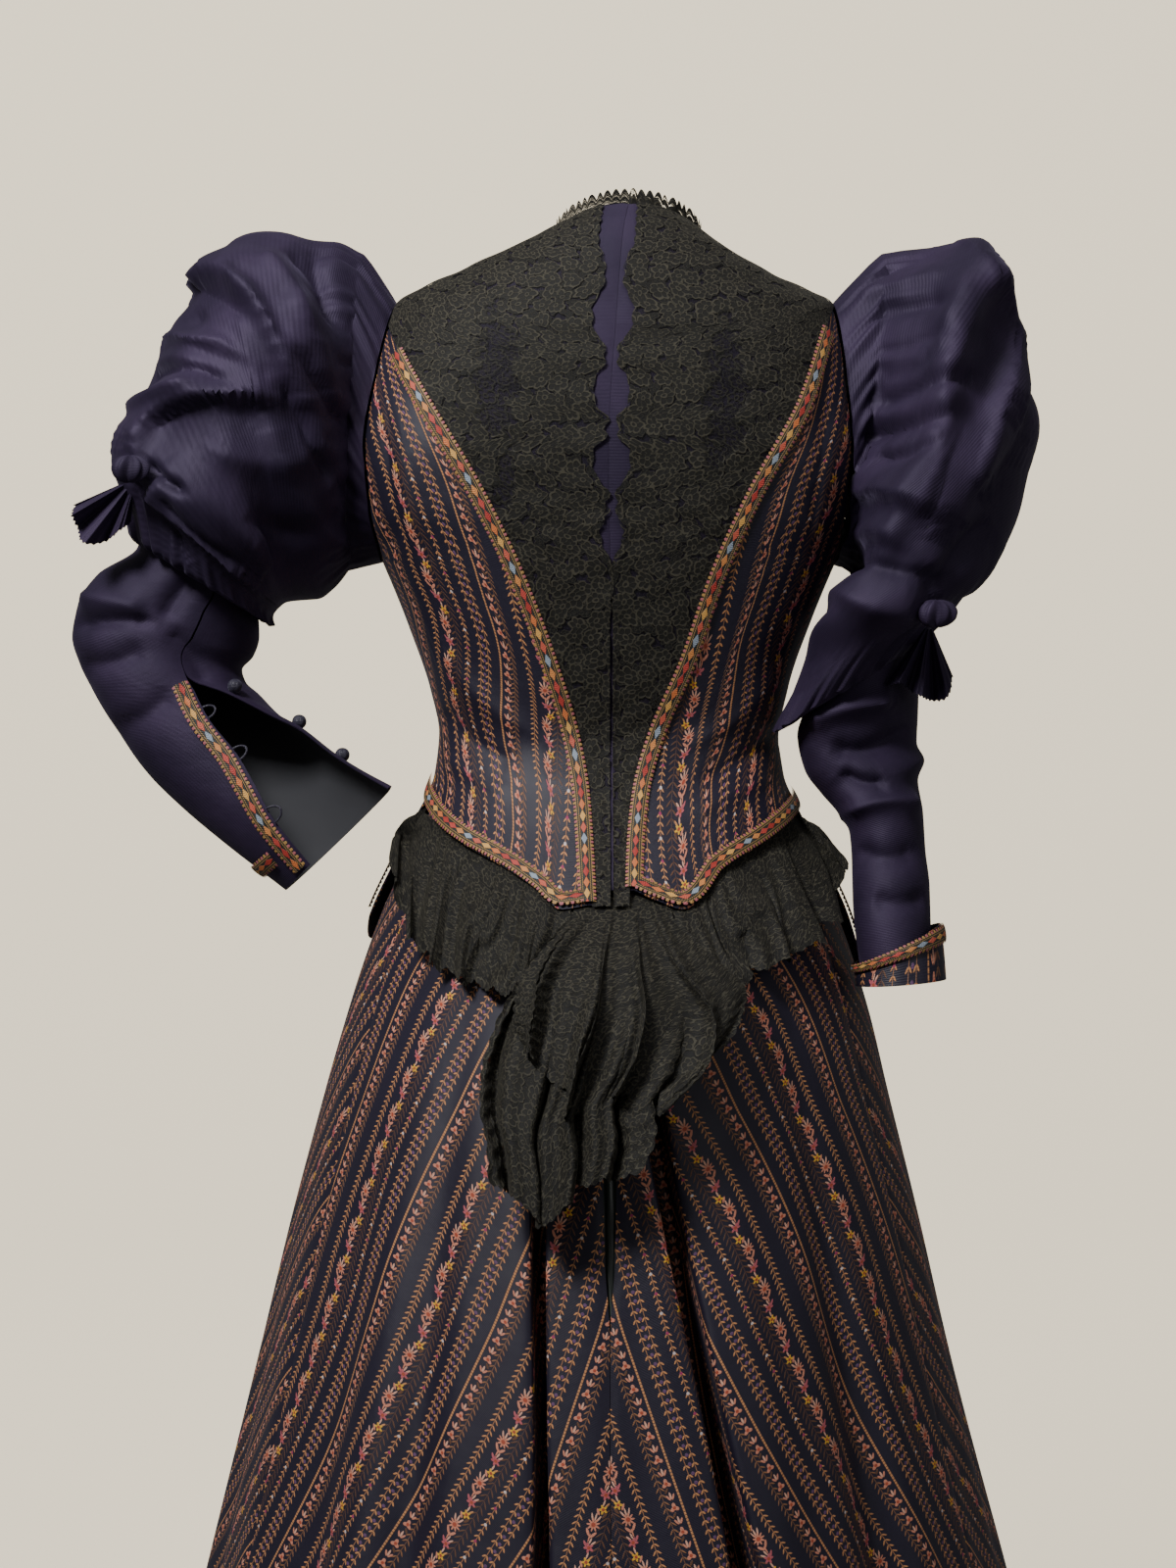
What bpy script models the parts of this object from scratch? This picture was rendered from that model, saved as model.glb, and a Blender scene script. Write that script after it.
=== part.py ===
# Two-piece day dress, photographed from the back: bodice with a lace yoke, gathered sleeves and flared skirt
# Sizes are in metres. +X is the photograph's right, -Y faces the viewer, +Z is up
import bpy
import numpy as np
from mathutils import Matrix, Vector
from mathutils.bvhtree import BVHTree

NAME = "bustle_dress"

# Cloth thickness and gaps
SILK_WALL = 0.0016
SKIRT_WALL = 0.0020
LACE_WALL = 0.0010
BRAID_THICK = 0.0012
BRAID_WIDTH = 0.0120
SEAM_HALF_GAP = 0.0004
SEAT_GAP = 0.0004
SLIDE_TRIES = 40
LAY_LIFT = 0.0019
LACE_LIFT = {"left": 0.0019, "right": 0.0026}
SHOULDER_EXTRA_LIFT = 0.0024
HEM_BRAID_LIFT = 0.0027
BASQUE_BRAID_LIFT = {"left": -0.0001, "right": -0.0005}
SLEEVE_BRAID_LIFT = 0.0004
CUFF_BRAID_LIFT = 0.0010
PUFF_HEM_LIFT = {"left": 0.0018, "right": 0.0024}
FOLD_SMOOTHING = 1e-9
# Angles in degrees tried beside a seam of the bodice
SMALLEST_STEP = 1e-4
LARGEST_STEP = 4.0
SEAM_STEPS = 60
BODY_CENTRE = np.array([-0.004, 0.0, 0.0])
LEVEL = np.array([1.0, 1.0, 0.0])

# Bodice rings from the neck down: height at back, side and front, half width, depth to the back and to the
# front, roundness (2 is an ellipse, more is squarer) and sideways centre
TORSO_COLUMNS = ("z_back", "z_side", "z_front", "half", "back", "front", "square", "centre")
TORSO = (
    (0.033, 0.016, -0.035, 0.053, 0.052, 0.060, 2.0, 0.010),
    (0.012, 0.003, -0.048, 0.083, 0.072, 0.080, 2.1, 0.006),
    (-0.020, -0.014, -0.064, 0.122, 0.090, 0.098, 2.3, 0.003),
    (-0.062, -0.034, -0.084, 0.158, 0.104, 0.110, 2.6, 0.000),
    (-0.100, -0.085, -0.112, 0.178, 0.112, 0.117, 2.9, -0.003),
    (-0.145, -0.140, -0.150, 0.188, 0.115, 0.124, 3.0, -0.005),
    (-0.188, -0.186, -0.190, 0.182, 0.113, 0.132, 2.8, -0.005),
    (-0.222, -0.222, -0.222, 0.166, 0.110, 0.134, 2.6, -0.004),
    (-0.265, -0.265, -0.265, 0.148, 0.103, 0.124, 2.5, -0.004),
    (-0.315, -0.315, -0.315, 0.131, 0.094, 0.108, 2.4, -0.004),
    (-0.350, -0.350, -0.350, 0.125, 0.088, 0.099, 2.3, -0.004),
    (-0.378, -0.378, -0.378, 0.128, 0.094, 0.100, 2.3, -0.004),
    (-0.410, -0.410, -0.410, 0.143, 0.114, 0.109, 2.2, -0.004),
    (-0.445, -0.445, -0.445, 0.160, 0.144, 0.123, 2.1, -0.004),
    (-0.480, -0.480, -0.480, 0.176, 0.175, 0.137, 2.1, -0.004),
    (-0.545, -0.545, -0.545, 0.194, 0.217, 0.157, 2.1, -0.004),
)
SHOULDER_LEVEL = 3.0
RIGHT_SHOULDER_DROP = 0.006
UNDERARM_LEVEL = 7.0
ARMHOLE_HALF_ANGLE = 27.0
SIDE_SEAM = 90.0
# Least angle in degrees between the V edge and the armhole, and where the hem starts beside the centre back
APEX_ROOM = 2.2
HEM_FIRST_ANGLE = 6.0
PANEL_COLUMNS = 7
SHOULDER_ROWS = 7
# Levels of the rows along the side of each back and front panel, closer together round the armhole
BACK_ROWS = (3.7, 4.3, 5.0, 5.7, 6.3, 6.75, 7.0, 7.6, 8.3, 9.0, 9.7, 10.5)
FRONT_ROWS = (1.0, 2.0, 2.7, 3.0, 3.3, 4.0, 5.0, 6.0, 6.7, 7.0, 8.0, 9.0, 10.0, 11.0, 12.0)

# Edge of the plain back piece down both sides of the V, seen from behind
V_EDGE_COLUMNS = ("z", "left_x", "right_x")
V_EDGE = (
    (-0.040, -0.176, 0.166),
    (-0.060, -0.166, 0.154),
    (-0.120, -0.132, 0.131),
    (-0.180, -0.0975, 0.098),
    (-0.240, -0.069, 0.071),
    (-0.300, -0.0465, 0.0503),
    (-0.350, -0.0315, 0.029),
    (-0.390, -0.0245, 0.018),
    (-0.430, -0.0215, 0.0135),
    (-0.480, -0.019, 0.0115),
)
PLAIN_BACK_HEM = -0.466

# Hem of each striped back panel, from the V edge (0) to the side seam (1)
BACK_HEM_COLUMNS = ("across", "left_z", "right_z")
BACK_HEM = (
    (0.00, -0.468, -0.458),
    (0.07, -0.471, -0.466),
    (0.13, -0.459, -0.471),
    (0.25, -0.443, -0.447),
    (0.43, -0.427, -0.429),
    (0.70, -0.405, -0.410),
    (1.00, -0.388, -0.398),
)
# Hem of each front with its hip basque, from the side seam (0) to the centre front (1)
FRONT_HEM_COLUMNS = ("across", "left_z", "right_z")
FRONT_HEM = (
    (0.00, -0.478, -0.530),
    (0.15, -0.500, -0.535),
    (0.50, -0.495, -0.505),
    (1.00, -0.470, -0.470),
)

# Half width of the bare strip between the two yoke laces, seen from behind
YOKE_EDGE_COLUMNS = ("z", "half")
YOKE_EDGE = (
    (0.030, 0.013), (0.000, 0.014), (-0.018, 0.008), (-0.032, 0.008), (-0.050, 0.0155), (-0.066, 0.0145),
    (-0.078, 0.0062), (-0.090, 0.0062), (-0.103, 0.0135), (-0.118, 0.0135), (-0.128, 0.006), (-0.140, 0.006),
    (-0.154, 0.0145), (-0.168, 0.013), (-0.180, 0.005), (-0.196, 0.005), (-0.208, 0.0095), (-0.222, 0.006),
    (-0.232, 0.0010), (-0.470, 0.0010),
)
# Middle of that strip at three levels
YOKE_CENTRE_LEVELS = (0.0, 4.0, 14.0)
YOKE_CENTRE = (0.004, -0.003, -0.003)
# Room for the braid beside the lace, as a share of half the braid: on the shoulder, under it and lower down
YOKE_ROOM = (0.5, 1.9, 1.45)
YOKE_LOWER_LEVEL = 4.6
BRAID_CLEARANCE = 0.001
NARROWEST_YOKE = 0.6
YOKE_ROWS = 27
YOKE_FIRST_LEVEL = 0.15
YOKE_LAST_ROOM = 0.05
SHOULDER_LIFT_REACH = 0.9
# Standing lace round the neck
NECK_COLUMNS = 36
NECK_WAVES = 12
NECK_WAVE = 0.0015
NECK_BOTTOM = (0.0006, 0.0012)
NECK_TOP = (-0.0010, 0.0085)
NECK_MIDDLE = np.array([0.010, 0.0, 0.0])

# Braids of the bodice, in levels, shares across and degrees
BRAID_FINE_PLACES = 80
NORMAL_DEGREES = 0.5
NORMAL_LEVELS = 0.05
V_BRAID_FROM = 0.48
V_BRAID_TO = 0.12
V_BRAID_PLACES = 22
HEM_BRAID_FROM = {"left": 0.085, "right": 0.10}
HEM_BRAID_TO = 0.97
HEM_BRAID_ABOVE = 0.19
HEM_BRAID_PLACES = 17
BASQUE_BRAID_TOP = -0.424
BASQUE_BRAID_ROOM = 0.05
BASQUE_BRAID_ANGLE = 3.2
BASQUE_BRAID_PLACES = 7

# Skirt rings from the waist to the hem
SKIRT_COLUMNS = ("z", "half", "back", "front", "centre")
SKIRT = (
    (-0.362, 0.1170, 0.080, 0.090, -0.004),
    (-0.378, 0.1200, 0.086, 0.092, -0.004),
    (-0.410, 0.1340, 0.105, 0.101, -0.004),
    (-0.445, 0.1510, 0.135, 0.115, -0.004),
    (-0.480, 0.1670, 0.166, 0.129, -0.004),
    (-0.545, 0.1890, 0.210, 0.148, -0.004),
    (-0.610, 0.2060, 0.238, 0.168, -0.005),
    (-0.700, 0.2290, 0.262, 0.190, -0.005),
    (-0.800, 0.2520, 0.285, 0.212, -0.005),
    (-0.961, 0.2920, 0.318, 0.245, -0.004),
    (-1.100, 0.3270, 0.346, 0.270, -0.004),
    (-1.250, 0.3630, 0.378, 0.297, -0.004),
    (-1.438, 0.4080, 0.415, 0.330, -0.004),
)
# Folds of the skirt: angle from the centre back in degrees at three heights, width there, depth inward, and
# how steep the walls are (2 is a soft hollow)
FOLD_HEIGHTS = (-0.600, -0.900, -1.438)
FOLD_COLUMNS = ("angle_top", "angle_mid", "angle_hem", "width_top", "width_mid", "width_hem",
                "depth_top", "depth_mid", "depth_hem", "steep")
FOLDS = (
    (-13.5, -9.6, -8.0, 2.0, 2.3, 2.2, 0.016, 0.052, 0.066, 4.0),
    (8.0, 18.5, 25.0, 2.4, 2.9, 3.2, 0.018, 0.052, 0.066, 4.0),
    (-31.0, -30.0, -28.0, 4.5, 5.0, 5.0, 0.003, 0.016, 0.032, 2.0),
    (40.0, 43.0, 46.0, 4.5, 5.0, 5.0, 0.003, 0.016, 0.032, 2.0),
    (-50.0, -49.0, -48.0, 5.0, 5.0, 5.0, 0.000, 0.008, 0.022, 2.0),
    (78.0, 78.0, 78.0, 6.0, 6.0, 6.0, 0.000, 0.008, 0.024, 2.0),
    (-80.0, -79.0, -78.0, 6.0, 6.0, 6.0, 0.000, 0.006, 0.022, 2.0),
    (98.0, 97.0, 96.0, 6.0, 6.0, 6.0, 0.000, 0.006, 0.020, 2.0),
    (-96.0, -96.0, -96.0, 6.0, 6.0, 6.0, 0.000, 0.005, 0.020, 2.0),
    (111.0, 111.0, 111.0, 5.0, 5.0, 5.0, 0.000, 0.004, 0.016, 2.0),
    (-111.0, -111.0, -111.0, 5.0, 5.0, 5.0, 0.000, 0.006, 0.016, 2.0),
    (149.0, 149.0, 149.0, 6.0, 6.0, 6.0, 0.000, 0.006, 0.018, 2.0),
    (-149.0, -149.0, -149.0, 6.0, 6.0, 6.0, 0.000, 0.006, 0.018, 2.0),
    (170.0, 170.0, 170.0, 6.0, 6.0, 6.0, 0.000, 0.005, 0.018, 2.0),
    (-171.0, -171.0, -171.0, 6.0, 6.0, 6.0, 0.000, 0.005, 0.018, 2.0),
)
FOLD_START = -0.50
FOLD_FADE = 0.10
# How much closer together the columns of a gore lie round its folds
GORE_PLACES = 241
FOLD_NEED = 260.0
FOLD_NEED_LEAST = 0.002
FOLD_NEED_REACH = 1.6
# Back placket: open slit in the centre back seam
SLIT_COLUMNS = ("z", "half")
SLIT = (
    (-0.362, 0.0010), (-0.560, 0.0030), (-0.650, 0.0046),
    (-0.700, 0.0036), (-0.745, 0.0006), (-1.438, 0.0006),
)
GORES = (
    ("skirt_back_left", -62.0, 0.0, 20),
    ("skirt_back_right", 0.0, 62.0, 20),
    ("skirt_side_left", -128.0, -62.0, 9),
    ("skirt_side_right", 62.0, 128.0, 9),
    ("skirt_front", 128.0, 232.0, 11),
)
PLACKET_SET_BACK = 0.0049
PLACKET_TOP = -0.400
PLACKET_BOTTOM = -0.765
PLACKET_ROWS = 10
PLACKET_OVERLAP = 0.010
SKIRT_ROWS = (-0.362, -0.392, -0.430, -0.480, -0.540, -0.600, -0.660, -0.730, -0.810, -0.900, -1.000, -1.120,
              -1.270, -1.438)

# Sleeve sections: the outer and the inner edge of each as seen from behind, and its depth to both sides
SLEEVE_COLUMNS = ("outer_x", "outer_y", "outer_z", "inner_x", "inner_y", "inner_z", "near", "far", "lean")
PUFF_LEFT = (
    (-0.186, 0.000, 0.002, -0.196, 0.000, -0.228, 0.066, 0.064, -0.05),
    (-0.206, 0.000, 0.012, -0.207, 0.000, -0.242, 0.084, 0.082, -0.12),
    (-0.235, 0.000, 0.013, -0.217, 0.000, -0.249, 0.100, 0.094, -0.16),
    (-0.275, 0.000, 0.002, -0.230, 0.000, -0.250, 0.108, 0.100, -0.14),
    (-0.298, -0.005, -0.014, -0.237, -0.005, -0.251, 0.110, 0.102, -0.10),
    (-0.306, -0.010, -0.044, -0.241, -0.008, -0.252, 0.108, 0.100, -0.08),
    (-0.328, -0.012, -0.078, -0.245, -0.010, -0.255, 0.104, 0.096, -0.06),
    (-0.348, -0.015, -0.112, -0.248, -0.012, -0.258, 0.098, 0.090, -0.04),
    (-0.359, -0.018, -0.140, -0.250, -0.014, -0.261, 0.090, 0.083, -0.02),
    (-0.357, -0.020, -0.172, -0.251, -0.016, -0.265, 0.082, 0.076, 0.00),
    (-0.352, -0.020, -0.203, -0.250, -0.018, -0.270, 0.072, 0.068, 0.00),
)
PUFF_RIGHT = (
    (0.198, 0.000, 0.002, 0.173, -0.002, -0.230, 0.064, 0.062, 0.04),
    (0.216, 0.000, 0.006, 0.175, -0.006, -0.237, 0.080, 0.078, 0.08),
    (0.240, -0.005, 0.008, 0.171, -0.012, -0.243, 0.092, 0.090, 0.12),
    (0.262, -0.010, 0.002, 0.165, -0.020, -0.249, 0.098, 0.096, 0.16),
    (0.272, -0.015, -0.030, 0.158, -0.030, -0.256, 0.100, 0.096, 0.20),
    (0.282, -0.020, -0.066, 0.151, -0.042, -0.266, 0.098, 0.094, 0.24),
    (0.294, -0.025, -0.099, 0.145, -0.052, -0.277, 0.096, 0.090, 0.24),
    (0.299, -0.028, -0.135, 0.140, -0.057, -0.289, 0.092, 0.086, 0.22),
    (0.295, -0.030, -0.178, 0.134, -0.058, -0.303, 0.086, 0.080, 0.20),
    (0.282, -0.032, -0.213, 0.128, -0.057, -0.318, 0.078, 0.072, 0.16),
    (0.258, -0.034, -0.241, 0.121, -0.056, -0.333, 0.068, 0.062, 0.12),
    (0.240, -0.035, -0.264, 0.114, -0.055, -0.348, 0.058, 0.052, 0.10),
)
UNDER_LEFT = (
    (-0.342, -0.020, -0.190, -0.264, -0.018, -0.240, 0.054, 0.050, 0.00),
    (-0.347, -0.020, -0.213, -0.260, -0.018, -0.262, 0.054, 0.050, 0.00),
    (-0.376, -0.022, -0.233, -0.259, -0.020, -0.278, 0.053, 0.049, 0.00),
    (-0.390, -0.024, -0.256, -0.263, -0.022, -0.292, 0.052, 0.048, 0.00),
    (-0.394, -0.026, -0.277, -0.271, -0.024, -0.302, 0.050, 0.046, 0.00),
    (-0.388, -0.030, -0.298, -0.268, -0.028, -0.311, 0.048, 0.044, 0.00),
    (-0.377, -0.034, -0.319, -0.258, -0.032, -0.320, 0.046, 0.042, 0.00),
    (-0.358, -0.040, -0.349, -0.243, -0.038, -0.335, 0.044, 0.040, 0.00),
    (-0.336, -0.046, -0.378, -0.224, -0.044, -0.349, 0.042, 0.038, 0.00),
    (-0.311, -0.052, -0.402, -0.203, -0.052, -0.366, 0.040, 0.036, 0.00),
    (-0.279, -0.060, -0.428, -0.184, -0.062, -0.378, 0.036, 0.034, 0.00),
    (-0.235, -0.068, -0.461, -0.161, -0.074, -0.390, 0.032, 0.032, 0.00),
)
UNDER_RIGHT = (
    (0.223, -0.038, -0.264, 0.148, -0.056, -0.308, 0.044, 0.040, 0.10),
    (0.220, -0.038, -0.305, 0.136, -0.056, -0.333, 0.042, 0.038, 0.10),
    (0.219, -0.038, -0.336, 0.131, -0.056, -0.352, 0.041, 0.037, 0.08),
    (0.218, -0.040, -0.355, 0.136, -0.056, -0.375, 0.040, 0.036, 0.06),
    (0.223, -0.044, -0.368, 0.148, -0.056, -0.392, 0.040, 0.034, 0.04),
    (0.218, -0.048, -0.383, 0.160, -0.058, -0.406, 0.037, 0.033, 0.02),
    (0.221, -0.054, -0.406, 0.168, -0.062, -0.421, 0.035, 0.032, 0.00),
    (0.222, -0.062, -0.433, 0.169, -0.068, -0.441, 0.034, 0.032, 0.00),
    (0.224, -0.072, -0.459, 0.169, -0.076, -0.468, 0.033, 0.031, 0.00),
    (0.224, -0.080, -0.490, 0.171, -0.084, -0.498, 0.032, 0.030, 0.00),
    (0.224, -0.086, -0.518, 0.175, -0.088, -0.522, 0.030, 0.029, 0.00),
)
CUFF_RIGHT = (
    (0.231, -0.078, -0.484, 0.1695, -0.084, -0.513, 0.037, 0.035, 0.00),
    (0.233, -0.083, -0.503, 0.1695, -0.086, -0.521, 0.036, 0.034, 0.00),
    (0.234, -0.088, -0.523, 0.1700, -0.089, -0.528, 0.035, 0.034, 0.00),
)
# Sections of the undersleeve that the end of each puff is gathered onto, on its outer and on its inner edge
PUFF_ENDS = {"left": (UNDER_LEFT, 0.7, 1.0), "right": (UNDER_RIGHT, 0.4, 0.9)}
# Open edge of the left undersleeve: the braid edge and the button edge, as angles from the outer edge
OPEN_COLUMNS = ("section", "braid_angle", "button_angle")
OPEN_EDGE = (
    (0.0, 112.5, 114.0), (3.0, 112.5, 114.0), (5.0, 111.5, 113.0), (5.6, 110.0, 121.0), (7.0, 103.0, 149.0),
    (8.0, 100.0, 166.0), (9.0, 91.0, 172.0), (10.0, 77.0, 176.0), (11.0, 62.0, 178.0),
)
# Puff folds: angle and section where each starts and ends, width in sections, height outward
PUFF_FOLD_COLUMNS = ("angle_from", "section_from", "angle_to", "section_to", "width", "height")
PUFF_FOLDS_LEFT = (
    (-60.0, 2.6, 60.0, 2.9, 0.75, 0.014),
    (60.0, 2.9, 115.0, 1.0, 0.8, 0.010),
    (-50.0, 5.6, 55.0, 5.2, 0.75, 0.013),
    (45.0, 8.2, 125.0, 5.4, 0.85, 0.013),
    (-120.0, 4.0, -70.0, 4.4, 0.8, 0.010),
)
PUFF_FOLDS_RIGHT = (
    (-60.0, 3.2, 55.0, 3.2, 0.8, 0.013),
    (60.0, 3.2, 110.0, 5.8, 0.8, 0.010),
    (-50.0, 6.6, 60.0, 6.6, 0.8, 0.010),
    (50.0, 9.2, 150.0, 6.8, 0.9, 0.012),
    (-120.0, 4.6, -70.0, 5.0, 0.8, 0.010),
)
FOLD_END_REACH = 22.0
PUFF_END_FADE = 1.5
ARMHOLE_LIFT = 0.0018
GATHERS = 6
GATHER_DEPTH = 0.0035
GATHER_REACH = 2.6
PUFF_COLUMNS = 26
PUFF_ROWS = 15
UNDER_COLUMNS = 16
UNDER_LEFT_COLUMNS = 18
UNDER_LEFT_ROWS = (0.0, 1.0, 2.0, 3.0, 4.0, 5.0, 5.6, 6.3, 7.0, 8.0, 9.0, 10.0, 11.0)
UNDER_RIGHT_ROWS = 11
# Braids of the sleeves, in sections and degrees
OPENING_BRAID_FROM = 5.7
OPENING_BRAID_TO = 10.9
OPENING_BRAID_PLACES = 16
OPENING_BRAID_INSET = 9.0
BESIDE_ANGLE = 4.0
WRIST_BRAID_SECTION = 10.62
WRIST_BESIDE_SECTION = 10.2
WRIST_BRAID_INSET = 22.0
WRIST_BRAID_LAST = -40.0
WRIST_BRAID_PLACES = 12
RING_PLACES = 24
CUFF_BRAID_SECTIONS = (0.02, 0.62)
CUFF_BRAID_COLUMNS = 20

# Peplum lace from the centre (0) to the side (1): place at the hem and at its own edge, seen from behind
PEPLUM_COLUMNS = ("across", "top_x", "edge_x", "edge_z", "flare")
PEPLUM_LEFT = (
    (0.00, -0.030, -0.036, -0.530, 0.006),
    (0.20, -0.055, -0.066, -0.526, 0.007),
    (0.40, -0.080, -0.092, -0.519, 0.008),
    (0.60, -0.104, -0.114, -0.508, 0.009),
    (0.80, -0.124, -0.131, -0.488, 0.010),
    (0.92, -0.134, -0.139, -0.455, 0.010),
    (1.00, -0.138, -0.144, -0.420, 0.012),
)
PEPLUM_RIGHT = (
    (0.00, 0.030, 0.040, -0.540, 0.006),
    (0.20, 0.052, 0.068, -0.522, 0.008),
    (0.40, 0.076, 0.092, -0.509, 0.010),
    (0.60, 0.098, 0.120, -0.496, 0.010),
    (0.80, 0.119, 0.138, -0.478, 0.010),
    (0.92, 0.128, 0.142, -0.450, 0.012),
    (1.00, 0.131, 0.143, -0.425, 0.014),
)
PEPLUM_WAVES = 6
PEPLUM_PLACES = 26
PEPLUM_ROWS = 4
PEPLUM_BELOW = 0.0035
PEPLUM_LIFT = 0.0075
PEPLUM_LEVEL = 12.3
WIDEST_SHARE = 0.97
# Lace tail: its left and right edge at shares of its length, and how far it stands off the skirt
TAIL_COLUMNS = ("share", "left_x", "right_x", "lift")
TAIL = (
    (0.00, -0.028, 0.020, 0.0095),
    (0.14, -0.050, 0.060, 0.026),
    (0.28, -0.066, 0.074, 0.033),
    (0.42, -0.077, 0.045, 0.035),
    (0.60, -0.085, 0.026, 0.036),
    (0.72, -0.084, 0.012, 0.036),
    (0.84, -0.080, 0.015, 0.037),
    (1.00, -0.075, 0.008, 0.038),
)
TAIL_TOP = -0.477
TAIL_WAVES = 6
TAIL_WAVE = (0.0010, 0.0090)
TAIL_WAVE_GROWTH = 1.6
TAIL_PLACES = 34
TAIL_ROWS = 8
# Lower edge of the tail: its height, the depth, place and width of its point, and its slant
TAIL_BOTTOM = -0.650
TAIL_POINT = 0.022
TAIL_POINT_AT = 0.25
TAIL_POINT_WIDTH = 0.2
TAIL_SLANT = 0.008

# Elbow knots and flounces: root of the fan, directions of its two edges seen from behind, lengths across it
FLOUNCE_COLUMNS = ("root", "first_ray", "last_ray", "lengths")
FLOUNCES = {
    "left": ((-0.340, -0.120, -0.168), (-1.00, 0.02, -0.42), (-0.12, -0.05, -1.00),
             (0.056, 0.062, 0.068, 0.052, 0.036)),
    "right": ((0.222, -0.140, -0.270), (-0.60, -0.04, -0.85), (0.38, 0.16, -0.82),
              (0.064, 0.056, 0.062, 0.066, 0.050)),
}
FLOUNCE_PLEATS = 3
FLOUNCE_ROWS = 4
PLACES_PER_PLEAT = 4
FLOUNCE_ROOT_REACH = 0.018
FLOUNCE_ROOT_WAVE = 0.0004
FLOUNCE_WAVE = 0.13
KNOT_SIZE = (0.013, 0.009, 0.010)
KNOT_OFFSET = np.array([0.0, -0.024, 0.003])
BUTTON_RADIUS = 0.0052
BUTTON_AT = (5.9, 7.7, 9.2)
BUTTON_INSET = 12.0
BUTTON_DROP_FROM = 2.5
PATCH_SECTIONS = 0.1
PATCH_DEGREES = 1.5

# Materials: base colour, roughness and metallic
MATERIALS = {
    "plain_silk": ((0.060, 0.050, 0.105), 0.55, 0.0),
    "striped_brocade": ((0.110, 0.060, 0.060), 0.60, 0.0),
    "black_lace": ((0.016, 0.015, 0.011), 0.80, 0.0),
    "gold_braid": ((0.500, 0.260, 0.110), 0.60, 0.0),
    "covered_button": ((0.018, 0.015, 0.028), 0.50, 0.0),
    "dark_lining": ((0.012, 0.018, 0.015), 0.75, 0.0),
}


def column(table, names, name):
    at = names.index(name)
    return np.array([row[at] for row in table], dtype=float)


def slopes_of(places, values):
    """Slopes of a smooth line that never overshoots its table."""
    steps = np.diff(places)
    rates = np.diff(values) / steps
    slopes = np.zeros_like(values)
    for i in range(1, len(values) - 1):
        if rates[i - 1] * rates[i] > 0:
            heavy = 2 * steps[i] + steps[i - 1]
            light = steps[i] + 2 * steps[i - 1]
            slopes[i] = (heavy + light) / (heavy / rates[i - 1] + light / rates[i])
    slopes[0] = rates[0]
    slopes[-1] = rates[-1]
    return slopes


def smooth(places, values, at):
    """Value of a table at any place between its rows."""
    places = np.asarray(places, dtype=float)
    values = np.asarray(values, dtype=float)
    at = np.asarray(at, dtype=float)
    if places[0] > places[-1]:
        places, values = places[::-1], values[::-1]
    slopes = slopes_of(places, values)
    spot = np.clip(np.searchsorted(places, at) - 1, 0, len(places) - 2)
    step = places[spot + 1] - places[spot]
    part = np.clip((at - places[spot]) / step, 0.0, 1.0)
    one = (1 + 2 * part) * (1 - part) ** 2 * values[spot]
    two = part * (1 - part) ** 2 * step * slopes[spot]
    three = part ** 2 * (3 - 2 * part) * values[spot + 1]
    four = part ** 2 * (part - 1) * step * slopes[spot + 1]
    return one + two + three + four


def looked_up(table, names, key, name, at):
    """Smooth value of one column of a table at a value of another."""
    return smooth(column(table, names, key), column(table, names, name), at)


def torso_value(name, level):
    return smooth(np.arange(len(TORSO)), column(TORSO, TORSO_COLUMNS, name), level)


def signed_power(value, power):
    return np.sign(value) * np.abs(value) ** power


def torso(angle, level):
    """Point of the bodice; angle in degrees from the centre back, positive to the right."""
    turn = np.radians(angle)
    power = 2.0 / torso_value("square", level)
    backness = np.cos(turn)
    depth = np.where(backness > 0, torso_value("back", level), torso_value("front", level))
    x = torso_value("centre", level) + torso_value("half", level) * signed_power(np.sin(turn), power)
    y = -depth * signed_power(backness, power)
    toward = np.abs(backness) ** 1.5
    far_z = np.where(backness > 0, torso_value("z_back", level), torso_value("z_front", level))
    along = np.sin(np.pi * np.clip(level / SHOULDER_LEVEL, 0, 1))
    drop = RIGHT_SHOULDER_DROP * np.clip(np.sin(turn), 0, 1) * along
    side_z = torso_value("z_side", level) - drop
    return np.stack([x, y, side_z + (far_z - side_z) * toward], axis=-1)


def level_for(z, angle):
    """Level at which the bodice at this angle has this height."""
    levels = np.linspace(0, len(TORSO) - 1, 300)
    heights = torso(np.full_like(levels, angle), levels)[:, 2]
    return float(np.interp(-z, -heights, levels))


def angle_for(x, level):
    """Angle on the back at which the bodice has this sideways place."""
    share = (x - torso_value("centre", level)) / torso_value("half", level)
    share = np.clip(share, -0.9995, 0.9995)
    return np.degrees(np.arcsin(signed_power(share, torso_value("square", level) / 2.0)))


def v_angle(level, side):
    name = "left_x" if side < 0 else "right_x"
    heights = 0.5 * (torso_value("z_back", level) + torso_value("z_side", level))
    places = column(V_EDGE, V_EDGE_COLUMNS, "z")
    x = smooth(places, column(V_EDGE, V_EDGE_COLUMNS, name), np.clip(heights, places[-1], places[0]))
    return np.abs(angle_for(x, level))


def armhole_half_angle(level):
    middle = 0.5 * (SHOULDER_LEVEL + UNDERARM_LEVEL)
    reach = 0.5 * (UNDERARM_LEVEL - SHOULDER_LEVEL)
    share = np.clip(1 - ((level - middle) / reach) ** 2, 0, 1)
    return ARMHOLE_HALF_ANGLE * np.sqrt(share)


def outer_angle(level):
    """Shoulder seam, armhole edge or side seam of a back piece at each level."""
    return SIDE_SEAM - armhole_half_angle(level)


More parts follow.
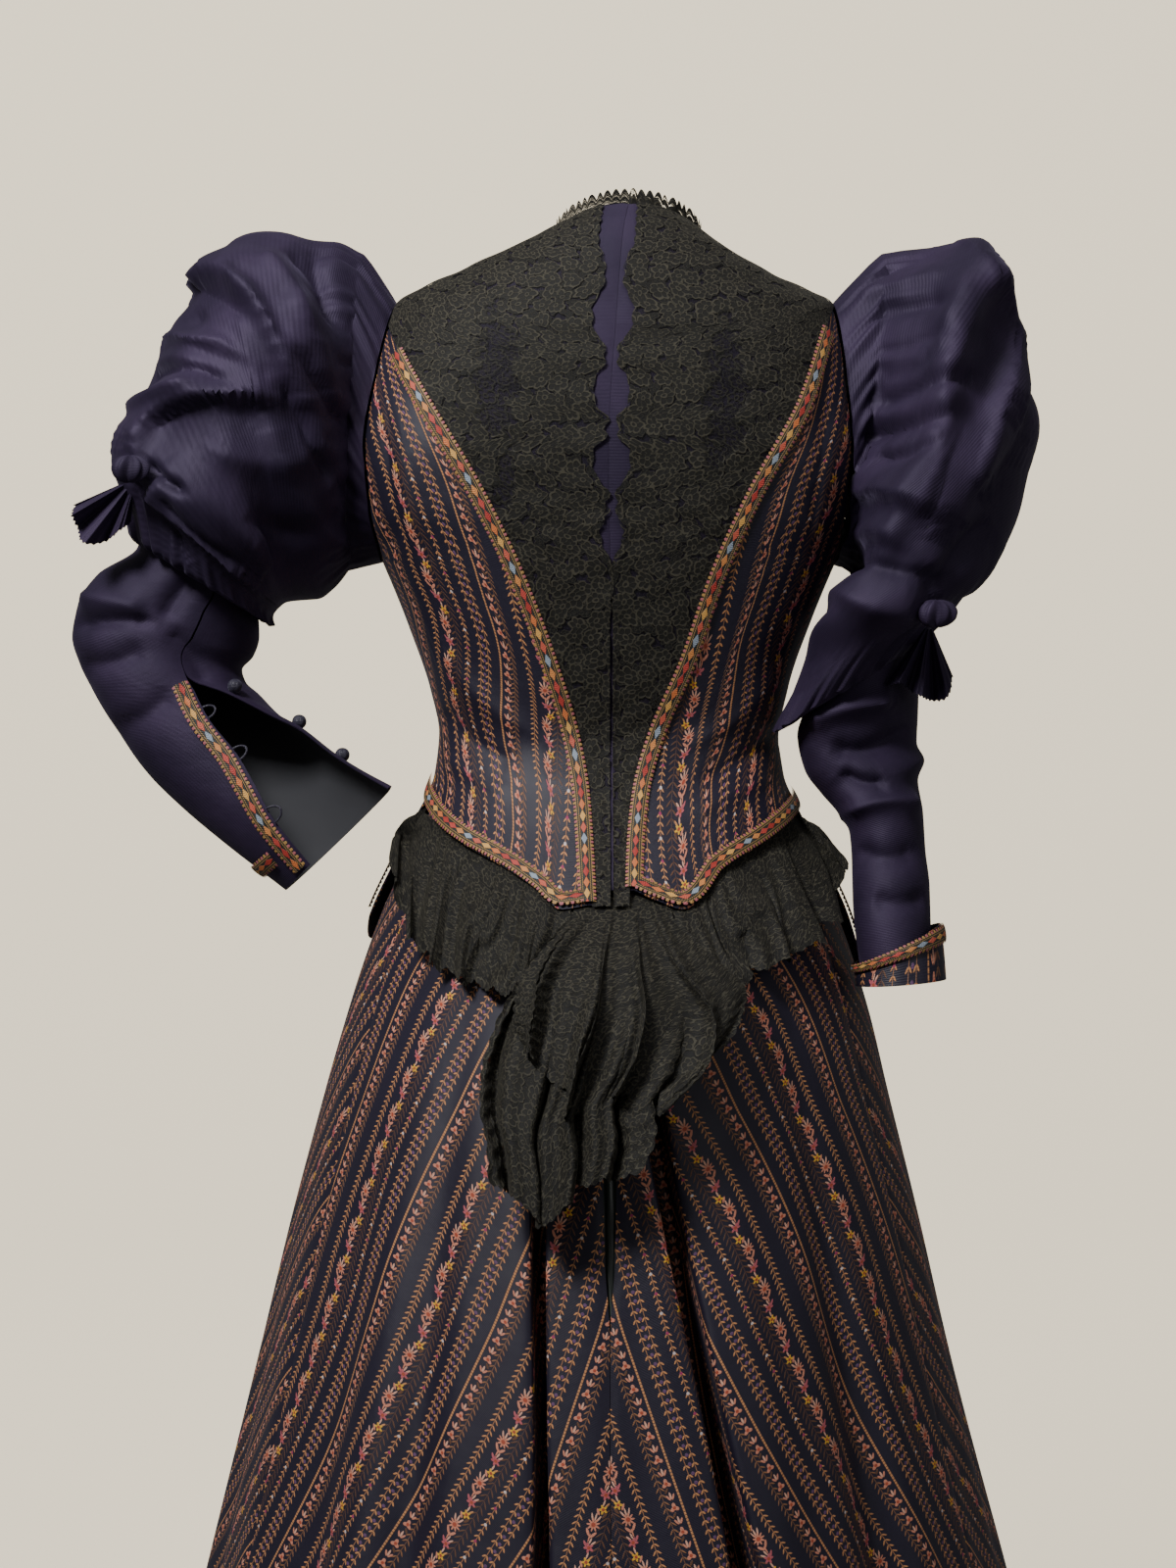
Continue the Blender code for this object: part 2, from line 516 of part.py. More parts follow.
def beside_seam(angle, way, level):
    """Angle on one side of a seam, half a seam's gap from it along the cloth."""
    steps = np.geomspace(SMALLEST_STEP, LARGEST_STEP, SEAM_STEPS)
    seam = torso(angle, level)
    near = torso(angle[..., None] + way * steps, np.repeat(level[..., None], SEAM_STEPS, axis=-1))
    clear = np.linalg.norm(near - seam[..., None, :], axis=-1) >= SEAM_HALF_GAP
    return angle + way * steps[np.argmax(clear, axis=-1)]


def spread(first, last, part):
    return first + (last - first) * part


def bodice_panel(inner, outer, top, bottom, down, side):
    """Grid of points between two seam lines (angles by level) and two cut edges (levels by place across)."""
    across = np.linspace(0, 1, PANEL_COLUMNS)
    first = np.array([top(q) for q in across])
    last = np.array([bottom(q) for q in across])
    levels = spread(first[None, :], last[None, :], down[:, None])
    start = beside_seam(inner(levels), 1, levels)
    end = beside_seam(outer(levels), -1, levels)
    angles = spread(start, end, across[None, :])
    return torso(side * angles, levels)


def apex_level(side):
    """Level at which the V edge leaves the armhole."""
    levels = np.linspace(SHOULDER_LEVEL, UNDERARM_LEVEL, 400)
    inside = v_angle(levels, side) < outer_angle(levels) - APEX_ROOM
    return float(levels[np.argmax(inside)])


def hem_level(side, q):
    name = "left_z" if side < 0 else "right_z"
    z = float(looked_up(BACK_HEM, BACK_HEM_COLUMNS, "across", name, q))
    return level_for(z, spread(HEM_FIRST_ANGLE, SIDE_SEAM, q))


def front_hem_level(side, q):
    name = "left_z" if side < 0 else "right_z"
    z = float(looked_up(FRONT_HEM, FRONT_HEM_COLUMNS, "across", name, q))
    return level_for(z, spread(SIDE_SEAM, 180.0, q))


def normals_of(grid, closed=False):
    """Unit normals of a grid of points."""
    if closed:
        joined = np.concatenate([grid[:, -1:], grid, grid[:, :1]], axis=1)
        across = np.gradient(joined, axis=1)[:, 1:-1]
    else:
        across = np.gradient(grid, axis=1)
    down = np.gradient(grid, axis=0)
    normal = np.cross(across, down)
    return normal / (np.linalg.norm(normal, axis=2, keepdims=True) + FOLD_SMOOTHING)


def outward(grid, closed=False):
    """Normals that point away from the middle of each row."""
    normal = normals_of(grid, closed)
    if closed:
        away = grid - grid.mean(axis=1, keepdims=True)
    else:
        away = (grid - BODY_CENTRE) * LEVEL
    facing = np.sign((normal * away).sum())
    return normal * (facing if facing else 1.0)


def make_collection(name):
    made = bpy.data.collections.new(name)
    bpy.context.scene.collection.children.link(made)
    return made


def make_material(name):
    colour, rough, metal = MATERIALS[name]
    made = bpy.data.materials.new(name)
    made.use_nodes = True
    shader = made.node_tree.nodes["Principled BSDF"]
    shader.inputs["Base Color"].default_value = (*colour, 1.0)
    shader.inputs["Roughness"].default_value = rough
    shader.inputs["Metallic"].default_value = metal
    made.diffuse_color = (*colour, 1.0)
    return made


def add_object(name, points, faces, material):
    mesh = bpy.data.meshes.new(name)
    mesh.from_pydata([tuple(map(float, p)) for p in points], [], faces)
    mesh.validate()
    mesh.shade_smooth()
    mesh.materials.append(CLOTHS[material])
    made = bpy.data.objects.new(name, mesh)
    PARTS.objects.link(made)
    return made


def grid_faces(rows, columns, closed, flip):
    faces = []
    last = columns if closed else columns - 1
    for r in range(rows - 1):
        for c in range(last):
            nxt = (c + 1) % columns
            quad = [r * columns + c, r * columns + nxt, (r + 1) * columns + nxt, (r + 1) * columns + c]
            faces.append(quad[::-1] if flip else quad)
    return faces


def sheet(name, grid, material, wall, closed=False, offset=-1.0, away=None):
    """Cloth: a grid of points with a wall. The wall goes inward for offset -1 and outward for offset 1."""
    rows, columns = grid.shape[:2]
    if away is None:
        away = outward(grid, closed)
    flip = float((normals_of(grid, closed) * away).sum()) < 0
    made = add_object(name, grid.reshape(-1, 3), grid_faces(rows, columns, closed, flip), material)
    wall_maker = made.modifiers.new("wall", "SOLIDIFY")
    wall_maker.thickness = wall
    wall_maker.offset = offset
    wall_maker.use_even_offset = False
    wall_maker.use_rim = True
    return made


def ribbon(name, path, normal, width, thick, material, lift):
    """Flat band along a path on the cloth, lifted off it."""
    tangent = np.gradient(path, axis=0)
    tangent /= np.linalg.norm(tangent, axis=1, keepdims=True)
    side = np.cross(normal, tangent)
    side /= np.linalg.norm(side, axis=1, keepdims=True)
    up = np.cross(tangent, side)
    base = path + up * lift
    corners = [base - side * width / 2, base + side * width / 2]
    corners += [corners[1] + up * thick, corners[0] + up * thick]
    points = np.stack(corners, axis=1).reshape(-1, 3)
    count = len(path)
    faces = [[3, 2, 1, 0]]
    for i in range(count - 1):
        for k in range(4):
            here = 4 * i + k
            other = 4 * i + (k + 1) % 4
            faces.append([here, other, other + 4, here + 4])
    end = 4 * (count - 1)
    faces.append([end, end + 1, end + 2, end + 3])
    return add_object(name, points, faces, material)


def torso_normal(angle, level):
    across = torso(angle + NORMAL_DEGREES, level) - torso(angle - NORMAL_DEGREES, level)
    down = torso(angle, level + NORMAL_LEVELS) - torso(angle, level - NORMAL_LEVELS)
    return unit(np.cross(down, across))


def evened(path, count):
    """Path of count points evenly spaced along a finer path."""
    steps = np.linalg.norm(np.diff(path, axis=0), axis=1)
    along = np.concatenate([[0], np.cumsum(steps)])
    wanted = np.linspace(0, along[-1], count)
    return np.interp(wanted, along, np.arange(len(path)))


def torso_braid(name, angles, levels, count, lift=LAY_LIFT):
    """Braid along a line on the bodice given by angles and levels."""
    fine = torso(angles, levels)
    spots = evened(fine, count)
    places = np.arange(len(angles))
    picked_angle = np.interp(spots, places, angles)
    picked_level = np.interp(spots, places, levels)
    path = torso(picked_angle, picked_level)
    normal = torso_normal(picked_angle, picked_level)
    facing = np.sign((normal * path * LEVEL).sum())
    return ribbon(name, path, normal * facing, BRAID_WIDTH, BRAID_THICK, "gold_braid", lift)


def skirt_value(name, z):
    return looked_up(SKIRT, SKIRT_COLUMNS, "z", name, z)


def skirt_plain(angle, z):
    turn = np.radians(angle)
    backness = np.cos(turn)
    depth = np.where(backness > 0, skirt_value("back", z), skirt_value("front", z))
    x = skirt_value("centre", z) + skirt_value("half", z) * np.sin(turn)
    y = -depth * backness
    return np.stack([x, y, z + 0 * x], axis=-1)


def fold_state(fold, z):
    row = dict(zip(FOLD_COLUMNS, fold))
    picked = []
    for what in ("angle", "width", "depth"):
        values = [row[what + "_top"], row[what + "_mid"], row[what + "_hem"]]
        picked.append(smooth(FOLD_HEIGHTS, values, np.clip(z, FOLD_HEIGHTS[-1], FOLD_HEIGHTS[0])))
    fade = np.clip((FOLD_START - z) / FOLD_FADE, 0.0, 1.0)
    return picked[0], picked[1], picked[2] * fade, row["steep"]


def skirt_depth(angle, z):
    """How far the folds go in at a place on the skirt."""
    total = np.zeros(np.broadcast(angle, z).shape)
    for fold in FOLDS:
        centre, width, depth, steep = fold_state(fold, z)
        for turn in (-360.0, 0.0, 360.0):
            total = total + depth * np.exp(-np.abs((angle + turn - centre) / width) ** steep)
    return total


def skirt(angle, z):
    base = skirt_plain(angle, z)
    middle = np.stack([skirt_value("centre", z) + 0 * angle, 0 * angle, z + 0 * angle], axis=-1)
    inward = (middle - base) * LEVEL
    inward = inward / np.linalg.norm(inward, axis=-1, keepdims=True)
    return base + inward * skirt_depth(angle, z)[..., None]


def gathered_angles(first, last, columns, z):
    """Angles across a gore at one height, closer together where there are folds."""
    fine = np.linspace(first, last, GORE_PLACES)
    need = np.full_like(fine, 1.0)
    for fold in FOLDS:
        centre, width, depth, _ = fold_state(fold, z)
        strength = FOLD_NEED * (depth + FOLD_NEED_LEAST) / width
        for turn in (-360.0, 0.0, 360.0):
            need += strength * np.exp(-((fine + turn - centre) / (FOLD_NEED_REACH * width)) ** 2)
    total = np.concatenate([[0], np.cumsum(0.5 * (need[1:] + need[:-1]))])
    return np.interp(np.linspace(0, total[-1], columns), total, fine)


def slit_half(z):
    return looked_up(SLIT, SLIT_COLUMNS, "z", "half", z)


def gore_grid(first, last, columns, rows):
    lines = []
    for z in rows:
        room = np.degrees(SEAM_HALF_GAP / float(skirt_value("half", z)))
        slit = np.degrees(float(slit_half(z)) / float(skirt_value("half", z)))
        start = first + (slit if first == 0.0 else room)
        end = last - (slit if last == 0.0 else room)
        angles = gathered_angles(start, end, columns, z)
        lines.append(skirt(angles, np.full(columns, z)))
    return np.array(lines)


def section_rings(table, spots, angles, square=2.0):
    """Rings of a sleeve at fractional section numbers; angle 0 is the outer edge, 90 faces the viewer."""
    places = np.arange(len(table))
    value = {}
    for name in SLEEVE_COLUMNS:
        value[name] = smooth(places, column(table, SLEEVE_COLUMNS, name), spots)[:, None]
    outer = np.stack([value["outer_x"], value["outer_y"], value["outer_z"]], axis=-1)
    inner = np.stack([value["inner_x"], value["inner_y"], value["inner_z"]], axis=-1)
    centre = (outer + inner) / 2
    reach = (outer - inner) / 2
    turn = np.radians(np.asarray(angles, dtype=float))
    if turn.ndim == 1:
        turn = turn[None, :]
    power = 2.0 / square
    along = signed_power(np.cos(turn), power)
    side = signed_power(np.sin(turn), power)
    near = value["near"] * np.maximum(side, 0)
    far = value["far"] * np.maximum(-side, 0)
    length = np.sqrt(1 + value["lean"] ** 2)
    shift = np.stack([far * value["lean"] / length, far / length - near, 0 * far], axis=-1)
    return centre + reach * along[..., None] + shift


def armhole_ring(side, angles, lift):
    """Ring along the armhole edge, moved out of the bodice."""
    turn = np.radians(angles)
    middle = 0.5 * (SHOULDER_LEVEL + UNDERARM_LEVEL)
    reach = 0.5 * (UNDERARM_LEVEL - SHOULDER_LEVEL)
    levels = middle - reach * np.cos(turn)
    around = SIDE_SEAM - ARMHOLE_HALF_ANGLE * np.sin(turn)
    ring = torso(side * around, levels)
    return ring + np.array([side * lift, 0, 0])


def puff_folds(folds, angles, spots):
    """Height of the large folds at each place of a puff."""
    total = np.zeros((len(spots), len(angles)))
    wrapped = (np.asarray(angles) + 120.0) % 360.0 - 120.0
    for fold in folds:
        row = dict(zip(PUFF_FOLD_COLUMNS, fold))
        span = row["angle_to"] - row["angle_from"]
        part = np.clip((wrapped - row["angle_from"]) / span, 0, 1)
        line = spread(row["section_from"], row["section_to"], part)
        past_end = np.maximum(0, np.abs(wrapped - row["angle_from"] - span / 2) - abs(span) / 2)
        ends = np.exp(-(past_end / FOLD_END_REACH) ** 2)
        across = np.exp(-((spots[:, None] - line[None, :]) / row["width"]) ** 2)
        total += row["height"] * ends[None, :] * across
    return total


def puff_end_ring(word, angles):
    """Ring where the puff is gathered onto the undersleeve."""
    table, outer_spot, inner_spot = PUFF_ENDS[word]
    high, low = (section_rings(table, np.array([spot]), angles) for spot in (outer_spot, inner_spot))
    share = 0.5 + 0.5 * np.cos(np.radians(angles))[None, :, None]
    ring = high * share + low * (1 - share)
    away = ring - ring.mean(axis=1, keepdims=True)
    away /= np.linalg.norm(away, axis=2, keepdims=True)
    return ring + away * PUFF_HEM_LIFT[word]


def puff_grid(table, folds, side, columns, rows):
    angles = np.linspace(0, 360, columns, endpoint=False)
    spots = np.linspace(-1.0, len(table) - 1.0, rows)
    body = section_rings(table, np.maximum(spots, 0.0), angles)
    start = armhole_ring(side, angles, ARMHOLE_LIFT)
    blend = np.clip(-spots, 0, 1)[:, None, None]
    grid = start[None] * blend + body * (1 - blend)
    away = outward(grid, True)
    fade = np.clip(spots + 1.0, 0, 1) * np.clip((len(table) - 1.0 - spots) / PUFF_END_FADE, 0, 1)
    lift = puff_folds(folds, angles, spots) * fade[:, None]
    top_share = 0.5 + 0.5 * np.cos(np.radians(angles))
    gather = (np.cos(np.radians(angles) * GATHERS) * GATHER_DEPTH * top_share)[None, :]
    reach = np.clip(spots + 1.0, 0, 1) * np.clip((GATHER_REACH - spots) / GATHER_REACH, 0, 1)
    lift = lift + gather * reach[:, None]
    hem = puff_end_ring("left" if side < 0 else "right", angles)
    return np.concatenate([grid + away * lift[..., None], hem])


def open_angles(spots, columns):
    braid = looked_up(OPEN_EDGE, OPEN_COLUMNS, "section", "braid_angle", spots)
    button = looked_up(OPEN_EDGE, OPEN_COLUMNS, "section", "button_angle", spots)
    part = np.linspace(0, 1, columns)[None, :]
    return button[:, None] + (braid[:, None] + 360.0 - button[:, None]) * part


def row_shares(rows, top, bottom):
    """Shares of the way down at which the rows of a panel lie."""
    levels = np.array([top, *rows, bottom])
    return (levels - top) / (bottom - top)


def v_line(levels, side):
    """Seam between the plain and the striped back, or the armhole where that comes first."""
    return np.minimum(v_angle(levels, side), outer_angle(levels))


def make_bodice():
    for side, word in ((-1, "left"), (1, "right")):
        apex = apex_level(side)
        point = hem_level(side, 0.0)
        shares = row_shares(BACK_ROWS, apex, hem_level(side, 1.0))
        shoulder_rows = np.linspace(0, apex, SHOULDER_ROWS)[:-1]
        rows = np.concatenate([shoulder_rows, spread(apex, point, shares)]) / point
        plain = bodice_panel(lambda levels: 0 * levels, lambda levels: v_line(levels, side),
                             lambda q: 0.0, lambda q: point, rows, side)
        sheet(f"bodice_plain_back_{word}", plain, "plain_silk", SILK_WALL)
        striped = bodice_panel(lambda levels: v_line(levels, side), outer_angle,
                               lambda q: apex, lambda q: hem_level(side, q), shares, side)
        sheet(f"bodice_striped_back_{word}", striped, "striped_brocade", SILK_WALL)
        shares = row_shares(FRONT_ROWS, 0.0, front_hem_level(side, 0.0))
        front = bodice_panel(lambda levels: 180.0 - outer_angle(levels), lambda levels: 180.0 + 0 * levels,
                             lambda q: 0.0, lambda q: front_hem_level(side, q), shares, side)
        sheet(f"bodice_front_{word}", front, "striped_brocade", SILK_WALL)


def arc_per_degree(angle, level):
    """Length along the bodice for one degree of angle."""
    return np.linalg.norm(torso(angle + 0.5, level) - torso(angle - 0.5, level), axis=-1)


def yoke_angles(side, levels):
    """Angles of the scalloped edge and of the edge beside the braid."""
    heights = torso_value("z_back", levels)
    heights = np.clip(heights, YOKE_EDGE[-1][0], YOKE_EDGE[0][0])
    half = looked_up(YOKE_EDGE, YOKE_EDGE_COLUMNS, "z", "half", heights)
    first = angle_for(smooth(YOKE_CENTRE_LEVELS, YOKE_CENTRE, levels) + side * half, levels)
    edge = v_line(levels, side)
    on_shoulder, under_it, lower = YOKE_ROOM
    share = np.where(levels < YOKE_LOWER_LEVEL, under_it, lower)
    share = np.where(levels < SHOULDER_LEVEL, on_shoulder, share)
    room = (BRAID_WIDTH / 2 + BRAID_CLEARANCE) * share / arc_per_degree(side * edge, levels)
    last = side * np.maximum(edge - room, np.abs(first) + NARROWEST_YOKE)
    return first, last


def make_yoke():
    for side, word in ((-1, "left"), (1, "right")):
        bottom = level_for(PLAIN_BACK_HEM, 0.0) - YOKE_LAST_ROOM
        levels = np.linspace(YOKE_FIRST_LEVEL, bottom, YOKE_ROWS)
        first, last = yoke_angles(side, levels)
        part = np.linspace(0, 1, PANEL_COLUMNS)
        angles = spread(first[:, None], last[:, None], part[None, :])
        grid = torso(angles, np.repeat(levels[:, None], PANEL_COLUMNS, axis=1))
        over_shoulder = np.exp(-((levels - SHOULDER_LEVEL) / SHOULDER_LIFT_REACH) ** 2)
        lift = LACE_LIFT[word] + SHOULDER_EXTRA_LIFT * over_shoulder
        grid = grid + outward(grid) * lift[:, None, None]
        sheet(f"yoke_lace_{word}", grid, "black_lace", LACE_WALL, offset=1.0)


def make_neck_lace():
    angles = np.linspace(0, 360, NECK_COLUMNS, endpoint=False)
    base = torso(angles, np.zeros(NECK_COLUMNS))
    wave = NECK_WAVE * np.cos(np.radians(angles) * NECK_WAVES)
    away = (base - NECK_MIDDLE) * LEVEL
    away /= np.linalg.norm(away, axis=1, keepdims=True)
    up = np.array([0.0, 0.0, 1.0])
    low = base + away * NECK_BOTTOM[0] + up * NECK_BOTTOM[1]
    high = base + away * (NECK_TOP[0] + wave[:, None]) + up * NECK_TOP[1]
    sheet("neck_lace", np.stack([low, high]), "black_lace", LACE_WALL, closed=True)


def make_bodice_braids():
    for side, word in ((-1, "left"), (1, "right")):
        first = apex_level(side) + V_BRAID_FROM
        levels = np.linspace(first, hem_level(side, 0.0) - V_BRAID_TO, BRAID_FINE_PLACES)
        torso_braid(f"v_braid_{word}", side * v_line(levels, side), levels, V_BRAID_PLACES)
        across = np.linspace(HEM_BRAID_FROM[word], HEM_BRAID_TO, BRAID_FINE_PLACES)
        hem_levels = np.array([hem_level(side, q) for q in across])
        angles = side * spread(v_line(hem_levels, side), SIDE_SEAM, across)
        levels = hem_levels - HEM_BRAID_ABOVE
        torso_braid(f"hem_braid_{word}", angles, levels, HEM_BRAID_PLACES, HEM_BRAID_LIFT)
        first = level_for(BASQUE_BRAID_TOP, SIDE_SEAM)
        last = front_hem_level(side, 0.0) - BASQUE_BRAID_ROOM
        levels = np.linspace(first, last, BRAID_FINE_PLACES)
        angles = side * (SIDE_SEAM + BASQUE_BRAID_ANGLE + 0 * levels)
        lift = BASQUE_BRAID_LIFT[word]
        torso_braid(f"basque_braid_{word}", angles, levels, BASQUE_BRAID_PLACES, lift)


def make_skirt():
    for name, first, last, columns in GORES:
        sheet(name, gore_grid(first, last, columns, SKIRT_ROWS), "striped_brocade", SKIRT_WALL)
    part = np.linspace(-1, 1, 3)
    lines = []
    for z in np.linspace(PLACKET_TOP, PLACKET_BOTTOM, PLACKET_ROWS):
        half = float(slit_half(z)) + PLACKET_OVERLAP
        angles = np.degrees(part * half / float(skirt_value("half", z)))
        points = skirt(angles, np.full(3, z))
        points[:, 1] += PLACKET_SET_BACK
        lines.append(points)
    sheet("placket_facing", np.array(lines), "dark_lining", LACE_WALL)


def make_sleeves():
    puffs = ((-1, "left", PUFF_LEFT, PUFF_FOLDS_LEFT), (1, "right", PUFF_RIGHT, PUFF_FOLDS_RIGHT))
    for side, word, table, folds in puffs:
        grid = puff_grid(table, folds, side, PUFF_COLUMNS, PUFF_ROWS)
        sheet(f"sleeve_puff_{word}", grid, "plain_silk", SILK_WALL, closed=True)
    spots = np.array(UNDER_LEFT_ROWS)
    left = section_rings(UNDER_LEFT, spots, open_angles(spots, UNDER_LEFT_COLUMNS))
    sheet("undersleeve_left", left, "plain_silk", SILK_WALL, away=left - left.mean(axis=1, keepdims=True))
    spots = np.linspace(0, len(UNDER_RIGHT) - 1.0, UNDER_RIGHT_ROWS)
    angles = np.linspace(0, 360, UNDER_COLUMNS, endpoint=False)
    right = section_rings(UNDER_RIGHT, spots, angles)
    sheet("undersleeve_right", right, "plain_silk", SILK_WALL, closed=True)
    cuff = section_rings(CUFF_RIGHT, np.arange(len(CUFF_RIGHT)), angles)
    sheet("cuff_right", cuff, "striped_brocade", SILK_WALL, closed=True)


def unit(vectors):
    return vectors / np.linalg.norm(vectors, axis=-1, keepdims=True)


def make_sleeve_braids():
    spots = np.linspace(OPENING_BRAID_FROM, OPENING_BRAID_TO, OPENING_BRAID_PLACES)
    edge = open_angles(spots, 2)[:, 1] - 360.0
    angles = edge - OPENING_BRAID_INSET
    line = section_rings(UNDER_LEFT, spots, angles[:, None])[:, 0]
    beside = section_rings(UNDER_LEFT, spots, (angles - BESIDE_ANGLE)[:, None])[:, 0]
    normal = np.cross(np.gradient(line, axis=0), beside - line)
    normal = unit(normal * np.sign(-normal[:, 1:2]))
    ribbon("opening_braid_left", line, normal, BRAID_WIDTH, BRAID_THICK, "gold_braid", SLEEVE_BRAID_LIFT)
    angles = np.linspace(edge[-1] - WRIST_BRAID_INSET, WRIST_BRAID_LAST, WRIST_BRAID_PLACES)[:, None]
    line = section_rings(UNDER_LEFT, np.full(WRIST_BRAID_PLACES, WRIST_BRAID_SECTION), angles)[:, 0]
    beside = section_rings(UNDER_LEFT, np.full(WRIST_BRAID_PLACES, WRIST_BESIDE_SECTION), angles)[:, 0]
    normal = np.cross(np.gradient(line, axis=0), beside - line)
    outward_way = line - under_left_centre(WRIST_BRAID_SECTION)
    normal = unit(normal * np.sign((normal * outward_way).sum(axis=1, keepdims=True)))
    ribbon("wrist_braid_left", line, normal, BRAID_WIDTH, BRAID_THICK, "gold_braid", SLEEVE_BRAID_LIFT)
    angles = np.linspace(0, 360, CUFF_BRAID_COLUMNS, endpoint=False)
    grid = section_rings(CUFF_RIGHT, np.array(CUFF_BRAID_SECTIONS), angles)
    grid = grid + outward(grid, True) * CUFF_BRAID_LIFT
    sheet("cuff_braid_right", grid, "gold_braid", BRAID_THICK, closed=True, offset=1.0)


def under_left_centre(spot):
    """Middle of the left undersleeve at one section."""
    angles = np.linspace(0, 360, RING_PLACES, endpoint=False)
    return section_rings(UNDER_LEFT, np.array([spot]), angles)[0].mean(axis=0)


def under_left_normal(spot, angle):
    """Point of the left undersleeve and the direction out of it."""
    around = np.array([-1.0, 0.0, 1.0])
    spots = spot + PATCH_SECTIONS * around
    angles = angle + PATCH_DEGREES * around
    patch = section_rings(UNDER_LEFT, spots, np.repeat(angles[None, :], 3, axis=0))
    normal = unit(np.cross(patch[1, 2] - patch[1, 0], patch[2, 1] - patch[0, 1]))
    facing = np.dot(normal, patch[1, 1] - under_left_centre(spot))
    return patch[1, 1], normal * np.sign(facing)


def make_buttons():
    for number, spot in enumerate(BUTTON_AT, 1):
        edge = float(open_angles(np.array([spot]), 2)[0, 0])
        at, away = under_left_normal(spot, edge + BUTTON_INSET)
        place = tuple(at + away * (BUTTON_DROP_FROM * BUTTON_RADIUS))
        bpy.ops.mesh.primitive_uv_sphere_add(segments=10, ring_count=6, radius=BUTTON_RADIUS, location=place)
        bpy.ops.object.transform_apply(location=True, rotation=False, scale=False)
        finish_primitive(f"sleeve_button_{number}", "covered_button")
        move_to(f"sleeve_button_{number}", ["undersleeve_left"], -away, SEAT_GAP)


def finish_primitive(name, material):
    made = bpy.context.object
    made.name = name
    made.data.name = name
    made.data.shade_smooth()
    made.data.materials.append(CLOTHS[material])
    for held in list(made.users_collection):
        held.objects.unlink(made)
    PARTS.objects.link(made)
    return made


def world_surface(name):
    """Points and triangles of a finished piece."""
    graph = bpy.context.evaluated_depsgraph_get()
    mesh = bpy.data.objects[name].evaluated_get(graph).data
    mesh.calc_loop_triangles()
    return [v.co.copy() for v in mesh.vertices], [tuple(t.vertices) for t in mesh.loop_triangles]


def move_to(name, others, direction, gap):
    """Slide a piece along a direction until it is about this far from the first piece in its way."""
    ahead = Vector(direction).normalized()
    own_points, own_faces = world_surface(name)
    own_tree = BVHTree.FromPolygons(own_points, own_faces)
    trees = []
    room = []
    for points, faces in (world_surface(word) for word in others):
        tree = BVHTree.FromPolygons(points, faces)
        trees.append(tree)
        room += [tree.ray_cast(point, ahead)[3] for point in own_points]
        room += [own_tree.ray_cast(point, -ahead)[3] for point in points]
    step = min(length for length in room if length is not None)
    for _ in range(SLIDE_TRIES):
        moved = BVHTree.FromPolygons([point + ahead * step for point in own_points], own_faces)
        if not any(moved.overlap(tree) for tree in trees):
            break
        step -= gap
    bpy.data.objects[name].data.transform(Matrix.Translation(ahead * (step - gap)))


def make_flounce(word):
    """Pleated fan that hangs from a knot at the elbow."""
    root, first_ray, last_ray, lengths = (np.array(item) for item in FLOUNCES[word])
    part = np.linspace(0, 1, PLACES_PER_PLEAT * FLOUNCE_PLEATS + 1)
    rays = unit(spread(first_ray[None, :], last_ray[None, :], part[:, None]))
    reach = smooth(np.linspace(0, 1, len(lengths)), lengths, part)
    toward = np.array([0.0, -1.0, 0.0])
    lines = []
    for share in np.linspace(0, 1, FLOUNCE_ROWS):
        height = FLOUNCE_ROOT_WAVE + FLOUNCE_WAVE * reach * share
        wave = -np.cos(part * 2 * np.pi * FLOUNCE_PLEATS) * height
        run = spread(FLOUNCE_ROOT_REACH, reach, share)
        lines.append(root + rays * run[:, None] + np.outer(wave, toward))
    grid = np.array(lines)
    sheet(f"elbow_flounce_{word}", grid, "plain_silk", LACE_WALL, away=toward + 0 * grid)
    place = tuple(root + KNOT_OFFSET)
    bpy.ops.mesh.primitive_uv_sphere_add(segments=10, ring_count=7, radius=1.0, location=place)
    knot = bpy.context.object
    knot.scale = KNOT_SIZE
    bpy.ops.object.transform_apply(location=True, rotation=False, scale=True)
    finish_primitive(f"elbow_knot_{word}", "plain_silk")
    move_to(f"elbow_flounce_{word}", [f"sleeve_puff_{word}", f"undersleeve_{word}"], -toward, SEAT_GAP)
    move_to(f"elbow_knot_{word}", [f"elbow_flounce_{word}", f"sleeve_puff_{word}"], -toward, SEAT_GAP)


def off_skirt(x, z, lift):
    """Points over the plain skirt at a sideways place and height, moved out."""
    share = (x - skirt_value("centre", z)) / skirt_value("half", z)
    share = np.clip(share, -WIDEST_SHARE, WIDEST_SHARE)
    base = skirt_plain(np.degrees(np.arcsin(share)), z)
    return base + unit((base - BODY_CENTRE) * LEVEL) * lift[:, None]


def make_peplum(side, word, table):
    across = np.linspace(0.0, 1.0, PEPLUM_PLACES)
    value = {n: looked_up(table, PEPLUM_COLUMNS, "across", n, across) for n in PEPLUM_COLUMNS}
    v_bottom = float(v_angle(np.array([hem_level(side, 0.0)]), side)[0])
    angles = np.abs(angle_for(value["top_x"], PEPLUM_LEVEL + 0 * across))
    share_across = np.clip((angles - v_bottom) / (SIDE_SEAM - v_bottom), 0, 1)
    levels = np.array([hem_level(side, q) for q in share_across])
    top = torso(angle_for(value["top_x"], levels), levels)
    lines = []
    for share in np.linspace(0, 1, PEPLUM_ROWS):
        z = spread(top[:, 2] - PEPLUM_BELOW, value["edge_z"], share)
        x = spread(top[:, 0], value["edge_x"], share)
        wave = 0.5 * value["flare"] * share * np.cos(across * 2 * np.pi * PEPLUM_WAVES)
        lines.append(off_skirt(x, z, PEPLUM_LIFT + value["flare"] * share + wave))
    sheet(f"peplum_lace_{word}", np.array(lines), "black_lace", LACE_WALL)


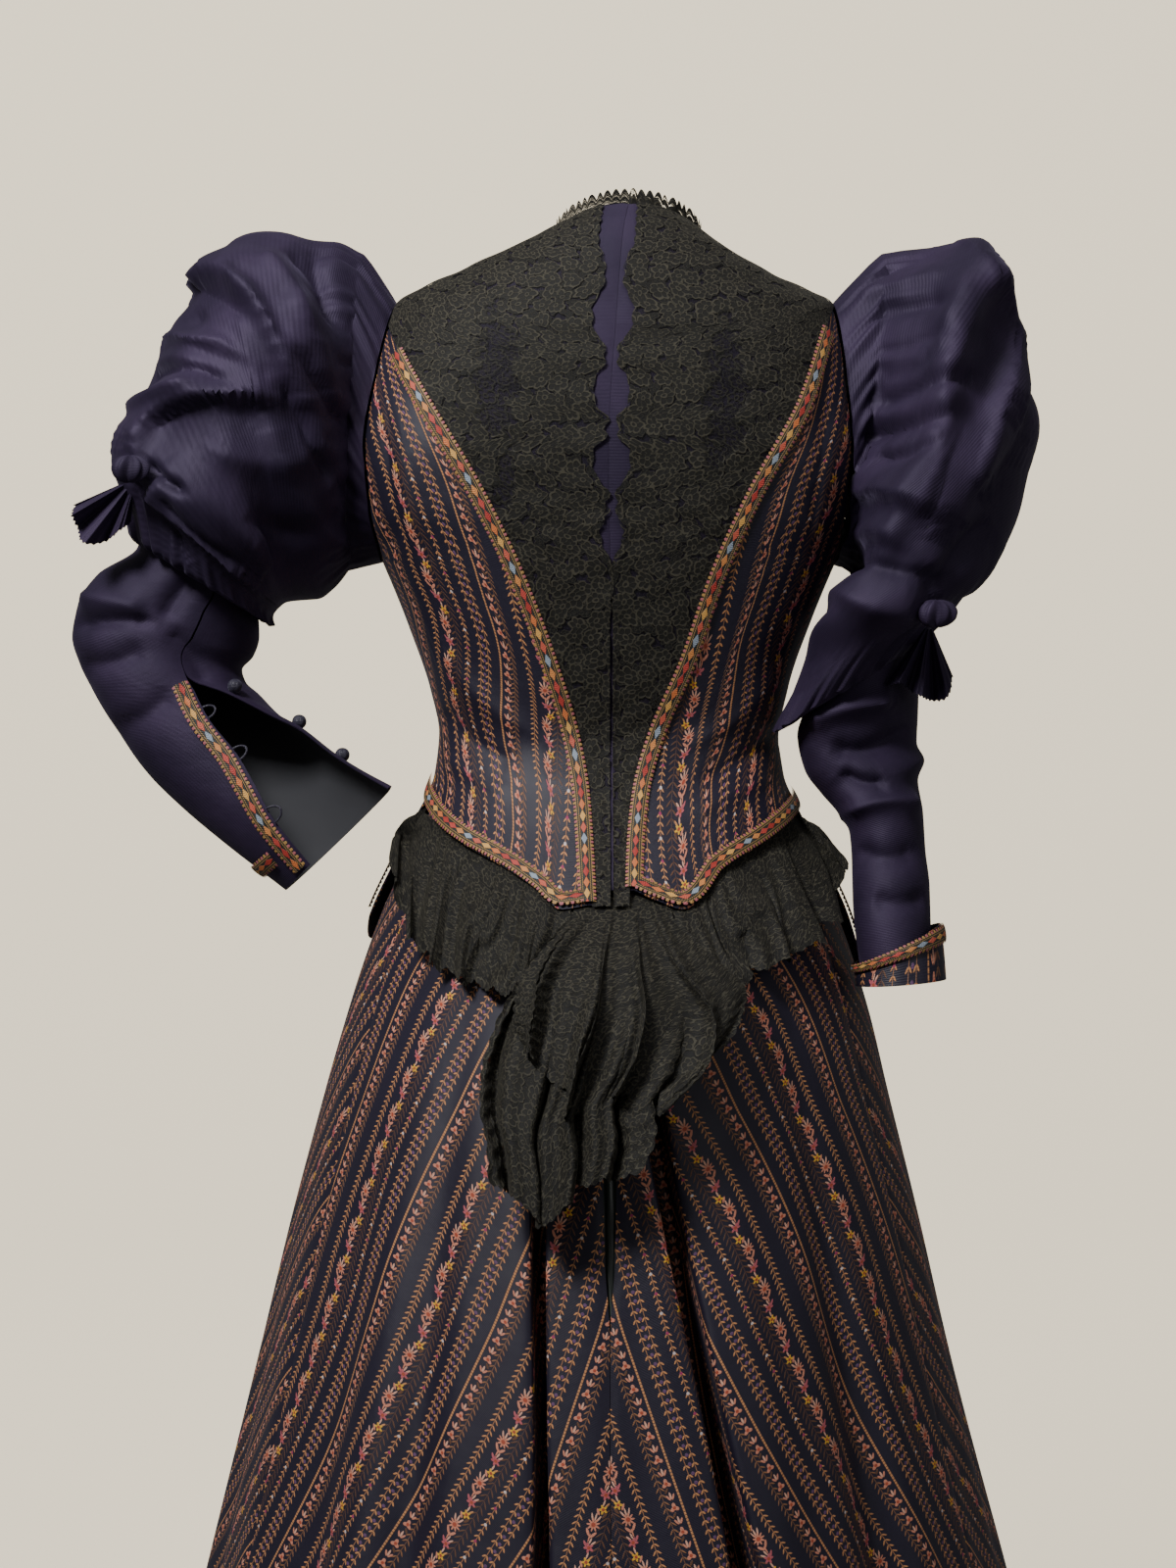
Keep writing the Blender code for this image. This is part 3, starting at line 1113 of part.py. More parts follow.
def make_tail():
    part = np.linspace(0, 1, TAIL_PLACES)
    point = TAIL_POINT * np.exp(-((part - TAIL_POINT_AT) / TAIL_POINT_WIDTH) ** 2)
    bottom = TAIL_BOTTOM - point + TAIL_SLANT * part
    lines = []
    for share in np.linspace(0, 1, TAIL_ROWS):
        value = {n: float(looked_up(TAIL, TAIL_COLUMNS, "share", n, share)) for n in TAIL_COLUMNS}
        z = spread(TAIL_TOP, bottom, share)
        x = spread(value["left_x"], value["right_x"], part)
        height = spread(TAIL_WAVE[0], TAIL_WAVE[1], min(1.0, TAIL_WAVE_GROWTH * share))
        wave = height * np.cos(part * 2 * np.pi * TAIL_WAVES)
        lines.append(off_skirt(x, z, value["lift"] + wave))
    sheet("lace_tail", np.array(lines), "black_lace", LACE_WALL)
    above = ["peplum_lace_left", "peplum_lace_right", "bodice_plain_back_left"]
    move_to("lace_tail", above, (0, 1, 0), SEAT_GAP)


for old in list(bpy.data.objects):
    bpy.data.objects.remove(old, do_unlink=True)
PARTS = make_collection(NAME)
CLOTHS = {name: make_material(name) for name in MATERIALS}
make_bodice()
make_yoke()
make_neck_lace()
make_bodice_braids()
make_skirt()
make_sleeves()
make_sleeve_braids()
make_buttons()
make_flounce("left")
make_flounce("right")
make_peplum(-1, "left", PEPLUM_LEFT)
make_peplum(1, "right", PEPLUM_RIGHT)
make_tail()
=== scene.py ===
# Two-piece day dress, photographed from the back: looks, fine folds, lace, braid and brocade
# Sizes are in metres. +X is the photograph's right, -Y faces the viewer, +Z is up
import bpy
import math
import numpy as np
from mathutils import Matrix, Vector


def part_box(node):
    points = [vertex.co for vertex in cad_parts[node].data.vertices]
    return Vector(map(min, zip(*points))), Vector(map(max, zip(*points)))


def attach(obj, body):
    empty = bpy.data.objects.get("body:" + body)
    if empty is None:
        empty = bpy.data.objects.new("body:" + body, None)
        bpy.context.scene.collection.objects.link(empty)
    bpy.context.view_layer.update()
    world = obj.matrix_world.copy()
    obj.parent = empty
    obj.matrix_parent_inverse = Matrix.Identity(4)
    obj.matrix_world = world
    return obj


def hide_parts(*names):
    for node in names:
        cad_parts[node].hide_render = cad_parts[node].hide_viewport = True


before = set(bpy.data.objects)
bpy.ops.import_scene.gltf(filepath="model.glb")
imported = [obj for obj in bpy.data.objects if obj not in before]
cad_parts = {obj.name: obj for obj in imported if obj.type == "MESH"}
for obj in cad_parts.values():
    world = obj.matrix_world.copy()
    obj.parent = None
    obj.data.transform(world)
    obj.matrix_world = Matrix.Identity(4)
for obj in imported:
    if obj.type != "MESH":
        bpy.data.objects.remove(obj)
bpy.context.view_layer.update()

# Camera: distance, aim and lens of the photograph
CAMERA_DISTANCE = 2.40
AIM = (-0.0194, 0.0, -0.3852)
LENS = 75.0
LONG_SIDE = 36.0

# Cloth of the visible pieces
SHELL = 0.0009
LACE_RISE = 0.0011
BRAID_RISE = 0.0018
BRAID_DOME = 0.0011
FLOOR_Z = -1.4402

BRAID_WIDTH = 0.0120
BRAID_COLUMNS = 11
SEAM_HALF_GAP = 0.0001
FOLD_SMOOTHING = 1e-9
# Columns and rows of the fine grids
PUFF_GRID = (220, 122)
PEPLUM_GRID = (230, 38)
FALL_GRID = (260, 84)
FLOUNCE_GRID = (110, 22)
SKIRT_ROWS = 108
UNDER_ROWS = 92
UNDER_COLUMNS_LEFT = 100
UNDER_COLUMNS_RIGHT = 96

# Angles in degrees tried beside a seam of the bodice
SMALLEST_STEP = 1e-4
LARGEST_STEP = 4.0
SEAM_STEPS = 60
BODY_CENTRE = np.array([-0.004, 0.0, 0.0])
LEVEL = np.array([1.0, 1.0, 0.0])

# Bodice rings from the neck down: height at back, side and front, half width, depth to the back and to the
# front, roundness (2 is an ellipse, more is squarer) and sideways centre
TORSO_COLUMNS = ("z_back", "z_side", "z_front", "half", "back", "front", "square", "centre")
TORSO = (
    (0.033, 0.016, -0.035, 0.053, 0.052, 0.060, 2.0, 0.010),
    (0.012, 0.003, -0.048, 0.083, 0.072, 0.080, 2.1, 0.006),
    (-0.020, -0.014, -0.064, 0.122, 0.090, 0.098, 2.3, 0.003),
    (-0.062, -0.034, -0.084, 0.158, 0.104, 0.110, 2.6, 0.000),
    (-0.100, -0.085, -0.112, 0.178, 0.112, 0.117, 2.9, -0.003),
    (-0.145, -0.140, -0.150, 0.188, 0.115, 0.124, 3.0, -0.005),
    (-0.188, -0.186, -0.190, 0.182, 0.113, 0.132, 2.8, -0.005),
    (-0.222, -0.222, -0.222, 0.166, 0.110, 0.134, 2.6, -0.004),
    (-0.265, -0.265, -0.265, 0.148, 0.103, 0.124, 2.5, -0.004),
    (-0.315, -0.315, -0.315, 0.131, 0.094, 0.108, 2.4, -0.004),
    (-0.350, -0.350, -0.350, 0.125, 0.088, 0.099, 2.3, -0.004),
    (-0.378, -0.378, -0.378, 0.128, 0.094, 0.100, 2.3, -0.004),
    (-0.410, -0.410, -0.410, 0.143, 0.114, 0.109, 2.2, -0.004),
    (-0.445, -0.445, -0.445, 0.160, 0.144, 0.123, 2.1, -0.004),
    (-0.480, -0.480, -0.480, 0.176, 0.175, 0.137, 2.1, -0.004),
    (-0.545, -0.545, -0.545, 0.194, 0.217, 0.157, 2.1, -0.004),
)
SHOULDER_LEVEL = 3.0
RIGHT_SHOULDER_DROP = 0.006
UNDERARM_LEVEL = 7.0
ARMHOLE_HALF_ANGLE = 27.0
SIDE_SEAM = 90.0
# Least angle in degrees between the V edge and the armhole, and where the hem starts beside the centre back
APEX_ROOM = 2.2
HEM_FIRST_ANGLE = 6.0
PANEL_COLUMNS = 64

# Edge of the plain back piece down both sides of the V, seen from behind
V_EDGE_COLUMNS = ("z", "left_x", "right_x")
V_EDGE = (
    (-0.040, -0.176, 0.166),
    (-0.060, -0.166, 0.154),
    (-0.120, -0.132, 0.131),
    (-0.180, -0.0975, 0.098),
    (-0.240, -0.069, 0.071),
    (-0.300, -0.0465, 0.0503),
    (-0.350, -0.0315, 0.029),
    (-0.390, -0.0245, 0.018),
    (-0.430, -0.0215, 0.0135),
    (-0.480, -0.019, 0.0115),
)
PLAIN_BACK_HEM = -0.466

# Hem of each striped back panel, from the V edge (0) to the side seam (1)
BACK_HEM_COLUMNS = ("across", "left_z", "right_z")
BACK_HEM = (
    (0.00, -0.468, -0.458),
    (0.07, -0.471, -0.466),
    (0.13, -0.459, -0.471),
    (0.25, -0.443, -0.447),
    (0.43, -0.427, -0.429),
    (0.70, -0.405, -0.410),
    (1.00, -0.388, -0.398),
)
# Hem of each front with its hip basque, from the side seam (0) to the centre front (1)
FRONT_HEM_COLUMNS = ("across", "left_z", "right_z")
FRONT_HEM = (
    (0.00, -0.478, -0.530),
    (0.15, -0.500, -0.535),
    (0.50, -0.495, -0.505),
    (1.00, -0.470, -0.470),
)

# Half width of the bare strip between the two yoke laces, seen from behind
YOKE_EDGE_COLUMNS = ("z", "half")
YOKE_EDGE = (
    (0.030, 0.013), (0.000, 0.014), (-0.018, 0.008), (-0.032, 0.008), (-0.050, 0.0155), (-0.066, 0.0145),
    (-0.078, 0.0062), (-0.090, 0.0062), (-0.103, 0.0135), (-0.118, 0.0135), (-0.128, 0.006), (-0.140, 0.006),
    (-0.154, 0.0145), (-0.168, 0.013), (-0.180, 0.005), (-0.196, 0.005), (-0.208, 0.0095), (-0.222, 0.006),
    (-0.232, 0.0010), (-0.470, 0.0010),
)
# Middle of that strip at three levels
YOKE_CENTRE_LEVELS = (0.0, 4.0, 14.0)
YOKE_CENTRE = (0.004, -0.003, -0.003)
# Room for the braid beside the lace, as a share of half the braid: on the shoulder, under it and lower down
YOKE_ROOM = (0.5, 1.9, 1.45)
YOKE_LOWER_LEVEL = 4.6
BRAID_CLEARANCE = 0.001
NARROWEST_YOKE = 0.6
NECK_MIDDLE = np.array([0.010, 0.0, 0.0])
NORMAL_DEGREES = 0.5
NORMAL_LEVELS = 0.05
BASQUE_BRAID_TOP = -0.424
BASQUE_BRAID_ANGLE = 3.2

# Skirt rings from the waist to the hem
SKIRT_COLUMNS = ("z", "half", "back", "front", "centre")
SKIRT = (
    (-0.362, 0.1170, 0.080, 0.090, -0.004),
    (-0.378, 0.1200, 0.086, 0.092, -0.004),
    (-0.410, 0.1340, 0.105, 0.101, -0.004),
    (-0.445, 0.1510, 0.135, 0.115, -0.004),
    (-0.480, 0.1670, 0.166, 0.129, -0.004),
    (-0.545, 0.1890, 0.210, 0.148, -0.004),
    (-0.610, 0.2060, 0.238, 0.168, -0.005),
    (-0.700, 0.2290, 0.262, 0.190, -0.005),
    (-0.800, 0.2520, 0.285, 0.212, -0.005),
    (-0.961, 0.2920, 0.318, 0.245, -0.004),
    (-1.100, 0.3270, 0.346, 0.270, -0.004),
    (-1.250, 0.3630, 0.378, 0.297, -0.004),
    (-1.438, 0.4080, 0.415, 0.330, -0.004),
)
# Folds of the skirt: angle from the centre back in degrees at three heights, width there, depth inward, and
# how steep the walls are (2 is a soft hollow)
FOLD_HEIGHTS = (-0.600, -0.900, -1.438)
FOLD_COLUMNS = ("angle_top", "angle_mid", "angle_hem", "width_top", "width_mid", "width_hem",
                "depth_top", "depth_mid", "depth_hem", "steep")
FOLDS = (
    (-13.5, -9.6, -8.0, 2.0, 2.3, 2.2, 0.016, 0.052, 0.066, 4.0),
    (8.0, 18.5, 25.0, 2.4, 2.9, 3.2, 0.018, 0.052, 0.066, 4.0),
    (-31.0, -30.0, -28.0, 4.5, 5.0, 5.0, 0.003, 0.016, 0.032, 2.0),
    (40.0, 43.0, 46.0, 4.5, 5.0, 5.0, 0.003, 0.016, 0.032, 2.0),
    (-50.0, -49.0, -48.0, 5.0, 5.0, 5.0, 0.000, 0.008, 0.022, 2.0),
    (78.0, 78.0, 78.0, 6.0, 6.0, 6.0, 0.000, 0.008, 0.024, 2.0),
    (-80.0, -79.0, -78.0, 6.0, 6.0, 6.0, 0.000, 0.006, 0.022, 2.0),
    (98.0, 97.0, 96.0, 6.0, 6.0, 6.0, 0.000, 0.006, 0.020, 2.0),
    (-96.0, -96.0, -96.0, 6.0, 6.0, 6.0, 0.000, 0.005, 0.020, 2.0),
    (111.0, 111.0, 111.0, 5.0, 5.0, 5.0, 0.000, 0.004, 0.016, 2.0),
    (-111.0, -111.0, -111.0, 5.0, 5.0, 5.0, 0.000, 0.006, 0.016, 2.0),
    (149.0, 149.0, 149.0, 6.0, 6.0, 6.0, 0.000, 0.006, 0.018, 2.0),
    (-149.0, -149.0, -149.0, 6.0, 6.0, 6.0, 0.000, 0.006, 0.018, 2.0),
    (170.0, 170.0, 170.0, 6.0, 6.0, 6.0, 0.000, 0.005, 0.018, 2.0),
    (-171.0, -171.0, -171.0, 6.0, 6.0, 6.0, 0.000, 0.005, 0.018, 2.0),
)
FOLD_START = -0.50
FOLD_FADE = 0.10
# How much closer together the columns of a gore lie round its folds
GORE_PLACES = 1201
FOLD_NEED = 260.0
FOLD_NEED_LEAST = 0.002
FOLD_NEED_REACH = 1.6
# Back placket: open slit in the centre back seam
SLIT_COLUMNS = ("z", "half")
SLIT = (
    (-0.362, 0.0010), (-0.560, 0.0030), (-0.650, 0.0046),
    (-0.700, 0.0036), (-0.745, 0.0006), (-1.438, 0.0006),
)
PLACKET_TOP = -0.400
PLACKET_BOTTOM = -0.765
PLACKET_OVERLAP = 0.010

# Sleeve sections: the outer and the inner edge of each as seen from behind, and its depth to both sides
SLEEVE_COLUMNS = ("outer_x", "outer_y", "outer_z", "inner_x", "inner_y", "inner_z", "near", "far", "lean")
PUFF_LEFT = (
    (-0.186, 0.000, 0.002, -0.196, 0.000, -0.228, 0.066, 0.064, -0.05),
    (-0.206, 0.000, 0.012, -0.207, 0.000, -0.242, 0.084, 0.082, -0.12),
    (-0.235, 0.000, 0.013, -0.217, 0.000, -0.249, 0.100, 0.094, -0.16),
    (-0.275, 0.000, 0.002, -0.230, 0.000, -0.250, 0.108, 0.100, -0.14),
    (-0.298, -0.005, -0.014, -0.237, -0.005, -0.251, 0.110, 0.102, -0.10),
    (-0.306, -0.010, -0.044, -0.241, -0.008, -0.252, 0.108, 0.100, -0.08),
    (-0.328, -0.012, -0.078, -0.245, -0.010, -0.255, 0.104, 0.096, -0.06),
    (-0.348, -0.015, -0.112, -0.248, -0.012, -0.258, 0.098, 0.090, -0.04),
    (-0.359, -0.018, -0.140, -0.250, -0.014, -0.261, 0.090, 0.083, -0.02),
    (-0.357, -0.020, -0.172, -0.251, -0.016, -0.265, 0.082, 0.076, 0.00),
    (-0.352, -0.020, -0.203, -0.250, -0.018, -0.270, 0.072, 0.068, 0.00),
)
PUFF_RIGHT = (
    (0.198, 0.000, 0.002, 0.173, -0.002, -0.230, 0.064, 0.062, 0.04),
    (0.216, 0.000, 0.006, 0.175, -0.006, -0.237, 0.080, 0.078, 0.08),
    (0.240, -0.005, 0.008, 0.171, -0.012, -0.243, 0.092, 0.090, 0.12),
    (0.262, -0.010, 0.002, 0.165, -0.020, -0.249, 0.098, 0.096, 0.16),
    (0.272, -0.015, -0.030, 0.158, -0.030, -0.256, 0.100, 0.096, 0.20),
    (0.282, -0.020, -0.066, 0.151, -0.042, -0.266, 0.098, 0.094, 0.24),
    (0.294, -0.025, -0.099, 0.145, -0.052, -0.277, 0.096, 0.090, 0.24),
    (0.299, -0.028, -0.135, 0.140, -0.057, -0.289, 0.092, 0.086, 0.22),
    (0.295, -0.030, -0.178, 0.134, -0.058, -0.303, 0.086, 0.080, 0.20),
    (0.282, -0.032, -0.213, 0.128, -0.057, -0.318, 0.078, 0.072, 0.16),
    (0.258, -0.034, -0.241, 0.121, -0.056, -0.333, 0.068, 0.062, 0.12),
    (0.240, -0.035, -0.264, 0.114, -0.055, -0.348, 0.058, 0.052, 0.10),
)
UNDER_LEFT = (
    (-0.342, -0.020, -0.190, -0.264, -0.018, -0.240, 0.054, 0.050, 0.00),
    (-0.347, -0.020, -0.213, -0.260, -0.018, -0.262, 0.054, 0.050, 0.00),
    (-0.376, -0.022, -0.233, -0.259, -0.020, -0.278, 0.053, 0.049, 0.00),
    (-0.390, -0.024, -0.256, -0.263, -0.022, -0.292, 0.052, 0.048, 0.00),
    (-0.394, -0.026, -0.277, -0.271, -0.024, -0.302, 0.050, 0.046, 0.00),
    (-0.388, -0.030, -0.298, -0.268, -0.028, -0.311, 0.048, 0.044, 0.00),
    (-0.377, -0.034, -0.319, -0.258, -0.032, -0.320, 0.046, 0.042, 0.00),
    (-0.358, -0.040, -0.349, -0.243, -0.038, -0.335, 0.044, 0.040, 0.00),
    (-0.336, -0.046, -0.378, -0.224, -0.044, -0.349, 0.042, 0.038, 0.00),
    (-0.311, -0.052, -0.402, -0.203, -0.052, -0.366, 0.040, 0.036, 0.00),
    (-0.279, -0.060, -0.428, -0.184, -0.062, -0.378, 0.036, 0.034, 0.00),
    (-0.235, -0.068, -0.461, -0.161, -0.074, -0.390, 0.032, 0.032, 0.00),
)
UNDER_RIGHT = (
    (0.223, -0.038, -0.264, 0.148, -0.056, -0.308, 0.044, 0.040, 0.10),
    (0.220, -0.038, -0.305, 0.136, -0.056, -0.333, 0.042, 0.038, 0.10),
    (0.219, -0.038, -0.336, 0.131, -0.056, -0.352, 0.041, 0.037, 0.08),
    (0.218, -0.040, -0.355, 0.136, -0.056, -0.375, 0.040, 0.036, 0.06),
    (0.223, -0.044, -0.368, 0.148, -0.056, -0.392, 0.040, 0.034, 0.04),
    (0.218, -0.048, -0.383, 0.160, -0.058, -0.406, 0.037, 0.033, 0.02),
    (0.221, -0.054, -0.406, 0.168, -0.062, -0.421, 0.035, 0.032, 0.00),
    (0.222, -0.062, -0.433, 0.169, -0.068, -0.441, 0.034, 0.032, 0.00),
    (0.224, -0.072, -0.459, 0.169, -0.076, -0.468, 0.033, 0.031, 0.00),
    (0.224, -0.080, -0.490, 0.171, -0.084, -0.498, 0.032, 0.030, 0.00),
    (0.224, -0.086, -0.518, 0.175, -0.088, -0.522, 0.030, 0.029, 0.00),
)
CUFF_RIGHT = (
    (0.231, -0.078, -0.484, 0.1695, -0.084, -0.513, 0.037, 0.035, 0.00),
    (0.233, -0.083, -0.503, 0.1695, -0.086, -0.521, 0.036, 0.034, 0.00),
    (0.234, -0.088, -0.523, 0.1700, -0.089, -0.528, 0.035, 0.034, 0.00),
)
# Sections of the undersleeve that the end of each puff is gathered onto, on its outer and on its inner edge
PUFF_ENDS = {"left": (UNDER_LEFT, 0.7, 1.0), "right": (UNDER_RIGHT, 0.4, 0.9)}
# Open edge of the left undersleeve: the braid edge and the button edge, as angles from the outer edge
OPEN_COLUMNS = ("section", "braid_angle", "button_angle")
OPEN_EDGE = (
    (0.0, 112.5, 114.0), (3.0, 112.5, 114.0), (5.0, 111.5, 113.0), (5.6, 110.0, 121.0), (7.0, 103.0, 149.0),
    (8.0, 100.0, 166.0), (9.0, 91.0, 172.0), (10.0, 77.0, 176.0), (11.0, 62.0, 178.0),
)
# Puff folds: angle and section where each starts and ends, width in sections, height outward
PUFF_FOLD_COLUMNS = ("angle_from", "section_from", "angle_to", "section_to", "width", "height")
PUFF_FOLDS_LEFT = (
    (-60.0, 2.6, 60.0, 2.9, 0.75, 0.014),
    (60.0, 2.9, 115.0, 1.0, 0.8, 0.010),
    (-50.0, 5.6, 55.0, 5.2, 0.75, 0.013),
    (45.0, 8.2, 125.0, 5.4, 0.85, 0.013),
    (-120.0, 4.0, -70.0, 4.4, 0.8, 0.010),
)
PUFF_FOLDS_RIGHT = (
    (-60.0, 3.2, 55.0, 3.2, 0.8, 0.013),
    (60.0, 3.2, 110.0, 5.8, 0.8, 0.010),
    (-50.0, 6.6, 60.0, 6.6, 0.8, 0.010),
    (50.0, 9.2, 150.0, 6.8, 0.9, 0.012),
    (-120.0, 4.6, -70.0, 5.0, 0.8, 0.010),
)
FOLD_END_REACH = 22.0
BESIDE_ANGLE = 4.0
WRIST_BESIDE_SECTION = 10.2
WRIST_BRAID_LAST = -40.0
RING_PLACES = 24

# Peplum lace from the centre (0) to the side (1): place at the hem and at its own edge, seen from behind
PEPLUM_COLUMNS = ("across", "top_x", "edge_x", "edge_z", "flare")
PEPLUM_LEFT = (
    (0.00, -0.030, -0.036, -0.530, 0.006),
    (0.20, -0.055, -0.066, -0.526, 0.007),
    (0.40, -0.080, -0.092, -0.519, 0.008),
    (0.60, -0.104, -0.114, -0.508, 0.009),
    (0.80, -0.124, -0.131, -0.488, 0.010),
    (0.92, -0.134, -0.139, -0.455, 0.010),
    (1.00, -0.138, -0.144, -0.420, 0.012),
)
PEPLUM_RIGHT = (
    (0.00, 0.030, 0.040, -0.540, 0.006),
    (0.20, 0.052, 0.068, -0.522, 0.008),
    (0.40, 0.076, 0.092, -0.509, 0.010),
    (0.60, 0.098, 0.120, -0.496, 0.010),
    (0.80, 0.119, 0.138, -0.478, 0.010),
    (0.92, 0.128, 0.142, -0.450, 0.012),
    (1.00, 0.131, 0.143, -0.425, 0.014),
)
PEPLUM_LEVEL = 12.3
WIDEST_SHARE = 0.97
TAIL_TOP = -0.477
FLOUNCES = {
    "left": ((-0.340, -0.120, -0.168), (-1.00, 0.02, -0.42), (-0.12, -0.05, -1.00),
             (0.056, 0.062, 0.068, 0.052, 0.036)),
    "right": ((0.222, -0.140, -0.270), (-0.60, -0.04, -0.85), (0.38, 0.16, -0.82),
              (0.064, 0.056, 0.062, 0.066, 0.050)),
}
FLOUNCE_PLEATS = 3
KNOT_SIZE = (0.013, 0.009, 0.010)
BUTTON_AT = (5.9, 7.7, 9.2)
PATCH_SECTIONS = 0.1
PATCH_DEGREES = 1.5


def column(table, names, name):
    at = names.index(name)
    return np.array([row[at] for row in table], dtype=float)


def slopes_of(places, values):
    """Slopes of a smooth line that never overshoots its table."""
    steps = np.diff(places)
    rates = np.diff(values) / steps
    slopes = np.zeros_like(values)
    for i in range(1, len(values) - 1):
        if rates[i - 1] * rates[i] > 0:
            heavy = 2 * steps[i] + steps[i - 1]
            light = steps[i] + 2 * steps[i - 1]
            slopes[i] = (heavy + light) / (heavy / rates[i - 1] + light / rates[i])
    slopes[0] = rates[0]
    slopes[-1] = rates[-1]
    return slopes


def smooth(places, values, at):
    """Value of a table at any place between its rows."""
    places = np.asarray(places, dtype=float)
    values = np.asarray(values, dtype=float)
    at = np.asarray(at, dtype=float)
    if places[0] > places[-1]:
        places, values = places[::-1], values[::-1]
    slopes = slopes_of(places, values)
    spot = np.clip(np.searchsorted(places, at) - 1, 0, len(places) - 2)
    step = places[spot + 1] - places[spot]
    part = np.clip((at - places[spot]) / step, 0.0, 1.0)
    one = (1 + 2 * part) * (1 - part) ** 2 * values[spot]
    two = part * (1 - part) ** 2 * step * slopes[spot]
    three = part ** 2 * (3 - 2 * part) * values[spot + 1]
    four = part ** 2 * (part - 1) * step * slopes[spot + 1]
    return one + two + three + four


def looked_up(table, names, key, name, at):
    """Smooth value of one column of a table at a value of another."""
    return smooth(column(table, names, key), column(table, names, name), at)


def torso_value(name, level):
    return smooth(np.arange(len(TORSO)), column(TORSO, TORSO_COLUMNS, name), level)


def signed_power(value, power):
    return np.sign(value) * np.abs(value) ** power


def torso(angle, level):
    """Point of the bodice; angle in degrees from the centre back, positive to the right."""
    turn = np.radians(angle)
    power = 2.0 / torso_value("square", level)
    backness = np.cos(turn)
    depth = np.where(backness > 0, torso_value("back", level), torso_value("front", level))
    x = torso_value("centre", level) + torso_value("half", level) * signed_power(np.sin(turn), power)
    y = -depth * signed_power(backness, power)
    toward = np.abs(backness) ** 1.5
    far_z = np.where(backness > 0, torso_value("z_back", level), torso_value("z_front", level))
    along = np.sin(np.pi * np.clip(level / SHOULDER_LEVEL, 0, 1))
    drop = RIGHT_SHOULDER_DROP * np.clip(np.sin(turn), 0, 1) * along
    side_z = torso_value("z_side", level) - drop
    return np.stack([x, y, side_z + (far_z - side_z) * toward], axis=-1)


def level_for(z, angle):
    """Level at which the bodice at this angle has this height."""
    levels = np.linspace(0, len(TORSO) - 1, 300)
    heights = torso(np.full_like(levels, angle), levels)[:, 2]
    return float(np.interp(-z, -heights, levels))


def angle_for(x, level):
    """Angle on the back at which the bodice has this sideways place."""
    share = (x - torso_value("centre", level)) / torso_value("half", level)
    share = np.clip(share, -0.9995, 0.9995)
    return np.degrees(np.arcsin(signed_power(share, torso_value("square", level) / 2.0)))


def v_angle(level, side):
    name = "left_x" if side < 0 else "right_x"
    heights = 0.5 * (torso_value("z_back", level) + torso_value("z_side", level))
    places = column(V_EDGE, V_EDGE_COLUMNS, "z")
    x = smooth(places, column(V_EDGE, V_EDGE_COLUMNS, name), np.clip(heights, places[-1], places[0]))
    return np.abs(angle_for(x, level))


def armhole_half_angle(level):
    middle = 0.5 * (SHOULDER_LEVEL + UNDERARM_LEVEL)
    reach = 0.5 * (UNDERARM_LEVEL - SHOULDER_LEVEL)
    share = np.clip(1 - ((level - middle) / reach) ** 2, 0, 1)
    return ARMHOLE_HALF_ANGLE * np.sqrt(share)


def outer_angle(level):
    """Shoulder seam, armhole edge or side seam of a back piece at each level."""
    return SIDE_SEAM - armhole_half_angle(level)


def beside_seam(angle, way, level):
    """Angle on one side of a seam, half a seam's gap from it along the cloth."""
    steps = np.geomspace(SMALLEST_STEP, LARGEST_STEP, SEAM_STEPS)
    seam = torso(angle, level)
    near = torso(angle[..., None] + way * steps, np.repeat(level[..., None], SEAM_STEPS, axis=-1))
    clear = np.linalg.norm(near - seam[..., None, :], axis=-1) >= SEAM_HALF_GAP
    return angle + way * steps[np.argmax(clear, axis=-1)]


def spread(first, last, part):
    return first + (last - first) * part


def bodice_panel(inner, outer, top, bottom, down, side):
    """Grid of points between two seam lines (angles by level) and two cut edges (levels by place across)."""
    across = np.linspace(0, 1, PANEL_COLUMNS)
    first = np.array([top(q) for q in across])
    last = np.array([bottom(q) for q in across])
    levels = spread(first[None, :], last[None, :], down[:, None])
    start = beside_seam(inner(levels), 1, levels)
    end = beside_seam(outer(levels), -1, levels)
    angles = spread(start, end, across[None, :])
    return torso(side * angles, levels)


def apex_level(side):
    """Level at which the V edge leaves the armhole."""
    levels = np.linspace(SHOULDER_LEVEL, UNDERARM_LEVEL, 400)
    inside = v_angle(levels, side) < outer_angle(levels) - APEX_ROOM
    return float(levels[np.argmax(inside)])


def hem_level(side, q):
    name = "left_z" if side < 0 else "right_z"
    z = float(looked_up(BACK_HEM, BACK_HEM_COLUMNS, "across", name, q))
    return level_for(z, spread(HEM_FIRST_ANGLE, SIDE_SEAM, q))


def front_hem_level(side, q):
    name = "left_z" if side < 0 else "right_z"
    z = float(looked_up(FRONT_HEM, FRONT_HEM_COLUMNS, "across", name, q))
    return level_for(z, spread(SIDE_SEAM, 180.0, q))


def normals_of(grid, closed=False):
    """Unit normals of a grid of points."""
    if closed:
        joined = np.concatenate([grid[:, -1:], grid, grid[:, :1]], axis=1)
        across = np.gradient(joined, axis=1)[:, 1:-1]
    else:
        across = np.gradient(grid, axis=1)
    down = np.gradient(grid, axis=0)
    normal = np.cross(across, down)
    return normal / (np.linalg.norm(normal, axis=2, keepdims=True) + FOLD_SMOOTHING)


def outward(grid, closed=False):
    """Normals that point away from the middle of each row."""
    normal = normals_of(grid, closed)
    if closed:
        away = grid - grid.mean(axis=1, keepdims=True)
    else:
        away = (grid - BODY_CENTRE) * LEVEL
    facing = np.sign((normal * away).sum())
    return normal * (facing if facing else 1.0)


def unit(vectors):
    return vectors / np.linalg.norm(vectors, axis=-1, keepdims=True)


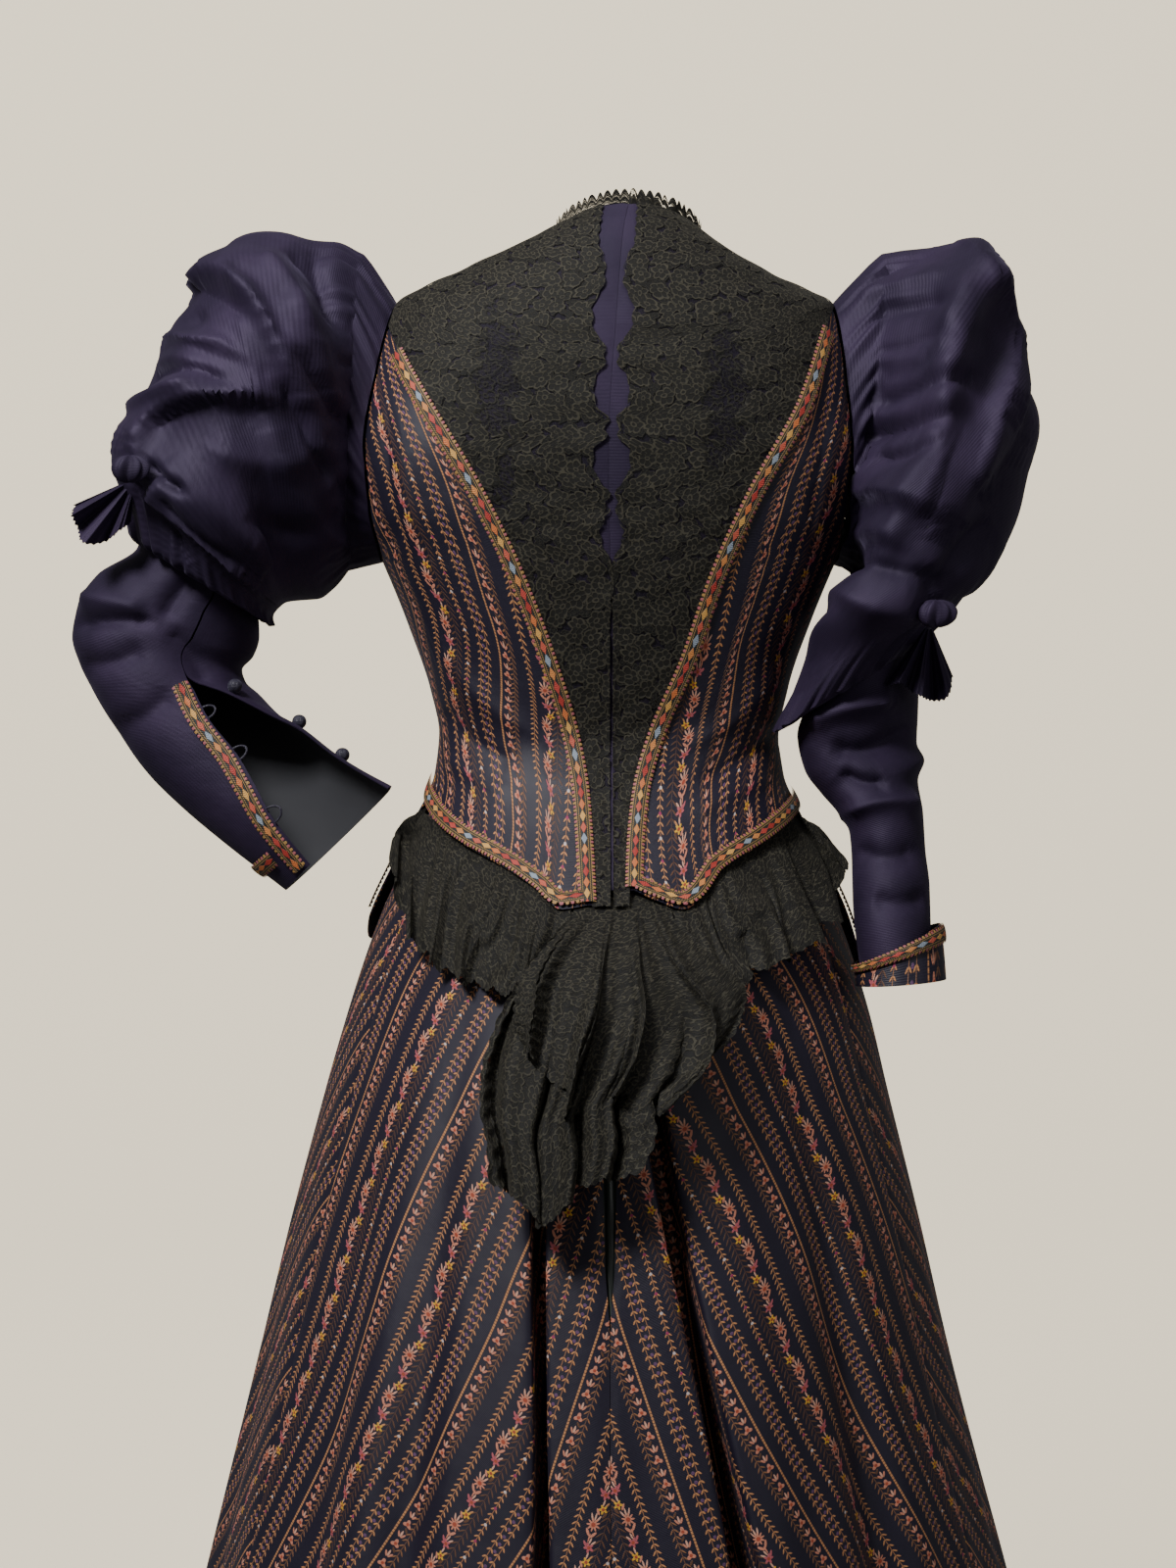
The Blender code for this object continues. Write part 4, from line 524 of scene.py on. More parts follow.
def torso_normal(angle, level):
    across = torso(angle + NORMAL_DEGREES, level) - torso(angle - NORMAL_DEGREES, level)
    down = torso(angle, level + NORMAL_LEVELS) - torso(angle, level - NORMAL_LEVELS)
    return unit(np.cross(down, across))


def evened(path, count):
    """Path of count points evenly spaced along a finer path."""
    steps = np.linalg.norm(np.diff(path, axis=0), axis=1)
    along = np.concatenate([[0], np.cumsum(steps)])
    wanted = np.linspace(0, along[-1], count)
    return np.interp(wanted, along, np.arange(len(path)))


def skirt_value(name, z):
    return looked_up(SKIRT, SKIRT_COLUMNS, "z", name, z)


def skirt_plain(angle, z):
    turn = np.radians(angle)
    backness = np.cos(turn)
    depth = np.where(backness > 0, skirt_value("back", z), skirt_value("front", z))
    x = skirt_value("centre", z) + skirt_value("half", z) * np.sin(turn)
    y = -depth * backness
    return np.stack([x, y, z + 0 * x], axis=-1)


def fold_state(fold, z):
    row = dict(zip(FOLD_COLUMNS, fold))
    picked = []
    for what in ("angle", "width", "depth"):
        values = [row[what + "_top"], row[what + "_mid"], row[what + "_hem"]]
        picked.append(smooth(FOLD_HEIGHTS, values, np.clip(z, FOLD_HEIGHTS[-1], FOLD_HEIGHTS[0])))
    fade = np.clip((FOLD_START - z) / FOLD_FADE, 0.0, 1.0)
    return picked[0], picked[1], picked[2] * fade, row["steep"]


def skirt_depth(angle, z):
    """How far the folds go in at a place on the skirt."""
    total = np.zeros(np.broadcast(angle, z).shape)
    for fold in FOLDS:
        centre, width, depth, steep = fold_state(fold, z)
        for turn in (-360.0, 0.0, 360.0):
            total = total + depth * np.exp(-np.abs((angle + turn - centre) / width) ** steep)
    return total


def skirt(angle, z):
    base = skirt_plain(angle, z)
    middle = np.stack([skirt_value("centre", z) + 0 * angle, 0 * angle, z + 0 * angle], axis=-1)
    inward = (middle - base) * LEVEL
    inward = inward / np.linalg.norm(inward, axis=-1, keepdims=True)
    return base + inward * skirt_depth(angle, z)[..., None]


def gathered_angles(first, last, columns, z):
    """Angles across a gore at one height, closer together where there are folds."""
    fine = np.linspace(first, last, GORE_PLACES)
    need = np.full_like(fine, 1.0)
    for fold in FOLDS:
        centre, width, depth, _ = fold_state(fold, z)
        strength = FOLD_NEED * (depth + FOLD_NEED_LEAST) / width
        for turn in (-360.0, 0.0, 360.0):
            need += strength * np.exp(-((fine + turn - centre) / (FOLD_NEED_REACH * width)) ** 2)
    total = np.concatenate([[0], np.cumsum(0.5 * (need[1:] + need[:-1]))])
    return np.interp(np.linspace(0, total[-1], columns), total, fine)


def slit_half(z):
    return looked_up(SLIT, SLIT_COLUMNS, "z", "half", z)


def section_rings(table, spots, angles, square=2.0):
    """Rings of a sleeve at fractional section numbers; angle 0 is the outer edge, 90 faces the viewer."""
    places = np.arange(len(table))
    value = {}
    for name in SLEEVE_COLUMNS:
        value[name] = smooth(places, column(table, SLEEVE_COLUMNS, name), spots)[:, None]
    outer = np.stack([value["outer_x"], value["outer_y"], value["outer_z"]], axis=-1)
    inner = np.stack([value["inner_x"], value["inner_y"], value["inner_z"]], axis=-1)
    centre = (outer + inner) / 2
    reach = (outer - inner) / 2
    turn = np.radians(np.asarray(angles, dtype=float))
    if turn.ndim == 1:
        turn = turn[None, :]
    power = 2.0 / square
    along = signed_power(np.cos(turn), power)
    side = signed_power(np.sin(turn), power)
    near = value["near"] * np.maximum(side, 0)
    far = value["far"] * np.maximum(-side, 0)
    length = np.sqrt(1 + value["lean"] ** 2)
    shift = np.stack([far * value["lean"] / length, far / length - near, 0 * far], axis=-1)
    return centre + reach * along[..., None] + shift


def armhole_ring(side, angles, lift):
    """Ring along the armhole edge, moved out of the bodice."""
    turn = np.radians(angles)
    middle = 0.5 * (SHOULDER_LEVEL + UNDERARM_LEVEL)
    reach = 0.5 * (UNDERARM_LEVEL - SHOULDER_LEVEL)
    levels = middle - reach * np.cos(turn)
    around = SIDE_SEAM - ARMHOLE_HALF_ANGLE * np.sin(turn)
    ring = torso(side * around, levels)
    return ring + np.array([side * lift, 0, 0])


def puff_folds(folds, angles, spots):
    """Height of the large folds at each place of a puff."""
    total = np.zeros((len(spots), len(angles)))
    wrapped = (np.asarray(angles) + 120.0) % 360.0 - 120.0
    for fold in folds:
        row = dict(zip(PUFF_FOLD_COLUMNS, fold))
        span = row["angle_to"] - row["angle_from"]
        part = np.clip((wrapped - row["angle_from"]) / span, 0, 1)
        line = spread(row["section_from"], row["section_to"], part)
        past_end = np.maximum(0, np.abs(wrapped - row["angle_from"] - span / 2) - abs(span) / 2)
        ends = np.exp(-(past_end / FOLD_END_REACH) ** 2)
        across = np.exp(-((spots[:, None] - line[None, :]) / row["width"]) ** 2)
        total += row["height"] * ends[None, :] * across
    return total


def open_angles(spots, columns):
    braid = looked_up(OPEN_EDGE, OPEN_COLUMNS, "section", "braid_angle", spots)
    button = looked_up(OPEN_EDGE, OPEN_COLUMNS, "section", "button_angle", spots)
    part = np.linspace(0, 1, columns)[None, :]
    return button[:, None] + (braid[:, None] + 360.0 - button[:, None]) * part


def v_line(levels, side):
    """Seam between the plain and the striped back, or the armhole where that comes first."""
    return np.minimum(v_angle(levels, side), outer_angle(levels))


def arc_per_degree(angle, level):
    """Length along the bodice for one degree of angle."""
    return np.linalg.norm(torso(angle + 0.5, level) - torso(angle - 0.5, level), axis=-1)


def yoke_angles(side, levels):
    """Angles of the scalloped edge and of the edge beside the braid."""
    heights = torso_value("z_back", levels)
    heights = np.clip(heights, YOKE_EDGE[-1][0], YOKE_EDGE[0][0])
    half = looked_up(YOKE_EDGE, YOKE_EDGE_COLUMNS, "z", "half", heights)
    first = angle_for(smooth(YOKE_CENTRE_LEVELS, YOKE_CENTRE, levels) + side * half, levels)
    edge = v_line(levels, side)
    on_shoulder, under_it, lower = YOKE_ROOM
    share = np.where(levels < YOKE_LOWER_LEVEL, under_it, lower)
    share = np.where(levels < SHOULDER_LEVEL, on_shoulder, share)
    room = (BRAID_WIDTH / 2 + BRAID_CLEARANCE) * share / arc_per_degree(side * edge, levels)
    last = side * np.maximum(edge - room, np.abs(first) + NARROWEST_YOKE)
    return first, last


def under_left_centre(spot):
    """Middle of the left undersleeve at one section."""
    angles = np.linspace(0, 360, RING_PLACES, endpoint=False)
    return section_rings(UNDER_LEFT, np.array([spot]), angles)[0].mean(axis=0)


def under_left_normal(spot, angle):
    """Point of the left undersleeve and the direction out of it."""
    around = np.array([-1.0, 0.0, 1.0])
    spots = spot + PATCH_SECTIONS * around
    angles = angle + PATCH_DEGREES * around
    patch = section_rings(UNDER_LEFT, spots, np.repeat(angles[None, :], 3, axis=0))
    normal = unit(np.cross(patch[1, 2] - patch[1, 0], patch[2, 1] - patch[0, 1]))
    facing = np.dot(normal, patch[1, 1] - under_left_centre(spot))
    return patch[1, 1], normal * np.sign(facing)


def off_skirt(x, z, lift):
    """Points over the plain skirt at a sideways place and height, moved out."""
    share = (x - skirt_value("centre", z)) / skirt_value("half", z)
    share = np.clip(share, -WIDEST_SHARE, WIDEST_SHARE)
    base = skirt_plain(np.degrees(np.arcsin(share)), z)
    return base + unit((base - BODY_CENTRE) * LEVEL) * lift[:, None]


class Shade:
    """Short way to write a material's sums as nodes."""

    def __init__(self, name):
        self.material = bpy.data.materials.new(name)
        self.material.use_nodes = True
        self.nodes = self.material.node_tree.nodes
        self.links = self.material.node_tree.links
        self.shader = self.nodes["Principled BSDF"]

    def put(self, socket, value):
        if isinstance(value, bpy.types.NodeSocket):
            self.links.new(value, socket)
        elif isinstance(value, tuple) and len(socket.default_value) == 4 and len(value) == 3:
            socket.default_value = (*value, 1.0)
        else:
            socket.default_value = value

    def sum(self, kind, *values, clamp=False):
        node = self.nodes.new("ShaderNodeMath")
        node.operation = kind
        node.use_clamp = clamp
        for socket, value in zip(node.inputs, values):
            self.put(socket, value)
        return node.outputs[0]

    def add(self, a, b):
        return self.sum("ADD", a, b)

    def take(self, a, b):
        return self.sum("SUBTRACT", a, b)

    def times(self, a, b):
        return self.sum("MULTIPLY", a, b)

    def size(self, a):
        return self.sum("ABSOLUTE", a)

    def most(self, a, b):
        return self.sum("MAXIMUM", a, b)

    def least(self, a, b):
        return self.sum("MINIMUM", a, b)

    def wave(self, a):
        return self.sum("SINE", a)

    def cell(self, a, length):
        """Place within a repeat, from minus half to plus half of its length."""
        share = self.sum("FRACT", self.times(a, 1.0 / length))
        return self.times(self.take(share, 0.5), length)

    def number(self, a, length):
        return self.sum("FLOOR", self.times(a, 1.0 / length))

    def edge(self, a, low, high):
        """0 at low, 1 at high, soft between."""
        node = self.nodes.new("ShaderNodeMapRange")
        node.interpolation_type = "SMOOTHSTEP"
        node.clamp = True
        self.put(node.inputs["Value"], a)
        node.inputs["From Min"].default_value = low
        node.inputs["From Max"].default_value = high
        return node.outputs["Result"]

    def mix(self, share, a, b):
        node = self.nodes.new("ShaderNodeMix")
        node.data_type = "RGBA"
        self.put(node.inputs[0], share)
        self.put(node.inputs[6], a)
        self.put(node.inputs[7], b)
        return node.outputs[2]

    def shade(self, colour, amount):
        """Colour times a number."""
        node = self.nodes.new("ShaderNodeMix")
        node.data_type = "RGBA"
        node.blend_type = "MULTIPLY"
        node.inputs[0].default_value = 1.0
        self.put(node.inputs[6], colour)
        join = self.nodes.new("ShaderNodeCombineColor")
        for socket in join.inputs[:3]:
            self.put(socket, amount)
        self.put(node.inputs[7], join.outputs[0])
        return node.outputs[2]

    def place(self, name="Cloth"):
        """The two flat coordinates of the cloth, in metres."""
        here = self.nodes.new("ShaderNodeUVMap")
        here.uv_map = name
        split = self.nodes.new("ShaderNodeSeparateXYZ")
        self.links.new(here.outputs[0], split.inputs[0])
        return here.outputs[0], split.outputs[0], split.outputs[1]

    def noise(self, vector, scale, detail=2.0, rough=0.5, stretch=None):
        node = self.nodes.new("ShaderNodeTexNoise")
        if stretch:
            turn = self.nodes.new("ShaderNodeMapping")
            turn.inputs["Scale"].default_value = stretch
            self.put(turn.inputs[0], vector)
            vector = turn.outputs[0]
        self.put(node.inputs["Vector"], vector)
        node.inputs["Scale"].default_value = scale
        node.inputs["Detail"].default_value = detail
        node.inputs["Roughness"].default_value = rough
        return node.outputs[0]

    def spots(self, vector, scale, feature="F1", spread=1.0):
        node = self.nodes.new("ShaderNodeTexVoronoi")
        node.feature = feature
        self.put(node.inputs["Vector"], vector)
        node.inputs["Scale"].default_value = scale
        node.inputs["Randomness"].default_value = spread
        return node.outputs["Distance"]

    def room(self):
        return self.nodes.new("ShaderNodeTexCoord").outputs["Object"]

    def bump(self, height, distance, strength=1.0, before=None):
        node = self.nodes.new("ShaderNodeBump")
        node.inputs["Strength"].default_value = strength
        node.inputs["Distance"].default_value = distance
        self.put(node.inputs["Height"], height)
        if before is not None:
            self.links.new(before, node.inputs["Normal"])
        return node.outputs[0]

    def finish(self, colour, rough, normal=None, sheen=0.0, sheen_tint=(1, 1, 1), sheen_rough=0.4, alpha=None,
               specular=0.5):
        self.put(self.shader.inputs["Base Color"], colour)
        self.put(self.shader.inputs["Roughness"], rough)
        self.shader.inputs["Sheen Weight"].default_value = sheen
        self.shader.inputs["Sheen Tint"].default_value = (*sheen_tint, 1.0)
        self.shader.inputs["Sheen Roughness"].default_value = sheen_rough
        self.shader.inputs["Specular IOR Level"].default_value = specular
        if normal is not None:
            self.links.new(normal, self.shader.inputs["Normal"])
        if alpha is not None:
            self.put(self.shader.inputs["Alpha"], alpha)
        return self.material


# Plain silk: a fine crosswise rib with a soft sheen
SILK_COLOUR = (0.0115, 0.0075, 0.0205)
SILK_LIGHT = (0.0245, 0.0155, 0.0380)
RIB = 0.0011


def silk_material():
    s = Shade("ribbed_silk")
    vector, u, v = s.place()
    uneven = s.noise(vector, 900.0, 2.0, 0.6, (1.0, 0.12, 1.0))
    rib = s.wave(s.times(s.add(v, s.times(uneven, 0.00035)), 2 * math.pi / RIB))
    slub = s.noise(vector, 60.0, 3.0, 0.6, (0.25, 4.0, 1.0))
    cloud = s.noise(s.room(), 14.0, 3.0, 0.55)
    colour = s.mix(s.edge(cloud, 0.35, 0.70), SILK_COLOUR, SILK_LIGHT)
    colour = s.shade(colour, s.add(0.86, s.times(slub, 0.28)))
    rough = s.add(0.58, s.times(slub, 0.12))
    s.shader.inputs["Specular Tint"].default_value = (0.82, 0.70, 1.0, 1.0)
    normal = s.bump(rib, 0.00010, 0.55)
    normal = s.bump(s.noise(vector, 55.0, 3.0, 0.55), 0.0016, 0.35, normal)
    return s.finish(colour, rough, normal, 0.06, (0.72, 0.60, 1.0), 0.35, specular=0.38)


def lining_material():
    s = Shade("dark_cotton_lining")
    vector, u, v = s.place()
    weave = s.times(s.wave(s.times(u, 2 * math.pi / 0.0009)), s.wave(s.times(v, 2 * math.pi / 0.0009)))
    cloud = s.noise(s.room(), 20.0, 3.0)
    colour = s.mix(cloud, (0.022, 0.023, 0.028), (0.040, 0.040, 0.046))
    return s.finish(colour, 0.8, s.bump(weave, 0.00015, 0.5), 0.05)


def placket_material():
    s = Shade("placket_satin")
    vector, u, v = s.place()
    folds = s.noise(vector, 60.0, 2.0, 0.5, (2.5, 0.12, 1.0))
    # Painted shade and sheen: the satin's colour follows the fold height, darker in the hollows of the folds
    # and lighter on their crests
    colour = s.mix(s.edge(folds, 0.42, 0.62), (0.010, 0.014, 0.012), (0.055, 0.070, 0.055))
    return s.finish(colour, 0.42, s.bump(folds, 0.004, 0.8), 0.05)


# Brocade: dark ground with rows of small woven flowers. Places across one repeat and lengths, in metres
REPEAT = 0.080
VINE_AT = 0.0135
OLIVE_AT = -0.0050
ROSE_VINE_AT = 0.0285
ROSE_AT = 0.0338
ROPE_AT = 0.0392
CHAIN_AT = 0.0525
GARLAND_LENGTH = 0.0350
VINE_LENGTH = 0.0046
OLIVE_LENGTH = 0.0050
ROSE_LENGTH = 0.0160
CHAIN_LENGTH = 0.0062
ROPE_LENGTH = 0.0022
GOLD = (0.500, 0.225, 0.090)
OLIVE = (0.110, 0.048, 0.024)
SALMON = (0.560, 0.215, 0.135)
BLUSH = (0.620, 0.340, 0.240)
PINK = (0.430, 0.100, 0.115)
YELLOW = (0.680, 0.370, 0.030)
MAGENTA = (0.300, 0.030, 0.100)
PURPLE = (0.110, 0.050, 0.120)
PALE = (0.560, 0.480, 0.470)
RUST = (0.330, 0.060, 0.030)
GROUND = (0.0085, 0.0068, 0.0165)
GROUND_LIGHT = (0.0145, 0.0115, 0.0270)
# Flowers: place across and along, size, petals and colour
GARLAND_BLOSSOMS = (
    (0.0030, 0.0000, 0.0046, 9, SALMON),
    (0.0012, 0.0148, 0.0036, 5, PINK),
    (0.0000, 0.0240, 0.0033, 5, YELLOW),
)
ROSE_BLOSSOMS = ((0.0000, 0.0000, 0.0034, 3, SALMON),)
# Leaves and long petals: place across and along, direction in degrees, half length, half width and colour
GARLAND_SPRAYS = (
    (0.0030, -0.0052, 90.0, 0.0026, 0.0006, BLUSH),
    (0.0008, -0.0046, 66.0, 0.0025, 0.0006, BLUSH),
    (0.0052, -0.0046, 114.0, 0.0025, 0.0006, BLUSH),
    (0.0050, 0.0056, 125.0, 0.0027, 0.0009, SALMON),
    (0.0010, 0.0062, 55.0, 0.0027, 0.0009, SALMON),
    (0.0030, 0.0088, 90.0, 0.0028, 0.0005, SALMON),
    (0.0016, 0.0104, 80.0, 0.0022, 0.0006, BLUSH),
    (-0.0006, 0.0112, 55.0, 0.0021, 0.0006, BLUSH),
    (0.0044, 0.0130, 130.0, 0.0021, 0.0008, PINK),
    (0.0006, 0.0198, 86.0, 0.0022, 0.0006, BLUSH),
    (-0.0018, 0.0206, 60.0, 0.0020, 0.0006, GOLD),
    (0.0026, 0.0262, 125.0, 0.0023, 0.0008, SALMON),
    (-0.0022, 0.0276, 60.0, 0.0022, 0.0008, OLIVE),
)
ROSE_SPRAYS = (
    (0.0000, 0.0080, 90.0, 0.0024, 0.0007, BLUSH),
    (-0.0016, 0.0090, 60.0, 0.0021, 0.0007, SALMON),
    (0.0016, 0.0090, 120.0, 0.0021, 0.0007, SALMON),
    (-0.0014, 0.0044, 130.0, 0.0020, 0.0008, OLIVE),
)


def leaf_row(s, across, along, length, lean, reach, thin):
    """Pairs of leaves along a stem: 1 on a leaf or the stem."""
    beside = s.size(across)
    share = s.times(beside, 1.0 / reach)
    place = s.size(s.cell(s.take(along, s.times(beside, lean)), length))
    width = s.times(s.times(share, s.take(1.0, share)), 4.0 * thin)
    leaf = s.edge(s.take(width, place), -0.00008, 0.00022)
    return s.most(leaf, s.times(s.edge(beside, 0.00040, 0.00015), 0.6))


def dot(s, across, along, size):
    far = s.sum("SQRT", s.add(s.times(across, across), s.times(along, along)))
    return s.edge(far, size, size * 0.75)


def blossom(s, across, along, size, petals):
    """Share of a small flower and of its heart."""
    far = s.sum("SQRT", s.add(s.times(across, across), s.times(along, along)))
    turn = s.sum("ARCTAN2", along, across)
    rim = s.add(0.74, s.times(s.wave(s.times(turn, float(petals))), 0.26))
    rim = s.times(rim, size)
    return s.edge(s.take(rim, far), -0.0001, 0.0004), s.edge(far, size * 0.42, size * 0.24)


def spray(s, across, along, direction, long, wide):
    turn = math.radians(direction)
    first = s.add(s.times(across, math.cos(turn) / long), s.times(along, math.sin(turn) / long))
    second = s.add(s.times(across, -math.sin(turn) / wide), s.times(along, math.cos(turn) / wide))
    return s.edge(s.add(s.times(first, first), s.times(second, second)), 1.25, 0.7)


def shifted(s, along, place, length):
    """Place along the cloth measured from one motif of a repeat."""
    return s.cell(s.add(along, 0.5 * length - place), length)


def motifs(s, colour, raised, across, along, length, blossoms, sprays):
    """Flowers and leaves of one row of motifs, laid over the colour."""
    for place, where, direction, long, wide, tint in sprays:
        leaf = spray(s, s.take(across, place), shifted(s, along, where, length), direction, long, wide)
        colour = s.mix(leaf, colour, tint)
        raised = s.most(raised, leaf)
    for place, where, size, petals, tint in blossoms:
        head, heart = blossom(s, s.take(across, place), shifted(s, along, where, length), size, petals)
        colour = s.mix(head, colour, tint)
        colour = s.mix(heart, colour, RUST)
        raised = s.most(raised, head)
    return colour, raised


def brocade_material():
    s = Shade("striped_brocade_cloth")
    vector, across_all, along = s.place()
    garland, vine_side, olive_side, rose_vine, rose_side, rope_side, chain_side = (
        s.cell(s.add(across_all, 0.5 * REPEAT - at), REPEAT)
        for at in (0.0, VINE_AT, OLIVE_AT, ROSE_VINE_AT, ROSE_AT, ROPE_AT, CHAIN_AT))
    bead_side = s.cell(s.add(across_all, 0.5 * REPEAT + VINE_AT), REPEAT)
    weave = s.noise(vector, 1500.0, 1.0, 0.5, (0.3, 1.0, 1.0))
    thread = s.add(0.66, s.times(weave, 0.68))
    colour = s.mix(s.noise(s.room(), 9.0, 2.0, 0.5), GROUND, GROUND_LIGHT)
    # vines on both sides of the garland, one of them with beads
    vine = leaf_row(s, vine_side, along, VINE_LENGTH, 0.9, 0.0031, 0.00085)
    beaded = leaf_row(s, bead_side, along, VINE_LENGTH, 0.9, 0.0026, 0.00080)
    colour = s.mix(s.most(vine, beaded), colour, GOLD)
    bead = dot(s, bead_side, s.cell(along, VINE_LENGTH * 3), 0.0012)
    bead_tone = s.mix(s.edge(s.cell(along, VINE_LENGTH * 6), -0.0001, 0.0001), MAGENTA, PALE)
    colour = s.mix(bead, colour, bead_tone)
    # garland of leaves and flowers
    olive = leaf_row(s, olive_side, along, OLIVE_LENGTH, 1.1, 0.0044, 0.00085)
    colour = s.mix(olive, colour, OLIVE)
    raised = s.most(s.most(vine, beaded), s.most(bead, s.times(olive, 0.5)))
    colour, raised = motifs(s, colour, raised, garland, along,
                            GARLAND_LENGTH, GARLAND_BLOSSOMS, GARLAND_SPRAYS)
    # row of roses between a leaf vine and a thin rope line
    brown = leaf_row(s, rose_vine, along, VINE_LENGTH, 1.0, 0.0032, 0.00080)
    colour = s.mix(brown, colour, s.mix(0.35, OLIVE, GOLD))
    raised = s.most(raised, brown)
    colour, raised = motifs(s, colour, raised, rose_side, along, ROSE_LENGTH, ROSE_BLOSSOMS, ROSE_SPRAYS)
    rope_line = s.edge(s.size(rope_side), 0.0009, 0.0005)
    rope_links = s.edge(s.size(s.cell(along, ROPE_LENGTH)), 0.0011, 0.0007)
    rope = s.times(rope_line, rope_links)
    colour = s.mix(rope, colour, GOLD)
    # double chain of leaves with small beads between
    twin_side = s.take(s.size(chain_side), 0.0030)
    twin = leaf_row(s, twin_side, along, CHAIN_LENGTH, 0.9, 0.0026, 0.00095)
    ring = dot(s, chain_side, s.cell(along, CHAIN_LENGTH), 0.0014)
    colour = s.mix(twin, colour, GOLD)
    colour = s.mix(ring, colour, PURPLE)
    raised = s.most(raised, s.most(rope, s.most(twin, ring)))
    colour = s.shade(colour, thread)
    normal = s.bump(s.wave(s.times(along, 2 * math.pi / 0.0010)), 0.00008, 0.45)
    normal = s.bump(raised, 0.00030, 0.6, normal)
    normal = s.bump(s.noise(vector, 40.0, 3.0, 0.55), 0.0016, 0.35, normal)
    rough = s.add(0.50, s.times(raised, 0.14))
    return s.finish(colour, rough, normal, 0.04, (0.7, 0.7, 0.9), 0.4, specular=0.36)


# Lace: dark net with flowers outlined by raised cords
LACE_COLOUR = (0.0045, 0.0042, 0.0040)
# Lighter colour painted on the raised cords as a highlight
LACE_CORD_HIGHLIGHT = (0.0500, 0.0450, 0.0310)
LACE_FLOWER = 0.0130
NET = 0.0016
PETALS = 6.0
# Patches of the yoke with net alone: place across and height, and half sizes
NET_PATCHES = ((-0.083, -0.098, 0.017, 0.048), (0.077, -0.112, 0.016, 0.052), (-0.078, -0.175, 0.008, 0.020))


def lace_flowers(s, vector, size, petals, spread):
    """Heights of the cords and the filling of round flowers, and how far each place is from a flower."""
    node = s.nodes.new("ShaderNodeTexVoronoi")
    node.voronoi_dimensions = "2D"
    s.put(node.inputs["Vector"], vector)
    node.inputs["Scale"].default_value = 1.0 / size
    node.inputs["Randomness"].default_value = spread
    apart = s.nodes.new("ShaderNodeVectorMath")
    apart.operation = "SUBTRACT"
    s.put(apart.inputs[0], vector)
    s.links.new(node.outputs["Position"], apart.inputs[1])
    away = s.nodes.new("ShaderNodeVectorMath")
    away.operation = "SCALE"
    s.links.new(apart.outputs[0], away.inputs[0])
    away.inputs["Scale"].default_value = 1.0 / size
    split = s.nodes.new("ShaderNodeSeparateXYZ")
    s.links.new(away.outputs[0], split.inputs[0])
    flower_x, flower_y = split.outputs[0], split.outputs[1]
    far = s.sum("SQRT", s.add(s.times(flower_x, flower_x), s.times(flower_y, flower_y)))
    turn = s.sum("ARCTAN2", flower_y, flower_x)
    own = s.nodes.new("ShaderNodeSeparateColor")
    s.links.new(node.outputs["Color"], own.inputs[0])
    turn = s.add(turn, s.times(own.outputs[0], 6.0))
    rim = s.add(0.37, s.times(s.size(s.wave(s.times(turn, 0.5 * petals))), 0.13))
    heart = s.edge(s.size(s.take(far, 0.12)), 0.050, 0.020)
    cord = s.edge(s.size(s.take(far, rim)), 0.066, 0.026)
    petal_line = s.edge(s.size(s.wave(s.times(turn, 0.5 * petals))), 0.30, 0.08)
    spoke = s.times(petal_line, s.edge(s.take(rim, far), 0.0, 0.05))
    spoke = s.times(spoke, s.edge(far, 0.13, 0.18))
    inside = s.edge(s.take(rim, far), -0.01, 0.01)
    return s.most(s.most(cord, heart), s.times(spoke, 0.75)), inside


